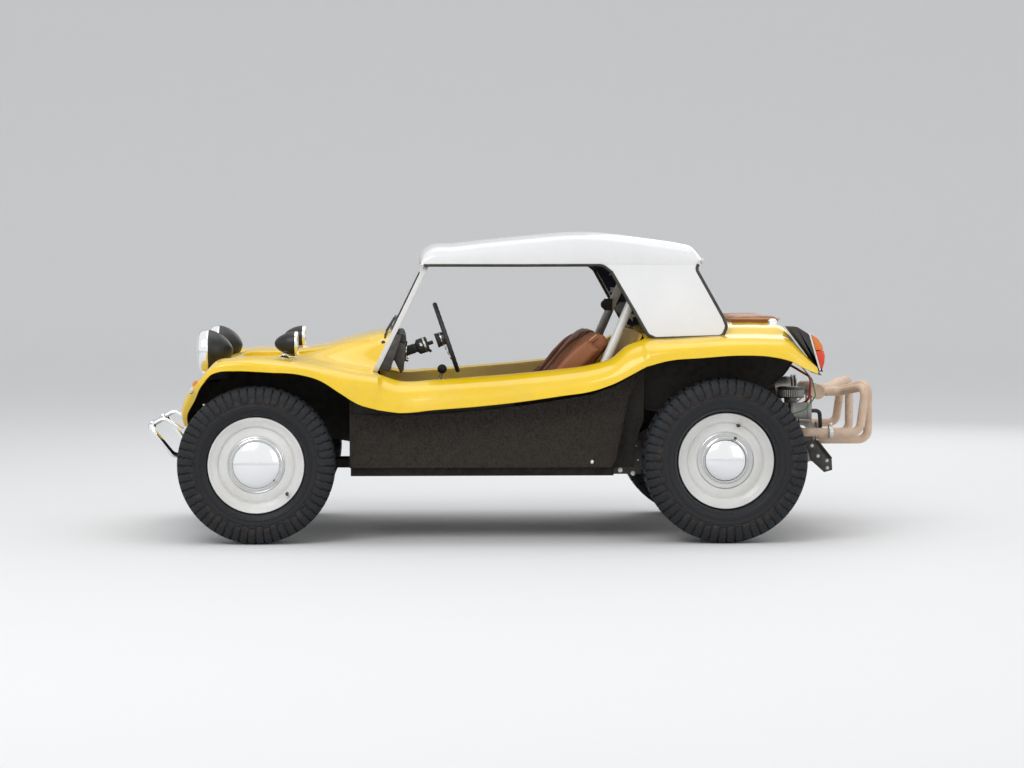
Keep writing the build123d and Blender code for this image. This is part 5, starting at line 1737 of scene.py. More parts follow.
@dataclass
class Wheel:
    """A wheel: lugged tyre, steel rim with its drum, domed cap in its ring, and valve, on both sides."""

    axle: Axle
    centre: tuple[float, float, float]
    radius: float
    half: float
    cap: float
    valve: tuple[float, float]
    rubber: TyreRubber
    hole: tuple[float, float] | None = None
    pitches: int = 28
    flange: float = 0.209
    lug: float = 0.0085

    def build(self) -> None:
        """Builds the wheel on both sides."""
        for side in Side:
            tag = f"{self.axle.value}_{side.name.lower()}"
            body = f"wheel_{tag}"
            middle = (self.centre[0], self.centre[1] * side.value, self.centre[2])
            pieces = [
                (self.tyre(tag, middle, side), self.rubber, f"tyre_{tag}"),
                (self.rim(tag, middle, side), RIM_WHITE, f"rim_{tag}"),
                (self.dome(tag, middle, side), CHROME, f"hub_cap_{tag}"),
                (self.stem(tag, middle, side), TRIM_RUBBER, None),
                (self.ring(tag, middle, side), ALLOY, None),
            ]
            for made, finish, node in pieces:
                own(made, finish, body, *([node] if node else []))

    def profile(self) -> list[tuple[float, float]]:
        """The carcass from the outer bead over the tread to the inner one, as (radius, place outwards).

        Returns:
            The profile's points.
        """
        h, r = self.half, self.radius
        outer = [(self.flange + 0.002, 0.074), (self.flange + 0.006, 0.084), (self.flange + 0.016, h * 0.90),
                 (self.flange + 0.024, h * 0.945), (self.flange + 0.034, h * 0.965), (r - 0.090, h * 0.975),
                 (r - 0.084, h * 0.985), (r - 0.080, h * 0.970), (r - 0.058, h * 0.955),
                 (r - 0.036, h * 0.915), (r - 0.022, h * 0.845), (r - 0.0145, h * 0.74),
                 (r - 0.0115, h * 0.5), (r - 0.0105, h * 0.2)]
        return outer + [(radius, -s) for radius, s in outer[::-1]]

    def skin(self, share: float) -> tuple[float, float, float]:
        """A point on the lugs' base surface, from their foot at 0 to the middle of the tread at 1.

        Args:
            share: place along the surface.

        Returns:
            Radius, place to the outside, and how far a lug stands out there.
        """
        h, r = self.half, self.radius
        keys = [(-0.05, r - 0.085, 0.975, 0.0014), (0.0, r - 0.078, 0.962, 0.0026),
                (0.14, r - 0.058, 0.955, 0.0050), (0.28, r - 0.036, 0.915, 0.0066),
                (0.40, r - 0.022, 0.845, 0.0085), (0.52, r - 0.0145, 0.74, 0.0110),
                (0.75, r - 0.0115, 0.50, 0.0108), (1.0, r - 0.0102, 0.0, 0.0100)]
        for (a, r0, s0, h0), (b, r1, s1, h1) in zip(keys, keys[1:]):
            if share <= b:
                t = (share - a) / (b - a)
                return r0 + (r1 - r0) * t, (s0 + (s1 - s0) * t) * h, h0 + (h1 - h0) * t
        return keys[-1][1], 0.0, keys[-1][3]

    def block(self, shape: Shape, side: float, rows: Sequence[tuple[float, float, float]]) -> None:
        """One tread block round the axle at the top of the tyre.

        Args:
            shape: what it is added to.
            side: 1 for the outer half and -1 for the inner.
            rows: place along the surface with the start and end of the block as shares of the pitch.
        """
        pitch = FULL_TURN / self.pitches
        rings = []
        for share, v0, v1 in rows:
            radius, s, stand = self.skin(share)
            near, near_s, _ = self.skin(max(share - 0.04, -0.05))
            far, far_s, _ = self.skin(min(share + 0.04, 1.0))
            slope = Vector((far - near, far_s - near_s)).normalized()
            out = Vector((-slope.y, slope.x))
            ring = []
            for v, lift in ((v0, -0.006), (v0 + 0.02, 1.0), (v1 - 0.02, 1.0), (v1, -0.006)):
                rise = stand if lift == 1.0 else lift
                rr, ss = radius + out.x * rise, s + out.y * rise
                angle = (v - 0.5) * pitch
                ring.append((rr * math.sin(angle), side * ss, rr * math.cos(angle)))
            rings.append(ring)
        shape.loft(rings)

    def tread(self) -> bpy.types.Object:
        """One pitch of the tread: two shapes of shoulder block and the interlocking middle blocks.

        Returns:
            The pitch's mesh.
        """
        shape = Shape()
        for side, shift in ((1.0, 0.0), (-1.0, 0.5)):
            broad = [(0.0, 0.05, 0.42), (0.05, 0.02, 0.465), (0.13, 0.03, 0.475), (0.21, 0.075, 0.52),
                     (0.29, 0.02, 0.465), (0.38, 0.065, 0.51), (0.52, 0.02, 0.47), (0.60, 0.06, 0.42)]
            short = [(0.06, 0.56, 0.90), (0.13, 0.535, 0.97), (0.21, 0.58, 1.015), (0.29, 0.525, 0.96),
                     (0.38, 0.57, 1.005), (0.52, 0.53, 0.96), (0.58, 0.56, 0.92)]
            foot = [(-0.02, 0.50, 0.97), (0.02, 0.48, 0.99), (0.035, 0.50, 0.97)]
            inner = [(0.63, 0.20, 0.55), (0.72, 0.10, 0.62), (0.80, 0.22, 0.70), (0.95, 0.30, 0.62)]
            other = [(0.61, 0.66, 1.02), (0.70, 0.72, 1.10), (0.78, 0.80, 1.06), (0.90, 0.74, 0.98)]
            for rows in (broad, short, foot, inner, other):
                self.block(shape, side, [(share, v0 + shift, v1 + shift) for share, v0, v1 in rows])
        return shape.build("tread", self.rubber, soften=0.0013)

    def placed(self, made: bpy.types.Object, middle: Point, side: Side) -> bpy.types.Object:
        """Moves a piece drawn about the origin, outer side at +Y, to its wheel.

        Args:
            made: the piece.
            middle: the wheel's centre.
            side: the wheel's side.

        Returns:
            The piece.
        """
        for vertex in made.data.vertices:
            x, y, z = vertex.co
            vertex.co = (x + middle[0], y * side.value + middle[1], z + middle[2])
        if side is Side.LEFT:
            made.data.flip_normals()
        return made

    def tyre(self, tag: str, middle: Point, side: Side) -> bpy.types.Object:
        """Carcass with its lugs, which Geometry Nodes set round it.

        Args:
            tag: which wheel it is, for its name.
            middle: the wheel's centre.
            side: the wheel's side.

        Returns:
            The piece.
        """
        shape = Shape()
        shape.turn(spread(self.profile(), 2), ORIGIN, ACROSS, 112)
        for r, s in ((self.radius - 0.104, self.half * 0.972), (self.flange + 0.020, self.half * 0.925)):
            shape.turn([(r - 0.0012, s - 0.004), (r - 0.0008, s + 0.0012), (r + 0.0008, s + 0.0012),
                        (r + 0.0012, s - 0.004)], ORIGIN, ACROSS, 112)
        carcass = shape.build(f"tyre_{tag}_carcass", self.rubber)
        sizes = {"Count": self.pitches, "Start": 0.0, "Turn": FULL_TURN / self.pitches,
                 "Centre": (0.0, 0.0, 0.0)}
        repeat = Repeater("tread_ring", sizes, self.tread(), self.rubber)
        repeat.ring()
        lugs = repeat.apply(f"tyre_{tag}_visual")
        merge(lugs, carcass)
        return self.placed(lugs, middle, side)

    def rim(self, tag: str, middle: Point, side: Side) -> bpy.types.Object:
        """Pressed rim: rolled flange, drop, stepped disc; barrel and drum behind.

        Args:
            tag: which wheel it is, for its name.
            middle: the wheel's centre.
            side: the wheel's side.

        Returns:
            The piece.
        """
        f = self.flange
        face = [(f - 0.004, 0.0725), (f - 0.001, 0.0765), (f - 0.003, 0.0790), (f - 0.007, 0.0780),
                (f - 0.012, 0.0725), (f - 0.018, 0.0660), (f - 0.026, 0.0600), (0.174, 0.0540),
                (0.168, 0.0490), (0.1655, 0.0400), (0.1640, 0.0375), (0.1615, 0.0385), (0.150, 0.0415),
                (0.132, 0.0425), (0.124, 0.0410), (0.118, 0.0360), (0.112, 0.0330), (0.0, 0.0330)]
        back = [(f - 0.004, 0.0725), (0.196, 0.070), (0.190, 0.062), (0.188, 0.020), (0.180, 0.010),
                (0.180, -0.030), (0.188, -0.040), (0.190, -0.064), (f - 0.006, -0.070), (f - 0.001, -0.074),
                (f - 0.003, -0.078), (f - 0.008, -0.076), (0.193, -0.068), (0.184, -0.060), (0.178, -0.030),
                (0.176, 0.020), (0.160, 0.026), (0.126, 0.030)]
        shape = Shape()
        shape.turn(spread(face[:-1], 2) + [(TIP, 0.033)], ORIGIN, ACROSS, 96)
        shape.turn(back, ORIGIN, ACROSS, 96)
        shape.mark = 1
        shape.turn([(0.125, 0.030), (0.1255, 0.010), (0.122, 0.008), (0.122, -0.030), (0.1255, -0.034),
                    (0.1255, -0.044), (0.117, -0.045), (TIP, -0.045)], ORIGIN, ACROSS, 72)
        made = shape.build(f"rim_{tag}_visual", [RIM_WHITE, BLACK_STEEL], sharp=38.0)
        return self.placed(made, middle, side)

    def ring(self, tag: str, middle: Point, side: Side) -> bpy.types.Object:
        """Bright ring that the cap sits in.

        Args:
            tag: which wheel it is, for its name.
            middle: the wheel's centre.
            side: the wheel's side.

        Returns:
            The piece.
        """
        shape = Shape()
        inner = self.cap - 0.004
        shape.turn([(0.1215, 0.036), (0.1225, 0.0435), (0.1195, 0.0450), (inner + 0.004, 0.0430),
                    (inner, 0.036)], ORIGIN, ACROSS, 96)
        return self.placed(shape.build(f"cap_ring_{tag}", ALLOY), middle, side)

    def dome(self, tag: str, middle: Point, side: Side) -> bpy.types.Object:
        """The domed cap with its rolled edge.

        Args:
            tag: which wheel it is, for its name.
            middle: the wheel's centre.
            side: the wheel's side.

        Returns:
            The piece.
        """
        c = self.cap
        profile = [(c - 0.003, 0.036), (c, 0.040), (c - 0.0004, 0.0430), (c - 0.0022, 0.0445),
                   (c - 0.0042, 0.0452)]
        for i in range(1, 12):
            a = math.radians(90 * i / 11)
            profile.append((max((c - 0.0045) * math.cos(a), TIP), 0.0455 + 0.0365 * math.sin(a)))
        shape = Shape()
        shape.turn(profile, ORIGIN, ACROSS, 112)
        return self.placed(shape.build(f"hub_cap_{tag}_visual", CHROME, sharp=50.0), middle, side)

    def stem(self, tag: str, middle: Point, side: Side) -> bpy.types.Object:
        """Valve stem through the disc, and the plugged hole beside the rear caps.

        Args:
            tag: which wheel it is, for its name.
            middle: the wheel's centre.
            side: the wheel's side.

        Returns:
            The piece.
        """
        shape = Shape()
        x, z = self.valve
        base = 0.040 if math.hypot(x, z) < 0.17 else 0.058
        shape.turn([(TIP, base - 0.01), (0.0085, base - 0.01), (0.0085, base + 0.002), (0.0055, base + 0.006),
                    (0.0045, base + 0.024), (0.0050, base + 0.025), (0.0050, base + 0.034),
                    (0.0035, base + 0.035), (TIP, base + 0.035)], (x, 0, z), (0.1 * x, 1, 0.1 * z), 16)
        if self.hole:
            shape.turn([(TIP, 0.030), (0.0065, 0.030), (0.0065, 0.0455), (0.0045, 0.0462), (TIP, 0.0455)],
                       (self.hole[0], 0, self.hole[1]), ACROSS, 16)
        return self.placed(shape.build(f"valve_{tag}", TRIM_RUBBER), middle, side)


def merge(keep: bpy.types.Object, other: bpy.types.Object) -> None:
    """Joins another object's mesh into one that is kept.

    Args:
        keep: the object that is kept.
        other: the one that goes into it.
    """
    mesh = bmesh.new()
    mesh.from_mesh(keep.data)
    slots = [m.name for m in keep.data.materials]
    before = len(mesh.faces)
    mesh.from_mesh(other.data)
    mesh.faces.ensure_lookup_table()
    for face in mesh.faces[before:]:
        name = other.data.materials[face.material_index].name
        if name not in slots:
            slots.append(name)
            keep.data.materials.append(bpy.data.materials[name])
        face.material_index = slots.index(name)
    mesh.to_mesh(keep.data)
    mesh.free()
    bpy.data.objects.remove(other)


@dataclass
class Lamps:
    """Bullet headlights on short stems, front indicators and wedge tail lamps."""

    head_y: float = 0.390
    head_z: float = 0.825
    head_r: float = 0.0925
    bezel_x: float = -1.383
    indicator: Point = (-1.389, 0.640, 0.671)

    def build(self) -> None:
        """Builds all lamps."""
        self.headlights()
        self.indicators()
        self.tails()

    def headlights(self) -> None:
        """Shell, stem, bezel, reflector and ribbed glass of both headlights."""
        r, x0 = self.head_r, self.bezel_x
        shells, bezels, glass, inner = Shape(), Shape(), Shape(), Shape()
        ogive = [(r - 0.004, 0.026), (r - 0.001, 0.030), (r - 0.001, 0.040), (r - 0.006, 0.060),
                 (r - 0.016, 0.082), (r - 0.031, 0.104), (r - 0.050, 0.123), (r - 0.069, 0.135),
                 (r - 0.084, 0.1405), (TIP, 0.142)]
        for side in Side:
            at = (x0, self.head_y * side.value, self.head_z)
            shells.turn(spread(ogive, 3), at, BACK, 64)
            shells.turn([(0.016, -0.022), (0.0135, -0.010), (0.012, 0.020), (0.014, 0.034)],
                        (x0 + 0.062, at[1], at[2] - r - 0.012), (0.12, 0, 1), 24)
            shells.turn([(TIP, 0.0), (0.030, 0.0), (0.032, 0.004), (0.026, 0.010), (0.0165, 0.014)],
                        (x0 + 0.058, at[1], at[2] - r - 0.048), (0.1, 0, 1), 28)
            ring = [(r - 0.006, 0.036), (r + 0.0015, 0.035), (r + 0.0030, 0.030), (r + 0.0015, 0.022),
                    (r - 0.0005, 0.010), (r - 0.004, 0.000), (r - 0.010, -0.006), (r - 0.0145, -0.004),
                    (r - 0.016, 0.003), (r - 0.016, 0.012)]
            bezels.turn(spread(ring, 2), at, BACK, 72)
            bezels.box((x0 + 0.004, at[1] - 0.008, at[2] - r - 0.008),
                       (x0 + 0.024, at[1] + 0.008, at[2] - r + 0.002))
            dome = [(r - 0.0145, -0.001), (r - 0.018, -0.008), (r - 0.032, -0.0165), (r - 0.055, -0.0228),
                    (r - 0.078, -0.0255), (TIP, -0.026)]
            glass.turn(spread(dome, 2), at, BACK, 64)
            inner.turn([(r - 0.0165, 0.001), (r - 0.022, 0.022), (r - 0.040, 0.044), (r - 0.066, 0.060),
                        (0.014, 0.064), (0.013, 0.040), (0.008, 0.034), (TIP, 0.034)],
                       at, BACK, 48)
        shells.place("headlight_bodies", SATIN_BLACK, "headlight_shells", sharp=45.0)
        bezels.place("headlight_bezels", CHROME, soften=0.0008)
        glass.place("headlight_glass", LAMP_GLASS, "headlight_lenses")
        inner.place("headlight_reflectors", CHROME)

    def indicators(self) -> None:
        """Front indicators: amber dome over a clear one on a black base, on the nose's corners."""
        base, amber, clear = Shape(), Shape(), Shape()
        out = Vector((-0.80, 0.0, 0.60)).normalized()
        up = Vector((0.60, 0.0, 0.80))
        for side in Side:
            x, y, z = self.indicator
            at = Vector((x, y * side.value, z))
            way = (out + Vector((0, 0.25 * side.value, 0))).normalized()
            for shape, low, high, stand in ((base, -0.033, 0.033, 0.010), (amber, 0.001, 0.030, 0.023),
                                            (clear, -0.030, -0.001, 0.020)):
                rows = []
                for lift, shrink in ((0.0, 1.0), (stand * 0.7, 0.97), (stand, 0.72)):
                    c = (low + high) / 2
                    a, b = c + (low - c) * shrink, c + (high - c) * shrink
                    rows.append([at + way * lift + up * v + Vector((0, w * 0.030 * shrink, 0))
                                 for v, w in ((a, -1), (a, 1), (b, 1), (b, -1))])
                shape.loft(rows)
        base.place("indicator_bases", PLASTIC, "front_indicators", soften=0.004)
        amber.place("indicator_amber", AMBER, soften=0.004)
        clear.place("indicator_clear", CLEAR_LENS, soften=0.004)

    def tails(self) -> None:
        """Tail lamps: black wedge housing, white strip, amber lens over a red one."""
        wedge = [(1.185, 0.936), (1.222, 0.936), (1.272, 0.905), (1.318, 0.745), (1.328, 0.745)]
        edge = [(1.272, 0.906), (1.279, 0.906), (1.326, 0.747), (1.318, 0.745)]
        upper = [(1.280, 0.904), (1.292, 0.899), (1.314, 0.884), (1.331, 0.856), (1.337, 0.835),
                 (1.301, 0.833)]
        lower = [(1.302, 0.831), (1.338, 0.833), (1.343, 0.808), (1.341, 0.778), (1.332, 0.750),
                 (1.326, 0.749)]
        for outline, low, high, name, finish, nodes, soft in (
                (wedge, 0.562, 0.706, "tail_housings", PLASTIC, ["rear_lamp_housings"], 0.004),
                (edge, 0.560, 0.708, "tail_strips", WHITE_FRAME, [], 0.001),
                (upper, 0.566, 0.702, "tail_amber", AMBER_TAIL, ["rear_lamp_lenses"], 0.007),
                (lower, 0.566, 0.702, "tail_red", RED, [], 0.007)):
            shape = Shape()
            for side in Side:
                shape.loft([[(x, y * side.value, z) for x, z in outline] for y in (low, high)])
            shape.place(name, finish, *nodes, soften=soft)


@dataclass
class Mirrors:
    """Teardrop mirrors on bright stands, pointing forwards."""

    at: tuple[float, float, float] = (-0.962, 0.510, 0.860)

    def build(self) -> None:
        """Builds shells, rings, glasses and stands."""
        shells, rings, glass = Shape(), Shape(), Shape()
        x, y0, z = self.at
        for side in Side:
            at = (x, y0 * side.value, z)
            drop = [(0.052, 0.0), (0.0525, 0.006), (0.051, 0.020), (0.046, 0.040), (0.038, 0.058),
                    (0.028, 0.074), (0.016, 0.086), (0.007, 0.0905), (TIP, 0.0915)]
            shells.turn(spread(drop, 3), at, (-1, 0, 0), 48)
            rings.turn([(0.050, 0.004), (0.0540, 0.003), (0.0548, -0.003), (0.0535, -0.009), (0.0505, -0.011),
                        (0.0480, -0.008), (0.0475, -0.003)], at, (-1, 0, 0), 56)
            glass.turn([(0.0476, -0.006), (0.030, -0.0075), (TIP, -0.008)], at, (-1, 0, 0), 40)
            foot = Vector((x - 0.050, at[1], 0.7985))
            rings.turn([(TIP, -0.004), (0.026, -0.004), (0.027, 0.001), (0.022, 0.006), (0.010, 0.010)], foot,
                       (0.12, 0, 1), 32)
            rings.tube([foot, foot + Vector((-0.004, 0, 0.014)), (x - 0.040, at[1], z - 0.046)], 0.0075, 14,
                       0.01)
            rings.tube([foot + Vector((0.020, 0, 0.003)), foot + Vector((0.034, 0, 0.006)),
                        foot + Vector((0.052, 0.0, 0.002))], 0.006, 12, 0.01)
        shells.place("mirror_shells", SATIN_BLACK, "mirrors", sharp=50.0)
        rings.place("mirror_rings", CHROME)
        glass.place("mirror_glass", MIRROR)


@dataclass
class Steering:
    """Hand wheel with drilled bright spokes, column shroud, switch housing and stalk."""

    centre: tuple[float, float, float] = (-0.299, -0.360, 0.882)
    tilt: float = 19.0
    radius: float = 0.154
    tube: float = 0.0105

    def at(self, s: float, u: float = 0.0, v: float = 0.0) -> Vector:
        """A point s down the column, u across the car and v up in the wheel's plane.

        Args:
            s: down the column.
            u: across the car.
            v: up in the wheel's plane.

        Returns:
            The point.
        """
        a = math.radians(self.tilt)
        x, y, z = self.centre
        return Vector((x - s * math.cos(a) - v * math.sin(a), y + u, z - s * math.sin(a) + v * math.cos(a)))

    def build(self) -> None:
        """Builds the hand wheel and the column."""
        self.hand_wheel()
        self.column()

    def hand_wheel(self) -> None:
        """Padded rim with finger grips, three drilled spokes, boss and its bolts."""
        rim, spokes = Shape(), Shape()
        rings = []
        up = self.at(0) - self.at(1)
        for i in range(96):
            a = FULL_TURN * i / 96
            grip = 1.0 + 0.055 * math.cos(28 * a)
            out = self.at(0, math.cos(a), math.sin(a)) - self.at(0)
            rings.append([self.at(0) + out * (self.radius + self.tube * 0.92 * grip * math.cos(b))
                          + up * (self.tube * 0.92 * grip * math.sin(b))
                          for b in (FULL_TURN * k / 14 for k in range(14))])
        rim.loft(rings + rings[:1], True, False)
        boss = [(TIP, 0.002), (0.020, 0.001), (0.026, -0.004), (0.030, -0.012), (0.031, -0.030),
                (0.033, -0.044)]
        rim.turn([(r, s - 0.003) for r, s in boss], self.at(0), up, 40, caps=True)
        for way in (0.0, math.pi, 1.5 * math.pi):
            side = Vector((math.cos(way), math.sin(way)))
            face = []
            for d, half, lift in ((0.018, 0.019, 0.020), (0.060, 0.016, 0.014), (0.110, 0.0135, 0.004),
                                  (0.149, 0.012, 0.001)):
                c = [self.at(lift + h, side.x * d - side.y * w * half, side.y * d + side.x * w * half)
                     for w, h in ((-1, 0), (1, 0), (1, 0.003), (-1, 0.003))]
                face.append(c)
            spokes.loft(face)
            for d, r in ((0.045, 0.0075), (0.070, 0.0068), (0.094, 0.006), (0.117, 0.0052)):
                hole = self.at(0.020 - (d - 0.018) * 0.155, side.x * d, side.y * d)
                spokes.mark = 1
                spokes.turn([(TIP, -0.0052), (r, -0.0052), (r, 0.0014), (TIP, 0.0014)], hole, up, 20)
                spokes.mark = 0
                spokes.turn([(r, 0.0), (r + 0.0015, 0.0008), (r + 0.002, 0.0012), (r + 0.0005, 0.0018)], hole,
                            up, 20)
        spokes.turn([(0.0235, -0.016), (0.0300, -0.014), (0.0315, -0.020), (0.0315, -0.026)], self.at(0), up,
                    40)
        rim.place("hand_wheel_rim", PLASTIC, "steering_wheel", body="steering_wheel", sharp=60.0)
        spokes.place("hand_wheel_spokes", [ALLOY, BLACK_STEEL], body="steering_wheel", soften=0.0006)
        bolt = Shape()
        bolt.turn([(TIP, 0.003), (0.0024, 0.003), (0.0032, 0.002), (0.0032, 0.0), (0.0042, -0.0005)], ORIGIN,
                  UP, 12)
        ring = Repeater("boss_bolts",
                        {"Count": 6, "Start": 0.3, "Turn": math.pi / 3, "Centre": (0.0, 0.0, 0.0)},
                        moved(bolt.build("boss_bolt", STEEL), (0.0, 0.0, 0.026)), STEEL)
        ring.ring()
        bolts = ring.apply("hand_wheel_bolts")
        up.normalize()
        turn = Vector(ACROSS).rotation_difference(up).to_matrix()
        for vertex in bolts.data.vertices:
            x, y, z = vertex.co
            vertex.co = self.at(0.0145) + turn @ Vector((x, 0.0, z)) + up * y
        own(bolts, STEEL, "steering_wheel")

    def column(self) -> None:
        """Tapered and ribbed sleeve, round switch housing with its ring, stalk and key barrel."""
        up = self.at(0) - self.at(1)
        sleeve = Shape()
        sleeve.turn([(TIP, 0), (0.0085, 0), (0.0085, -0.050)], self.at(0.062), up, 20, caps=True)
        rows = [(0.0205, -0.085), (0.0330, -0.087), (0.0340, -0.092), (0.0340, -0.128), (0.0325, -0.133),
                (0.0205, -0.140)]
        for i in range(12):
            s = -0.150 - i * 0.009
            rows += [(0.0200, s), (0.0225, s - 0.002), (0.0225, s - 0.005), (0.0200, s - 0.007)]
        rows += [(0.0205, -0.262), (0.0205, -0.300), (0.0150, -0.310), (0.0150, -0.420)]
        sleeve.turn(rows, self.at(0), up, 36, caps=True)
        sleeve.turn([(TIP, -0.420), (0.0085, -0.420), (0.0085, -0.880)], self.at(0), up, 16)
        sleeve.place("column_sleeve", PLASTIC, "steering_column", sharp=40.0)
        bits = Shape()
        bits.turn([(0.0343, -0.096), (0.0352, -0.098), (0.0352, -0.103), (0.0343, -0.105)], self.at(0), up,
                  40)
        bits.tube([self.at(0.108, 0.030, -0.010), self.at(0.104, 0.048, -0.016),
                   self.at(0.088, 0.092, -0.030), self.at(0.086, 0.112, -0.038)], 0.0033, 12, 0.012)
        bits.turn([(TIP, 0.0), (0.010, 0.0), (0.010, 0.004), (0.006, 0.010), (TIP, 0.010)],
                  self.at(0.118, -0.030, 0.006), (0.2, -1.0, 0.1), 20)
        bits.place("column_stalk", ALLOY)
        knob = Shape()
        knob.turn([(TIP, 0.002), (0.004, 0.001), (0.0062, -0.003), (0.0055, -0.016), (0.0036, -0.026)],
                  self.at(0.086, 0.116, -0.0395), self.at(0.086, 1.0, -0.3) - self.at(0.086), 16)
        knob.place("column_stalk_knob", PLASTIC)


def moved(made: bpy.types.Object, shift: Point) -> bpy.types.Object:
    """Moves the vertices of a piece."""
    made.data.transform(Matrix.Translation(shift))
    return made


@dataclass
class Cockpit:
    """Dash panel with dials and switches, padded roll, gear lever, hand brake and pedals."""

    # Distance from the middle plane, height and radius of each dial.
    gauges: tuple[Point, ...] = ((-0.360, 0.822, 0.046), (-0.245, 0.818, 0.027), (-0.175, 0.818, 0.027),
                                 (-0.105, 0.818, 0.027))
    tunnel_z: float = 0.4556
    pedals: Point = (-0.440, -0.350, -0.255)

    def build(self) -> None:
        """Builds everything in front of and between the seats."""
        self.dash()
        self.levers()

    def dash(self) -> None:
        """Panel, padded roll, instruments and switches."""
        panel, pad, dials, faces = Shape(), Shape(), Shape(), Shape()
        face = [(-0.536, 0.800), (-0.533, 0.845), (-0.520, 0.868), (-0.492, 0.862), (-0.478, 0.848),
                (-0.488, 0.742), (-0.498, 0.7295), (-0.504, 0.731)]
        panel.prism([(x, -0.4985, z) for x, z in face], (0, 0.997, 0))
        roll = [(-0.5290, 0.8670), (-0.5115, 0.8745), (-0.5065, 0.8990), (-0.4960, 0.9035), (-0.4830, 0.8970),
                (-0.4755, 0.8760), (-0.4755, 0.8560), (-0.4860, 0.8620)]
        pad.prism([(x, -0.4990, z) for x, z in roll], (0, 0.998, 0))
        out = Vector((0.995, 0, -0.09))
        for y, z, r in self.gauges:
            at = (-0.4838 + (z - 0.80) * 0.094, y, z)
            dials.turn([(r - 0.004, 0.0), (r, 0.0), (r + 0.001, 0.003), (r - 0.001, 0.0065),
                        (r - 0.004, 0.0060), (r - 0.005, 0.0025)], at, out, 40)
            faces.turn([(TIP, 0.0028), (r - 0.004, 0.0028)], at, out, 36)
            faces.mark = 1
            for k in range(9):
                a = math.radians(-120 + 30 * k)
                c = Vector(at) + out * 0.0031 + Vector((0, math.sin(a), math.cos(a))) * (r - 0.010)
                faces.turn([(TIP, 0.0006), (0.0014, 0.0006), (0.0014, 0.0)], c, out, 8)
            needle = Vector((0, -0.6, 0.8)) * (r - 0.012)
            faces.tube([Vector(at) + out * 0.0036, Vector(at) + out * 0.0036 + needle], 0.0008, 6, 0.0)
            faces.mark = 0
        for i in range(5):
            at = (-0.4855, -0.020 + i * 0.045, 0.772)
            dials.turn([(TIP, 0.020), (0.008, 0.020), (0.0095, 0.017), (0.0095, 0.010), (0.005, 0.006),
                        (0.005, 0.0), (0.010, 0.0)], at, out, 24)
        panel.place("dash_panel", BLACK_STEEL, "dashboard", soften=0.006)
        pad.place("dash_roll", TRIM_RUBBER, soften=0.006, levels=1)
        dials.place("dash_bezels", CHROME)
        faces.place("dash_faces", [GLOSS_BLACK, WHITE_FRAME])

    def levers(self) -> None:
        """Gear lever with gaiter and round knob, hand brake with its button, and ribbed pedals."""
        black, bright = Shape(), Shape()
        top = self.tunnel_z
        gaiter = [(0.0335, 0.0), (0.0335, 0.003)]
        for i in range(5):
            r = 0.0320 - i * 0.0052
            gaiter += [(r, 0.005 + i * 0.0032), (r - 0.0035, 0.0065 + i * 0.0032)]
        black.turn(gaiter + [(0.0066, 0.0216)], (-0.330, 0, top), UP, 32)
        bright.tube([(-0.330, 0, top + 0.010), (-0.360, 0, top + 0.105), (-0.3135, 0, top + 0.256)], 0.0056,
                    16, 0.08)
        knob = [(TIP, 0.0215), (0.008, 0.0200), (0.0150, 0.0155), (0.0200, 0.0085), (0.0216, 0.0),
                (0.0200, -0.0085), (0.0150, -0.0155), (0.0085, -0.0195), (0.0062, -0.0212)]
        black.turn(spread(knob, 3), (-0.312, 0, top + 0.2715), (0.12, 0, 1), 36)
        black.box((-0.179, -0.0135, top), (-0.111, 0.0135, top + 0.0245))
        bright.tube([(-0.160, 0, top + 0.014), (-0.262, 0, top + 0.0478)], 0.0058, 14, 0.0)
        black.tube([(-0.252, 0, top + 0.0446), (-0.322, 0, top + 0.0678)], 0.0078, 16, 0.0)
        bright.tube([(-0.321, 0, top + 0.0674), (-0.3285, 0, top + 0.0700)], 0.0042, 12, 0.0)
        for y in self.pedals:
            black.box((-0.6995, y - 0.0245, 0.4255), (-0.6890, y + 0.0245, 0.4845))
            for i in range(6):
                z = 0.431 + i * 0.0085
                black.box((-0.6893, y - 0.022, z), (-0.6880, y + 0.022, z + 0.004))
            bright.tube([(-0.6940, y, 0.455), (-0.6900, y, 0.3058)], 0.0062, 12, 0.0)
        black.place("lever_grips", PLASTIC, "floor_levers", soften=0.0012)
        bright.place("lever_stems", CHROME)


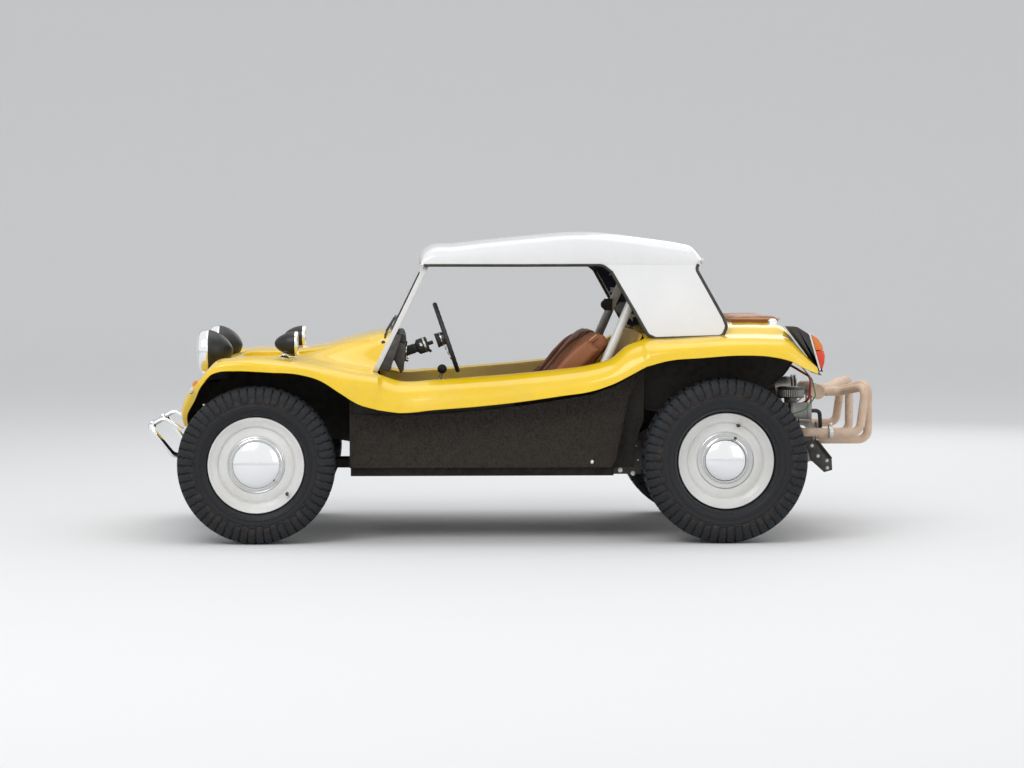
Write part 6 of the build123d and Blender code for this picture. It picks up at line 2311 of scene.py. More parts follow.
@dataclass
class Seats:
    """Two bucket seats in tan leather: pleated cushion and back, bolsters and piping."""

    middle: float = 0.330
    foot_x: float = -0.022
    lean: float = 40.0
    half: float = 0.175

    def back(self, s: float, t: float) -> tuple[float, float]:
        """A point of the backrest: s up along it and t behind its face."""
        a = math.radians(self.lean)
        return (self.foot_x + math.sin(a) * s + math.cos(a) * t, 0.455 + math.cos(a) * s - math.sin(a) * t)

    def build(self) -> None:
        """Builds both seats."""
        for side in Side:
            self.seat(side)

    def face_line(self) -> list[tuple[float, float]]:
        """The seat's middle surface in side view, from the cushion's front lip over the back to its top.

        Returns:
            The line's points as (x, z).
        """
        f = self.foot_x
        return spread([(f - 0.4435, 0.400), (f - 0.4440, 0.455), (f - 0.425, 0.483), (f - 0.385, 0.4875),
                       (f - 0.240, 0.4725), (f - 0.075, 0.4530), self.back(0.045, 0.004),
                       self.back(0.20, 0.004), self.back(0.38, 0.004), self.back(0.53, 0.004),
                       self.back(0.585, 0.012)], 6)

    def seat(self, side: Side) -> None:
        """One seat: pleated inner panel, shell with bolsters, and piping.

        Args:
            side: the seat's side.
        """
        name = side.name.lower()
        centre = self.middle * side.value
        shell = Shape()
        f = self.foot_x
        core = [(f - 0.438, 0.3075), (f - 0.447, 0.462), (f - 0.410, 0.489), (f - 0.060, 0.4495),
                self.back(0.030, 0.003), self.back(0.588, 0.003), self.back(0.617, 0.030),
                self.back(0.598, 0.083), self.back(0.022, 0.093), (f + 0.058, 0.3075)]
        shell.prism([(x, centre - 0.1745, z) for x, z in core], (0, 0.349, 0))
        self.pad(shell, "core", side, 0.006, "seats")
        for hand in HANDS:
            bolster = Shape()
            outline = [(f - 0.428, 0.3275), (f - 0.438, 0.497), (f - 0.400, 0.526), (f - 0.112, 0.497),
                       self.back(0.120, -0.050), self.back(0.468, -0.043), self.back(0.556, -0.008),
                       self.back(0.556, 0.068), self.back(0.022, 0.088), (f + 0.048, 0.3275)]
            y0 = centre + hand * 0.1765
            rings = []
            middle = Vector((sum(x for x, _ in outline) / 10, sum(z for _, z in outline) / 10))
            for w, grow in ((0.0, 0.985), (0.009, 1.0), (0.034, 1.0), (0.0425, 0.985)):
                rings.append([(middle.x + (x - middle.x) * grow, y0 + hand * w,
                               middle.y + (z - middle.y) * grow) for x, z in outline])
            bolster.loft(rings)
            self.pad(bolster, "bolster_out" if hand * side.value > 0 else "bolster_in", side, 0.012)
        self.pleats(name, centre)
        line = [Vector((x, centre, z)) for x, z in self.face_line()]
        for hand in HANDS:
            edge = [p + Vector((0, hand * 0.1735, 0)) + lift for p, lift in zip(line, outward(line, 0.0035))]
            band(f"seat_{name}_piping_{'a' if hand < 0 else 'b'}", THREAD, edge, 0.0032, "chassis", 10)

    def pad(self, shape: Shape, kind: str, side: Side, cap: float, *nodes: str) -> None:
        """A padded piece, swollen on the left seat and mirrored for the right one.

        Args:
            shape: its firm form.
            kind: end of its name.
            side: which seat.
            cap: how far the swelling may move a point.
            nodes: the CAD nodes it stands for.
        """
        name = f"seat_{side.name.lower()}_{kind}"
        if side is Side.LEFT:
            made = puffed(shape.build(name, LEATHER, soften=0.015, levels=1), cap)
        else:
            made = linked(name, bpy.data.objects[f"seat_left_{kind}"].data.copy())
            made.data.transform(Matrix.Scale(-1.0, 4, (0.0, 1.0, 0.0)))
            made.data.flip_normals()
        own(made, LEATHER, "chassis", *nodes)

    def pleats(self, name: str, centre: float) -> None:
        """Padded ribs over the cushion and up the back, and the stitches in the seams between them.

        Args:
            name: the seat's name.
            centre: the seat's middle across the car.
        """
        line = self.face_line()
        spine = [Vector((x, 0, z)) for x, z in line]
        lifts = outward(spine, 1.0)
        count = 7
        width = 2 * self.half / count
        shape, seams = Shape(), []
        for k in range(count):
            c = centre - self.half + width * (k + 0.5)
            rings = []
            for i, (p, n) in enumerate(zip(spine, lifts)):
                end = min(1.0, min(i, len(spine) - 1 - i) / 4)
                high = 0.0165 * (0.35 + 0.65 * math.sin(end * math.pi / 2))
                ring = []
                for j in range(9):
                    a = math.pi * j / 8
                    ring.append(p + Vector((0, c - math.cos(a) * width * 0.497, 0))
                                + n * (high * math.sin(a) ** 0.6 * 0.9 + 0.001))
                ring += [p + Vector((0, c + width * 0.49, 0)) - n * 0.010,
                         p + Vector((0, c - width * 0.49, 0)) - n * 0.010]
                rings.append(ring)
            shape.loft(rings)
            if k:
                seams.append([p + Vector((0, c - width * 0.5, 0)) + n * 0.0068 for p, n in zip(spine, lifts)])
        pleated = shape.build(f"seat_{name}_pleats", LEATHER, sharp=70.0)
        own(pleated, LEATHER, "chassis")
        stitch = Shape()
        stitch.turn([(TIP, -0.0032), (0.0006, -0.0028), (0.0008, 0.0), (0.0006, 0.0028), (TIP, 0.0032)],
                    ORIGIN, UP, 6)
        thread = Repeater("seam_stitches", {"Pitch": 0.0085}, stitch.build("stitch", THREAD), THREAD)
        thread.path()
        own(thread.apply(f"seat_{name}_stitches", edges(f"seat_{name}_seams", seams)), THREAD, "chassis")


VOXEL = 0.006


def puffed(made: bpy.types.Object, cap: float, floor: float = 0.0, levels: int = 0) -> bpy.types.Object:
    """Swells a firm shape into a pad with a cloth simulation under pressure.

    Args:
        made: the firm shape.
        cap: how far a point may move from the shape drawn in by a third of that.
        floor: height that no point goes under, where the pad rests.
        levels: of subdivision at the end.

    Returns:
        The same object with the padded mesh, without modifiers.
    """
    scene = bpy.context.scene
    pad = linked("pad", made.data.copy())
    modify(pad, "REMESH", mode="VOXEL", voxel_size=VOXEL)
    settle(pad)
    start = [v.co - v.normal * cap / 3 for v in pad.data.vertices]
    for vertex, place in zip(pad.data.vertices, start):
        vertex.co = place
    cloth = modify(pad, "CLOTH")
    cloth.settings.use_pressure = True
    cloth.settings.uniform_pressure_force = 4.0
    cloth.settings.effector_weights.gravity = 0.0
    cloth.point_cache.frame_end = 20
    for step in range(1, 21):
        scene.frame_set(step)
    settle(pad)
    for vertex, place in zip(pad.data.vertices, start):
        shift = vertex.co - place
        vertex.co = place + shift * min(1.0, cap / max(shift.length, 1e-9))
        vertex.co.z = max(vertex.co.z, floor)
    scene.frame_set(1)
    if levels:
        modify(pad, "SUBSURF", levels=levels, render_levels=levels)
        settle(pad)
    pad.data.shade_smooth()
    made.data = pad.data
    bpy.data.objects.remove(pad)
    return made


def outward(line: Sequence[Vector], length: float) -> list[Vector]:
    """Normals of a line in the side view, to the left of its run seen from the car's left.

    Args:
        line: the line's points.
        length: the normals' length.

    Returns:
        A normal for each point.
    """
    made = []
    for i in range(len(line)):
        run = line[min(i + 1, len(line) - 1)] - line[max(i - 1, 0)]
        made.append(Vector((-run.z, 0.0, run.x)).normalized() * length)
    return made


def edges(name: str, lines: Sequence[Sequence[Vector]]) -> bpy.types.Object:
    """A mesh of bare edges along lines, for a Geometry Nodes path.

    Args:
        name: the object's name.
        lines: the lines' points.

    Returns:
        The object.
    """
    mesh = bpy.data.meshes.new(name)
    points = [p for line in lines for p in line]
    links, start = [], 0
    for line in lines:
        links += [(start + i, start + i + 1) for i in range(len(line) - 1)]
        start += len(line)
    mesh.from_pydata(points, links, [])
    return linked(name, mesh)


def bolts(name: str, body: str, spots: Sequence[Point], ways: Sequence[Point], radius: float = 0.0065,
          finish: Finish = ZINC) -> None:
    """Hexagon bolts with washers, which Geometry Nodes set on points of a body.

    Args:
        name: of the piece.
        body: that they ride on.
        spots: where they sit.
        ways: which way each faces.
        radius: of the head.
        finish: what they are made of.
    """
    shape = Shape()
    shape.turn([(TIP, 0.0), (radius * 1.35, 0.0), (radius * 1.35, 0.0012), (radius * 1.1, 0.0013)], ORIGIN,
               UP, 16)
    shape.turn([(radius * 1.02, 0.0008), (radius * 1.02, radius * 0.62), (radius * 0.86, radius * 0.74),
                (TIP, radius * 0.76)], ORIGIN, UP, 6)
    shape.turn([(radius * 0.55, radius * 0.7), (radius * 0.52, radius * 1.15), (TIP, radius * 1.2)], ORIGIN,
               UP, 10)
    scattered(name, shape, finish, spots, ways, body=body)


def across(half: Sequence[Point]) -> list[Point]:
    """A path given up to the middle plane, carried on as its mirror image."""
    return list(half) + [(x, -y, z) for x, y, z in half[::-1]]


def sides(rows: Sequence[Point]) -> list[Point]:
    """Points given for the left side, followed by the same on the right."""
    return [tuple(p) for p in rows] + [(x, -y, z) for x, y, z in rows]


@dataclass
class RearCabin:
    """Deck pad, roll hoop, and the belts with their reels."""

    # Middle, half length and half width of the pad, and the deck's height under it.
    deck_pad: tuple[float, float, float] = (1.078, 0.111, 0.379)
    deck_z: float = 0.9415
    hoop_foot: Point = (0.215, 0.54, 0.3055)
    reel_y: float = 0.478
    belt_foot_y: float = 0.512

    def build(self) -> None:
        """Builds the pieces behind the seats, and gives the kept solids their finish."""
        self.pad_and_cap()
        self.hoop()
        self.belts()
        dress(YELLOW_INNER, "rear_bulkhead")
        dress(UNDERSEAL, "inner_panels", "floor_pan")

    def pad_and_cap(self) -> None:
        """Leather pad with its piping, and the filler cap beside it."""
        middle, deep, half = self.deck_pad
        pad = Shape()
        rings = []
        for z, grow in ((self.deck_z, 0.975), (0.946, 1.0), (0.957, 1.0), (0.9645, 0.985), (0.9690, 0.94),
                        (0.9705, 0.80), (0.9708, 0.45)):
            rings.append([(middle + x * deep * grow, y * (half - deep * (1 - grow)), z)
                          for x, y in ((-1, -1), (-0.4, -1), (0.4, -1), (1, -1), (1, -0.6), (1, -0.2),
                                       (1, 0.2), (1, 0.6), (1, 1), (0.4, 1), (-0.4, 1), (-1, 1), (-1, 0.6),
                                       (-1, 0.2), (-1, -0.2), (-1, -0.6))])
        pad.loft(rings)
        made = puffed(pad.build("deck_pad_cover", LEATHER, soften=0.004, levels=1), 0.007, self.deck_z, 1)
        own(made, LEATHER, "chassis", "deck_pad")
        rim = [Vector((middle + x * 0.1105, y * 0.3785, 0.9635))
               for x, y in ((-0.9, -1), (0.9, -1), (1, -0.97), (1, 0.97), (0.9, 1), (-0.9, 1), (-1, 0.97),
                            (-1, -0.97), (-0.9, -1))]
        band("deck_pad_piping", THREAD, rim, 0.0026, "chassis", 8, 0.012)
        cap = Shape()
        cap.turn([(0.0225, -0.012), (0.0225, 0.002), (0.0250, 0.003), (0.0255, 0.008), (0.0235, 0.015),
                  (0.0175, 0.0215), (0.0090, 0.0255), (TIP, 0.0265)],
                 (1.152, -0.395, 0.938), (0.06, 0, 1), 36)
        cap.place("filler_cap", CHROME)

    def hoop(self) -> None:
        """Roll hoop with its foot flanges and their bolts."""
        x, y, z = self.hoop_foot
        hoop = Shape()
        hoop.tube(across([(x, -y, z), (x, -y, 0.4153), (0.380, -0.545, 0.740), (0.590, -0.470, 1.215)]),
                  0.0198, 24, 0.08)
        for side in HANDS:
            hoop.turn([(0.0201, 0.0), (0.034, 0.0), (0.034, 0.005), (0.0235, 0.0055), (0.0201, 0.011)],
                      (x, side * y, z), UP, 28)
        hoop.place("roll_hoop_tube", WHITE_FRAME, "roll_hoop")
        bolts("hoop_bolts", "chassis",
              [(x + 0.028 * c, s * y + 0.028 * d, 0.3103) for s in HANDS
               for c, d in ((1, 0.2), (-1, 0.2), (0, 1), (0, -1))], [UP] * 8, 0.0045)

    def belts(self) -> None:
        """Belt webs over the seats' backs, their reels and their brackets."""
        web, reel, tongue = Shape(), Shape(), Shape()
        for side in HANDS:
            path = [(0.505, 0.470, 0.985), (0.440, 0.492, 0.830), (0.408, 0.510, 0.745),
                    (0.243, self.belt_foot_y, 0.420), (0.243, self.belt_foot_y, 0.325)]
            rows = spread(path, 6)
            web.loft([[(x + dx, side * y + dy, z)
                       for dx, dy in ((0.0007, -0.022), (0.0007, 0.022), (-0.0007, 0.022), (-0.0007, -0.022))]
                      for x, y, z in rows])
            reel.box((0.462, side * self.reel_y - 0.021, 0.985), (0.500, side * self.reel_y + 0.021, 1.040))
            reel.turn([(TIP, 0.023), (0.020, 0.022), (0.023, 0.018), (0.023, -0.018), (0.020, -0.022),
                       (TIP, -0.023)], (0.470, side * self.reel_y, 1.012), ACROSS, 24)
            tongue.box((0.485, side * self.reel_y - 0.012, 1.020), (0.512, side * self.reel_y + 0.012, 1.026))
            tongue.box((0.236, side * self.belt_foot_y - 0.025, 0.306),
                       (0.250, side * self.belt_foot_y + 0.025, 0.328))
        web.place("belt_webs", BELT)
        reel.place("belt_reels", PLASTIC, soften=0.003)
        tongue.place("belt_brackets", ZINC, soften=0.001)


@dataclass
class Ends:
    """Bumper in front, blank plate behind, side pods between."""

    bumper_at: tuple[float, float] = (-1.6075, 0.492)
    stay_y: float = 0.300
    saddle_x: float = -1.6044
    plate_at: Point = (1.368, 0, 0.740)
    plate_way: Point = (0.72199, 0, 0.691904)
    # Front end, foot, and distance of the outer face from the middle plane.
    pod: tuple[float, float, float] = (-0.724, 0.323, 0.6535)
    pod_tail: tuple[float, float] = (0.556, 0.745)

    def build(self) -> None:
        """Builds the bumper, the plate and the pods."""
        self.bumper()
        self.plate()
        self.pods()

    def bumper(self) -> None:
        """Polished tube with two stays and their saddles."""
        hoop, y = Shape(), self.stay_y
        front, z = self.bumper_at
        half = [(-1.2878, -y, 0.402), (-1.3378, -y, 0.402), (-1.5025, -0.400, 0.358), (front, -0.430, z)]
        hoop.tube(across(half), 0.0124, 22, 0.04)
        for s in HANDS:
            hoop.tube([(front, s * y, z), (-1.5575, s * y, 0.520), (-1.4725, s * y, 0.470)], 0.0103, 18, 0.03)
            hoop.turn([(0.0125, -0.014), (0.0155, -0.013), (0.0155, 0.013), (0.0125, 0.014)],
                      (self.saddle_x, s * y, z), ACROSS, 28)
        hoop.place("bumper_tubes", CHROME, "front_bumper")
        bolts("bumper_bolts", "chassis", sides([(self.saddle_x, -y, 0.5072)]), [UP] * 2, 0.005)

    def plate(self) -> None:
        """Blank number-plate panel with a rolled rim, two bolts and its tabs."""
        shape = Shape()
        u, n = Vector(ACROSS), Vector(self.plate_way)
        v = n.cross(u)
        c = Vector(self.plate_at)

        def rounded_box(w: float, h: float, lift: float, r: float) -> list[Vector]:
            """A rounded rectangle in the plate's plane.

            Args:
                w: half its width.
                h: half its height.
                lift: how far off the plate it lies.
                r: radius of its corners.

            Returns:
                The loop's points.
            """
            ring = []
            for sx, sy, start in ((1, 1, 0), (-1, 1, 90), (-1, -1, 180), (1, -1, 270)):
                for k in range(5):
                    a = math.radians(start + 22.5 * k)
                    ring.append(c + u * (sx * (w - r) + r * math.cos(a))
                                + v * (sy * (h - r) + r * math.sin(a)) + n * lift)
            return ring

        shape.loft([rounded_box(w, h, lift, r) for w, h, lift, r in (
            (0.158, 0.048, 0.0002, 0.006), (0.165, 0.055, 0.0004, 0.010), (0.165, 0.055, 0.0029, 0.010),
            (0.1625, 0.0525, 0.0034, 0.008), (0.160, 0.050, 0.0022, 0.007), (0.110, 0.020, 0.0020, 0.004))])
        for s in HANDS:
            shape.box((1.3430, s * 0.09 - 0.012, 0.765), (1.3640, s * 0.09 + 0.012, 0.7765))
        shape.place("plate_blank", SATIN_BLACK, "plate_panel", sharp=35.0)
        bolts("plate_bolts", "chassis", [tuple(c + u * s * 0.11 + n * 0.0022) for s in HANDS], [tuple(n)] * 2,
              0.0050)

    def pods(self) -> None:
        """Rough black pods along the sills, bulged, with fibres that show through their coating."""
        front, low_z, flank = self.pod
        tail = self.pod_tail
        top = [(front, 0.556), (-0.560, 0.5505), (-0.362, 0.556), (-0.160, 0.572), (0.048, 0.596),
               (0.328, 0.640), (0.420, 0.672), tail]
        foot = [(front, low_z), (0.428, low_z), (0.494, 0.628), tail]

        def height(line: Sequence[tuple[float, float]], x: float) -> float:
            """Height of a line of the side view at x.

            Args:
                line: the line's points as (x, z).
                x: the place along the car.

            Returns:
                The height.
            """
            for (x0, z0), (x1, z1) in zip(line, line[1:]):
                if x <= x1:
                    return z0 + (z1 - z0) * (x - x0) / (x1 - x0)
            return line[-1][1]

        shape = Shape()
        spots, ways = [], []
        for side in HANDS:
            rings = []
            for i in range(65):
                x = front + 1.279 * i / 64
                low, high = height(foot, x), height(top, x)
                out, back = [], []
                for j in range(21):
                    t = j / 20
                    swell = 0.010 * math.sin(math.pi * min(t * 1.15, 1.0)) * min(1.0, (x - front) / 0.05,
                            (tail[0] - x) / 0.05)
                    waver = 0.0016 * math.sin(x * 31.0 + t * 4.0) * math.sin(t * 9.0 + x * 5.0)
                    out.append((x, side * (flank + swell + waver), low + (high - low) * t))
                    back.append((x, side * (0.6500 + swell + waver), low + (high - low) * t))
                rings.append(out + back[::-1])
            shape.loft(rings)
        made = shape.build("side_pod_skins", POD_BLACK, sharp=60.0)
        own(made, POD_BLACK, "chassis", "side_panels")
        hair = Shape()
        hair.tube([(0, 0, 0), (0.010, 0.0015, 0.0003), (0.022, -0.001, 0.0004), (0.034, 0.002, 0.0)], 0.00045,
                  4, 0.004)
        for face in made.data.polygons:
            c, n = face.center, face.normal
            if abs(n.y) > 0.8 and abs(c.y) > 0.652 and n.y * c.y > 0 and (face.index * 7919) % 11 < 4:
                spots.append(tuple(c))
                ways.append(tuple(n))
        scattered("side_pod_fibres", hair, POD_BLACK, spots, ways)
        button = Shape()
        for side in HANDS:
            button.turn([(TIP, 0.013), (0.006, 0.012), (0.0105, 0.008), (0.0125, 0.002), (0.0125, -0.004)],
                        (0.332, side * 0.655, 0.349), (0, side, 0), 24)
        button.place("side_pod_buttons", CHROME)


@dataclass
class Power:
    """The flat four: ribbed case, finned barrels, heads, carburettors, fan shroud and exhaust."""

    case: tuple[float, float, float, float, float] = (1.075, 1.380, 0.095, 0.305, 0.490)
    mid: float = 0.4175
    carb: tuple[float, float] = (1.252, 0.2725)
    # Distance from the middle plane and height of the front and the rear header tubes' flanges.
    front_port: tuple[float, float] = (0.3603, 0.456)
    rear_port: tuple[float, float] = (0.2728, 0.418)
    tube: float = 0.0192
    silencer: Point = (1.380, 0, 0.630)
    generator_z: float = 0.640

    def build(self) -> None:
        """Builds the engine and the exhaust."""
        self.block()
        self.shroud()
        self.exhaust()
        self.plumbing()

    def block(self) -> None:
        """Crankcase, barrels with their fins, heads with rocker covers, pulley, carburettors."""
        x0, x1, half, z0, z1 = self.case
        cast, steel, black = Shape(), Shape(), Shape()
        outline = [(-half + 0.020, z0), (half - 0.020, z0), (half, z0 + 0.030), (half, z1 - 0.060),
                   (0.055, z1), (-0.055, z1), (-half, z1 - 0.060), (-half, z0 + 0.030)]
        cast.prism([(x0, y, z) for y, z in outline], (x1 - x0 - 0.002, 0, 0))
        for k in range(9):
            x = x0 + 0.020 + k * 0.031
            cast.box((x, -half + 0.012, z0 - 0.0001), (x + 0.005, half - 0.012, z0 + 0.012))
        for x in (x0 + 0.075, x1 - 0.085):
            for s in HANDS:
                rows = [(0.050, 0.090)]
                for i in range(5):
                    for k in range(2):
                        y = 0.1090 + i * 0.026 + k * 0.012
                        rows += [(0.052, y), (0.0700, y + 0.0008), (0.0700, y + 0.0036), (0.052, y + 0.0046)]
                rows.append((0.052, 0.2455))
                steel.turn(rows, (x, 0, self.mid), (0, s, 0), 40)
        for s in HANDS:
            inner, outer = s * 0.245, s * 0.2995
            cast.box((x0 + 0.010, min(inner, outer), self.mid - 0.055),
                     (x1 - 0.018, max(inner, outer), self.mid + 0.059))
            for k in range(12):
                x = x0 + 0.018 + k * 0.0222
                low, high = sorted((s * 0.2475, s * 0.2985))
                cast.box((x, low, self.mid - 0.0695), (x + 0.0040, high, self.mid - 0.050))
            cover = [[(x0 + 0.022 + a, s * y, self.mid - 0.048 + a),
                      (x1 - 0.030 - a, s * y, self.mid - 0.048 + a),
                      (x1 - 0.030 - a, s * y, self.mid + 0.030 - a),
                      (x0 + 0.022 + a, s * y, self.mid + 0.030 - a)]
                     for a, y in ((0.0, 0.2985), (0.001, 0.3000))]
            black.loft(cover)
            self.carburettor(s, cast, steel, black)
        steel.turn([(0.030, 0.034), (0.030, 0.020), (0.071, 0.020), (0.077, 0.0295), (0.085, 0.0295),
                    (0.085, 0.024), (0.073, 0.017), (0.073, 0.013), (0.085, 0.006), (0.085, 0.0005),
                    (0.030, 0.0)],
                   (x1, 0, self.mid - 0.020), BACK, 56, caps=True)
        cast.place("engine_castings", CAST, "engine", soften=0.003)
        steel.place("engine_barrels", CAST)
        black.place("engine_covers", SHROUD_BLACK, soften=0.003)
        bolts("case_bolts", "chassis",
              [(x0 + 0.03 + k * 0.06, s * 0.086, z1 - 0.044) for k in range(5) for s in HANDS]
              + [(x1 - 0.0015, s * 0.07, z) for s in HANDS for z in (0.33, 0.46)],
              [(0, s * 0.6, 0.8) for k in range(5) for s in HANDS] + [BACK] * 4, 0.005)

    def carburettor(self, s: int, cast: Shape, steel: Shape, black: Shape) -> None:
        """A carburettor on its flanges, with a pleated air cleaner on top.

        Args:
            s: sign of Y of its side.
            cast: takes the body.
            steel: takes the pleats.
            black: takes the cleaner's lids.
        """
        x, y = self.carb
        foot = (x, s * y, self.mid + 0.060)
        carb = [(0.034, 0.0), (0.034, 0.008), (0.020, 0.012), (0.0198, 0.062), (0.034, 0.066), (0.034, 0.074),
                (0.024, 0.078), (0.024, 0.100), (0.030, 0.112), (0.030, 0.128)]
        cast.turn(carb, foot, UP, 32)
        cast.box((x - 0.029, s * y - 0.0195, self.mid + 0.141),
                 (x + 0.029, s * y + 0.0195, self.mid + 0.1675))
        black.turn([(0.030, 0.128), (0.060, 0.1295), (0.0615, 0.132), (0.0600, 0.135)], foot, UP, 40)
        black.turn([(0.0600, 0.167), (0.0618, 0.170), (0.0600, 0.174), (0.052, 0.179), (TIP, 0.180)], foot,
                   UP, 40)
        pleats = [[(x + (0.0560 + 0.003 * (k % 2)) * math.cos(k * math.pi / 36),
                    s * y + (0.0560 + 0.003 * (k % 2)) * math.sin(k * math.pi / 36), self.mid + z)
                   for k in range(72)] for z in (0.194, 0.229)]
        steel.loft(pleats)

    def shroud(self) -> None:
        """Pressed fan housing with its seam, generator with end caps and pulleys, and the belt."""
        x0, z1 = self.case[0], self.case[4]
        outline = [(-0.299, z1 + 0.0005), (-0.309, 0.590), (-0.239, 0.679), (-0.110, 0.749), (0.110, 0.749),
                   (0.239, 0.679), (0.309, 0.590), (0.299, z1 + 0.0005)]
        shape = Shape()
        for low, high, grow in ((0.0105, 0.056, 0.994), (0.056, 0.062, 1.0), (0.062, 0.1095, 0.994)):
            shape.prism([(x0 + low, y * grow, 0.62 + (z - 0.62) * grow) for y, z in outline],
                        (high - low, 0, 0))
        shape.place("fan_housing", SHROUD_BLACK, "fan_shroud", soften=0.006)
        gen = Shape()
        rows = [(0.030, 0.109), (0.051, 0.111), (0.0518, 0.116), (0.0518, 0.130), (0.050, 0.131),
                (0.050, 0.185), (0.0518, 0.186), (0.0518, 0.208), (0.044, 0.214), (0.012, 0.215)]
        gen.turn(rows, (x0, 0, self.generator_z), BACK, 40)
        gen.turn([(0.012, 0.213), (0.0598, 0.2155), (0.0598, 0.220), (0.050, 0.224), (0.050, 0.226),
                  (0.0598, 0.230), (0.0598, 0.2345), (0.014, 0.2348), (TIP, 0.2348)],
                 (x0, 0, self.generator_z), BACK, 44)
        gen.place("generator_body", STEEL)
        ring = []
        for k in range(49):
            a = math.pi * k / 24
            r, z = (0.0765, 0.3975) if math.cos(a) < 0 else (0.0535, self.generator_z)
            ring.append((r * math.sin(a), z + r * math.cos(a)))
        strap = Shape()
        strap.loft([[(1.295, y, z), (1.306, y, z), (1.304, y * 0.95, 0.5 + (z - 0.5) * 0.985)]
                    for y, z in ring],
                   True, False)
        strap.turn([(TIP, 0.0), (0.012, 0.0), (0.012, 0.070), (TIP, 0.070)], (1.240, 0.0, 0.500), UP, 16)
        strap.place("fan_belt", TRIM_RUBBER)

    def exhaust(self) -> None:
        """Header tubes with weld rings and clamps, silencer with rolled ends, seam and outlet."""
        tubes, clamps = Shape(), Shape()
        front_y, front_z = self.front_port
        rear_y, rear_z = self.rear_port
        collar = [(0.0190, 0.0), (0.0295, 0.0), (0.0300, 0.003), (0.0300, 0.007), (0.0190, 0.008)]
        for s in HANDS:
            tubes.tube([(1.290, s * 0.3003, front_z), (1.290, s * front_y, front_z),
                        (1.5505, s * front_y, front_z), (1.5785, s * front_y, 0.662),
                        (1.4893, s * 0.200, 0.630), (1.4146, s * 0.200, 0.630)], self.tube, 24, 0.042)
            tubes.tube([(1.3625, s * rear_y, rear_z), (1.6005, s * rear_y, rear_z),
                        (1.6005, s * rear_y, 0.676), (1.4893, s * 0.120, 0.630), (1.4146, s * 0.120, 0.630)],
                       self.tube, 24, 0.042)
            for at, axis in (((1.470, s * front_y, front_z), BACK), ((1.520, s * rear_y, rear_z), BACK),
                             ((1.6005, s * rear_y, 0.560), UP), ((1.5645, s * front_y, 0.560), (0.13, 0, 1)),
                             ((1.425, s * 0.200, 0.630), BACK), ((1.425, s * 0.120, 0.630), BACK)):
                tubes.turn([(0.0190, -0.0035), (0.0203, -0.0012), (0.0205, 0.0), (0.0203, 0.0012),
                            (0.0190, 0.0035)], at, axis, 24)
            x = 1.410
            clamps.turn([(0.0194, 0.0), (0.0285, 0.0), (0.0298, 0.002), (0.0298, 0.018), (0.0285, 0.020),
                         (0.0194, 0.020)], (x, s * front_y, front_z), BACK, 32)
            clamps.box((x + 0.003, s * front_y - 0.007, 0.484), (x + 0.017, s * front_y + 0.007, 0.498))
            clamps.turn([(TIP, -0.017), (0.004, -0.017), (0.004, 0.017), (TIP, 0.017)],
                        (x + 0.010, s * front_y, 0.491), ACROSS, 12)
            clamps.turn(collar, (1.3625, s * rear_y, rear_z), BACK, 28)
            clamps.turn(collar, (1.290, s * 0.3003, front_z), (0, s, 0), 28)
        tubes.place("header_tubes", HEADER, "exhaust_header")
        clamps.place("header_clamps", ZINC, soften=0.0006)
        plate, spots = Shape(), []
        for s in HANDS:
            plate.prism([(x, s * 0.3005, z) for x, z in ((1.318, 0.412), (1.372, 0.416), (1.434, 0.338),
                                                         (1.437, 0.282), (1.400, 0.272), (1.336, 0.330))],
                        (0, s * 0.005, 0))
            plate.prism([(x, s * 0.3055, z) for x, z in ((1.372, 0.416), (1.434, 0.338), (1.429, 0.334),
                                                         (1.367, 0.412))], (0, s * 0.018, 0))
            spots += [(x, s * 0.3055, z)
                      for x, z in ((1.345, 0.392), (1.372, 0.345), (1.412, 0.325), (1.414, 0.292))]
        plate.place("tail_brackets", BLACK_STEEL, soften=0.0008)
        bolts("tail_bracket_bolts", "chassis", spots, [(0, -1, 0)] * 4 + [ACROSS] * 4, 0.0058)
        drum = Shape()
        drum.turn([(TIP, -0.2285), (0.028, -0.2275), (0.031, -0.2295), (0.0338, -0.2290), (0.0338, -0.2220),
                   (0.0325, -0.2190), (0.0325, 0.2190), (0.0338, 0.2220), (0.0338, 0.2290), (0.031, 0.2295),
                   (0.028, 0.2275), (TIP, 0.2285)], self.silencer, ACROSS, 48)
        drum.turn([(0.0205, 0.030), (0.0205, 0.0940), (0.0228, 0.0940), (0.0228, 0.036), (0.0262, 0.030)],
                  self.silencer, BACK, 36)
        drum.box((1.3440, -0.215, 0.6290), (1.3475, 0.215, 0.6310))
        for s in HANDS:
            drum.box((1.3685, min(s * 0.061, s * 0.089), 0.4905), (1.3735, max(s * 0.061, s * 0.089), 0.612))
            for y in (0.075, 0.17):
                drum.turn([(0.0326, -0.010), (0.0338, -0.010), (0.0338, 0.010), (0.0326, 0.010)],
                          (self.silencer[0], s * y, self.silencer[2]), ACROSS, 40)
        drum.place("silencer_drum", HEADER, "silencer", sharp=40.0)
        bolts("header_nuts", "chassis",
              [(1.3710, s * rear_y, rear_z + d) for s in HANDS for d in (-0.025, 0.025)], [BACK] * 4, 0.0055)

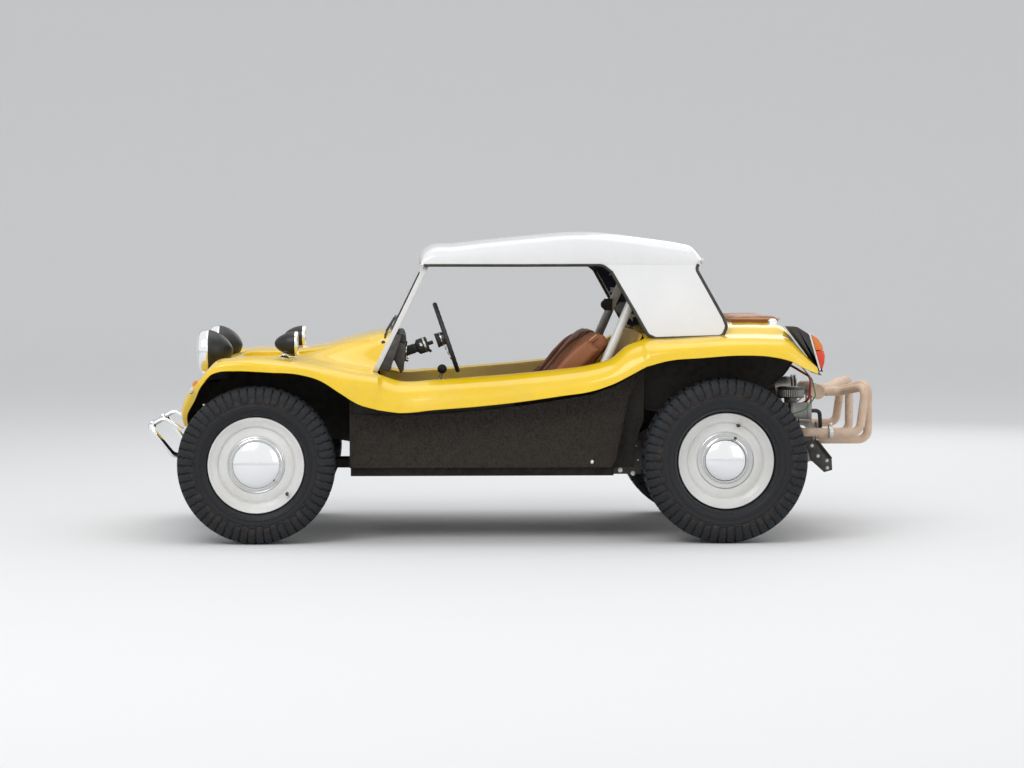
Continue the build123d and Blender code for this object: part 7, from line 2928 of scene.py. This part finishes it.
    def plumbing(self) -> None:
        """Canister, hoses, coil, wires and throttle rod."""
        can = Shape()
        can.turn([(TIP, 0.0), (0.034, 0.001), (0.0392, 0.006), (0.0392, 0.020), (0.0375, 0.022),
                  (0.0375, 0.078), (0.0392, 0.080), (0.0392, 0.092), (0.034, 0.0975), (0.012, 0.098)],
                 (1.234, -0.346, 0.5515), BACK, 40)
        can.box((1.2385, -0.345, 0.4578), (1.2615, -0.2575, 0.5165))
        can.place("oil_canister", CAST, soften=0.0015)
        coil = Shape()
        coil.turn([(TIP, -0.002), (0.022, 0.0), (0.0235, 0.004), (0.0235, 0.085), (0.020, 0.090),
                   (0.009, 0.094), (0.008, 0.112), (TIP, 0.113)], (1.200, -0.215, 0.700), (0, 0.35, 1), 28)
        coil.place("ignition_coil", PLASTIC)
        rod = Shape()
        rod.tube(across([(1.285, -0.262, 0.590), (1.310, -0.200, 0.600)]), 0.0035, 10, 0.02)
        rod.place("throttle_rod", ZINC)
        band("fuel_hose", HOSE_RED,
             [(1.282, -0.285, 0.570), (1.330, -0.330, 0.600), (1.338, -0.300, 0.700), (1.270, -0.180, 0.745),
              (1.180, -0.120, 0.770)], 0.0055, "chassis", 12, 0.04)
        band("oil_hose", TRIM_RUBBER,
             [(1.333, -0.346, 0.5515), (1.372, -0.346, 0.552), (1.380, -0.320, 0.480), (1.350, -0.240, 0.370),
              (1.300, -0.130, 0.330)], 0.009, "chassis", 14, 0.035)
        for k, y in enumerate((-0.060, 0.060)):
            for x in (1.150, 1.295):
                band(f"plug_lead_{k}_{int(x * 1000)}", TRIM_RUBBER,
                     [(1.205, y * 0.5, 0.560), (x, y * 2.2, 0.555), (x, y * 3.6, 0.510), (x, y * 4.0, 0.480)],
                     0.0035, "chassis", 8, 0.03)
        band("loom_green", WIRE_GREEN,
             [(1.205, -0.215, 0.800), (1.290, -0.260, 0.760), (1.345, -0.300, 0.690), (1.350, -0.380, 0.620),
              (1.300, -0.420, 0.560), (1.180, -0.410, 0.520)], 0.003, "chassis", 8, 0.04)


@dataclass
class Running:
    """Axles, arms, dampers, gearbox and the bolts and boots on them."""

    front_axle: tuple[float, float] = (-1.1255, 0.342)
    rear_axle: tuple[float, float] = (0.9065, 0.357)
    front_damper: tuple[float, float] = (-1.3095, 0.425)
    rear_damper_x: float = 0.9628
    knuckle_y: float = 0.6285

    def build(self) -> None:
        """Dresses the kept solids and adds what sits on them."""
        dress(BLACK_STEEL, "front_axle_beam", "trailing_arms", "rear_suspension")
        for side in Side:
            dress(BLACK_STEEL, f"knuckle_{side.name.lower()}")
        dress(STEEL, "steering_linkage")
        dress(CAST, "gearbox")
        self.dampers()
        self.fasteners()
        hose = Shape()
        for s in HANDS:
            hose.tube([(-1.055, s * 0.400, 0.470), (-1.050, s * 0.450, 0.490), (-1.075, s * 0.540, 0.455),
                       (-1.085, s * 0.600, 0.400)], 0.005, 10, 0.03)
        hose.place("brake_hoses", TRIM_RUBBER)

    def dampers(self) -> None:
        """Boots on the rear axle, and the dampers with the rear ones' springs."""
        boots, bodies, rods = Shape(), Shape(), Shape()
        for s in HANDS:
            rows = [(0.0325, 0.125)]
            for i in range(7):
                r = 0.060 - i * 0.0035
                rows += [(r, 0.135 + i * 0.0125), (r - 0.010, 0.141 + i * 0.0125)]
            boots.turn(rows + [(0.0325, 0.226)], (self.rear_axle[0], 0, self.rear_axle[1]), (0, s, 0), 36)
            x = self.rear_damper_x
            foot, head = Vector((x, s * 0.430, 0.342)), Vector((x, s * 0.400, 0.687))
            up = head - foot
            bodies.turn([(TIP, 0.0), (0.0200, 0.001), (0.0215, 0.008), (0.0215, 0.170), (0.019, 0.176),
                         (0.0235, 0.178), (0.0235, 0.318), (0.020, 0.330), (TIP, 0.331)], foot, up, 28)
            coil = [foot + up * (0.05 + 0.84 * t / 120)
                    + Vector((math.cos(t * math.pi / 6), math.sin(t * math.pi / 6), 0)) * 0.0215
                    for t in range(121)]
            rods.tube(coil, 0.0024, 8, 0.0)
            rods.turn([(TIP, 0.0), (0.0078, 0.0), (0.0078, 0.040), (TIP, 0.040)], (x, s * 0.406, 0.667),
                      (0, s, 0), 20)
            x, y = self.front_damper
            bodies.turn([(TIP, 0.262), (0.0175, 0.263), (0.0195, 0.268), (0.0195, 0.375), (0.0170, 0.380),
                         (0.0198, 0.382), (0.0198, 0.478), (TIP, 0.4835)], (x, s * y, 0), UP, 24)
        boots.place("axle_boots", TRIM_RUBBER)
        bodies.place("damper_bodies", SHROUD_BLACK, "shock_absorbers")
        rods.place("damper_springs", STEEL)

    def fasteners(self) -> None:
        """Bolts on the spring plates, the knuckles and the fenders."""
        cover = [(0.466, -0.5125, 0.405), (0.529, -0.5125, 0.405), (0.466, -0.5125, 0.300),
                 (0.522, -0.5125, 0.2855), (0.448, -0.5125, 0.360), (0.544, -0.5125, 0.345)]
        arm = [(0.590, -0.5205, 0.372), (0.590, -0.5205, 0.335), (0.780, -0.5205, 0.380),
               (0.780, -0.5205, 0.330), (0.860, -0.5205, 0.385), (0.860, -0.5205, 0.328)]
        bolts("suspension_bolts", "chassis", sides(cover + arm), [(0, -1, 0)] * 12 + [ACROSS] * 12, 0.0075)
        x, z = self.front_axle
        for side in Side:
            knuckle = f"knuckle_{side.name.lower()}"
            spots = [(x + 0.070 * math.cos(k * 1.2566), self.knuckle_y * side.value,
                      z + 0.070 * math.sin(k * 1.2566)) for k in range(5)]
            bolts(knuckle.replace("_", "_bolts_"), knuckle, spots, [(0, -side.value, 0)] * 5, 0.006)
        under = [(-1.348, -0.7555, 0.604), (-1.21, -0.752, 0.655), (-1.05, -0.748, 0.668)]
        bolts("fender_bolts", "chassis", sides([(x, y + 0.020, z) for x, y, z in under]),
              [(0, -0.5, -0.86)] * 3 + [(0, 0.5, -0.86)] * 3, 0.0055)

@dataclass
class Studio:
    """Floor, lights, world and camera."""

    camera: Point = (-0.504, -13.310, 1.265)
    sensor: float = 36.0
    width_px: float = 1024.0
    # The focal length, and how far the optical axis is moved right and down, in pixels.
    focal: float = 2914.0
    axis_px: tuple[float, float] = (112.0, 133.0)

    def build(self) -> None:
        """Sets the stage."""
        self.floor()
        self.lights()
        self.world()
        self.place_camera()

    def floor(self) -> None:
        """A plain pale floor that curves up into a backdrop."""
        shape = Shape()
        profile = [(-30.0, 0.0), (14.0, 0.0), (17.0, 0.4), (19.3, 1.8), (20.6, 4.5), (21.0, 16.0)]
        rows = profile[:1] + spread(profile[1:], 8)
        shape.loft([[(-40.0, y, z), (40.0, y, z)] for y, z in rows], False, False)
        floor = shape.build("floor", FLOOR)
        look(floor, UP)

    def lights(self) -> None:
        """A broad key from above the front left, a fill and a rim."""
        for name, place, size, power, aim in (
                ("key", (-3.5, -6.5, 6.5), 4.5, 230.0, (-0.1, 0.0, 0.5)),
                ("fill", (5.5, -7.0, 3.2), 4.0, 60.0, (0.2, 0.0, 0.6)),
                ("top", (0.2, 0.5, 7.0), 5.0, 110.0, (0.0, 0.0, 0.0)),
                ("rim", (3.0, 6.5, 4.0), 4.0, 70.0, (0.2, 0.0, 0.7))):
            data = bpy.data.lights.new(name, "AREA")
            data.shape = "SQUARE"
            data.size = size
            data.energy = power
            lamp = linked(name, data)
            lamp.location = place
            lamp.rotation_euler = (Vector(aim) - Vector(place)).to_track_quat("-Z", "Y").to_euler()

    def world(self) -> None:
        """A soft sky: pale for the camera, graded for reflections."""
        world = bpy.data.worlds.new("studio")
        bpy.context.scene.world = world
        world.use_nodes = True
        world.node_tree.nodes.clear()
        tree = Tree(world.node_tree)
        place = tree.node("ShaderNodeTexCoord").outputs["Generated"]
        height = Value(tree, tree.node("ShaderNodeSeparateXYZ", {}, {0: place}).outputs[2])
        sky = tree.mix(height.ramp(-0.05, 0.6), (0.75, 0.75, 0.75), (0.92, 0.95, 1.0))
        soft = tree.node("ShaderNodeBackground", {}, {"Color": sky, "Strength": 0.78})
        plain = tree.node("ShaderNodeBackground", {}, {"Color": (1.0, 1.0, 1.0), "Strength": 1.0})
        rays = tree.node("ShaderNodeLightPath").outputs
        seen = Value(tree, rays["Is Camera Ray"])
        for kind in ("Is Glossy Ray", "Is Transmission Ray"):
            seen = seen.math("MAXIMUM", rays[kind])
        both = tree.node("ShaderNodeMixShader", {}, {0: seen, 1: soft.outputs[0], 2: plain.outputs[0]})
        tree.node("ShaderNodeOutputWorld", {}, {"Surface": both.outputs[0]})

    def place_camera(self) -> None:
        """The photograph's camera: long lens, a little above the roof line, turned to the right and down."""
        data = bpy.data.cameras.new("camera")
        data.sensor_width = self.sensor
        data.lens = self.focal * self.sensor / self.width_px
        camera = linked("camera", data)
        camera.location = self.camera
        aim = Vector((self.axis_px[0] / self.focal, 1.0, -self.axis_px[1] / self.focal))
        camera.rotation_euler = aim.to_track_quat("-Z", "Y").to_euler()
        data.clip_end = 100.0
        bpy.context.scene.camera = camera
        bpy.context.scene.view_settings.view_transform = "Standard"


def save_size() -> None:
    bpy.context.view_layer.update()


def main() -> None:
    """Builds every assembly in order."""
    logging.basicConfig(level=logging.INFO, format="%(name)s %(message)s")
    save_size()
    for assembly in ASSEMBLIES:
        log.info("building %s", type(assembly).__name__)
        assembly.build()
    Studio().build()
    save_size()


ASSEMBLIES = [
    BodyShell(), Hood(), Hardtop(), Windscreen(),
    Wheel(Axle.FRONT, (-1.1255, 0.6775, 0.342), 0.342, 0.1025, 0.115, (0.133, -0.124), RUBBER_FRONT),
    Wheel(Axle.REAR, (0.9065, 0.690, 0.357), 0.357, 0.120, 0.103, (0.056, 0.152), RUBBER_REAR,
          hole=(0.043, 0.0965)),
    Lamps(), Mirrors(), Steering(), Cockpit(), Seats(), RearCabin(), Ends(), Power(), Running(),
]

if __name__ == "__main__":
    main()
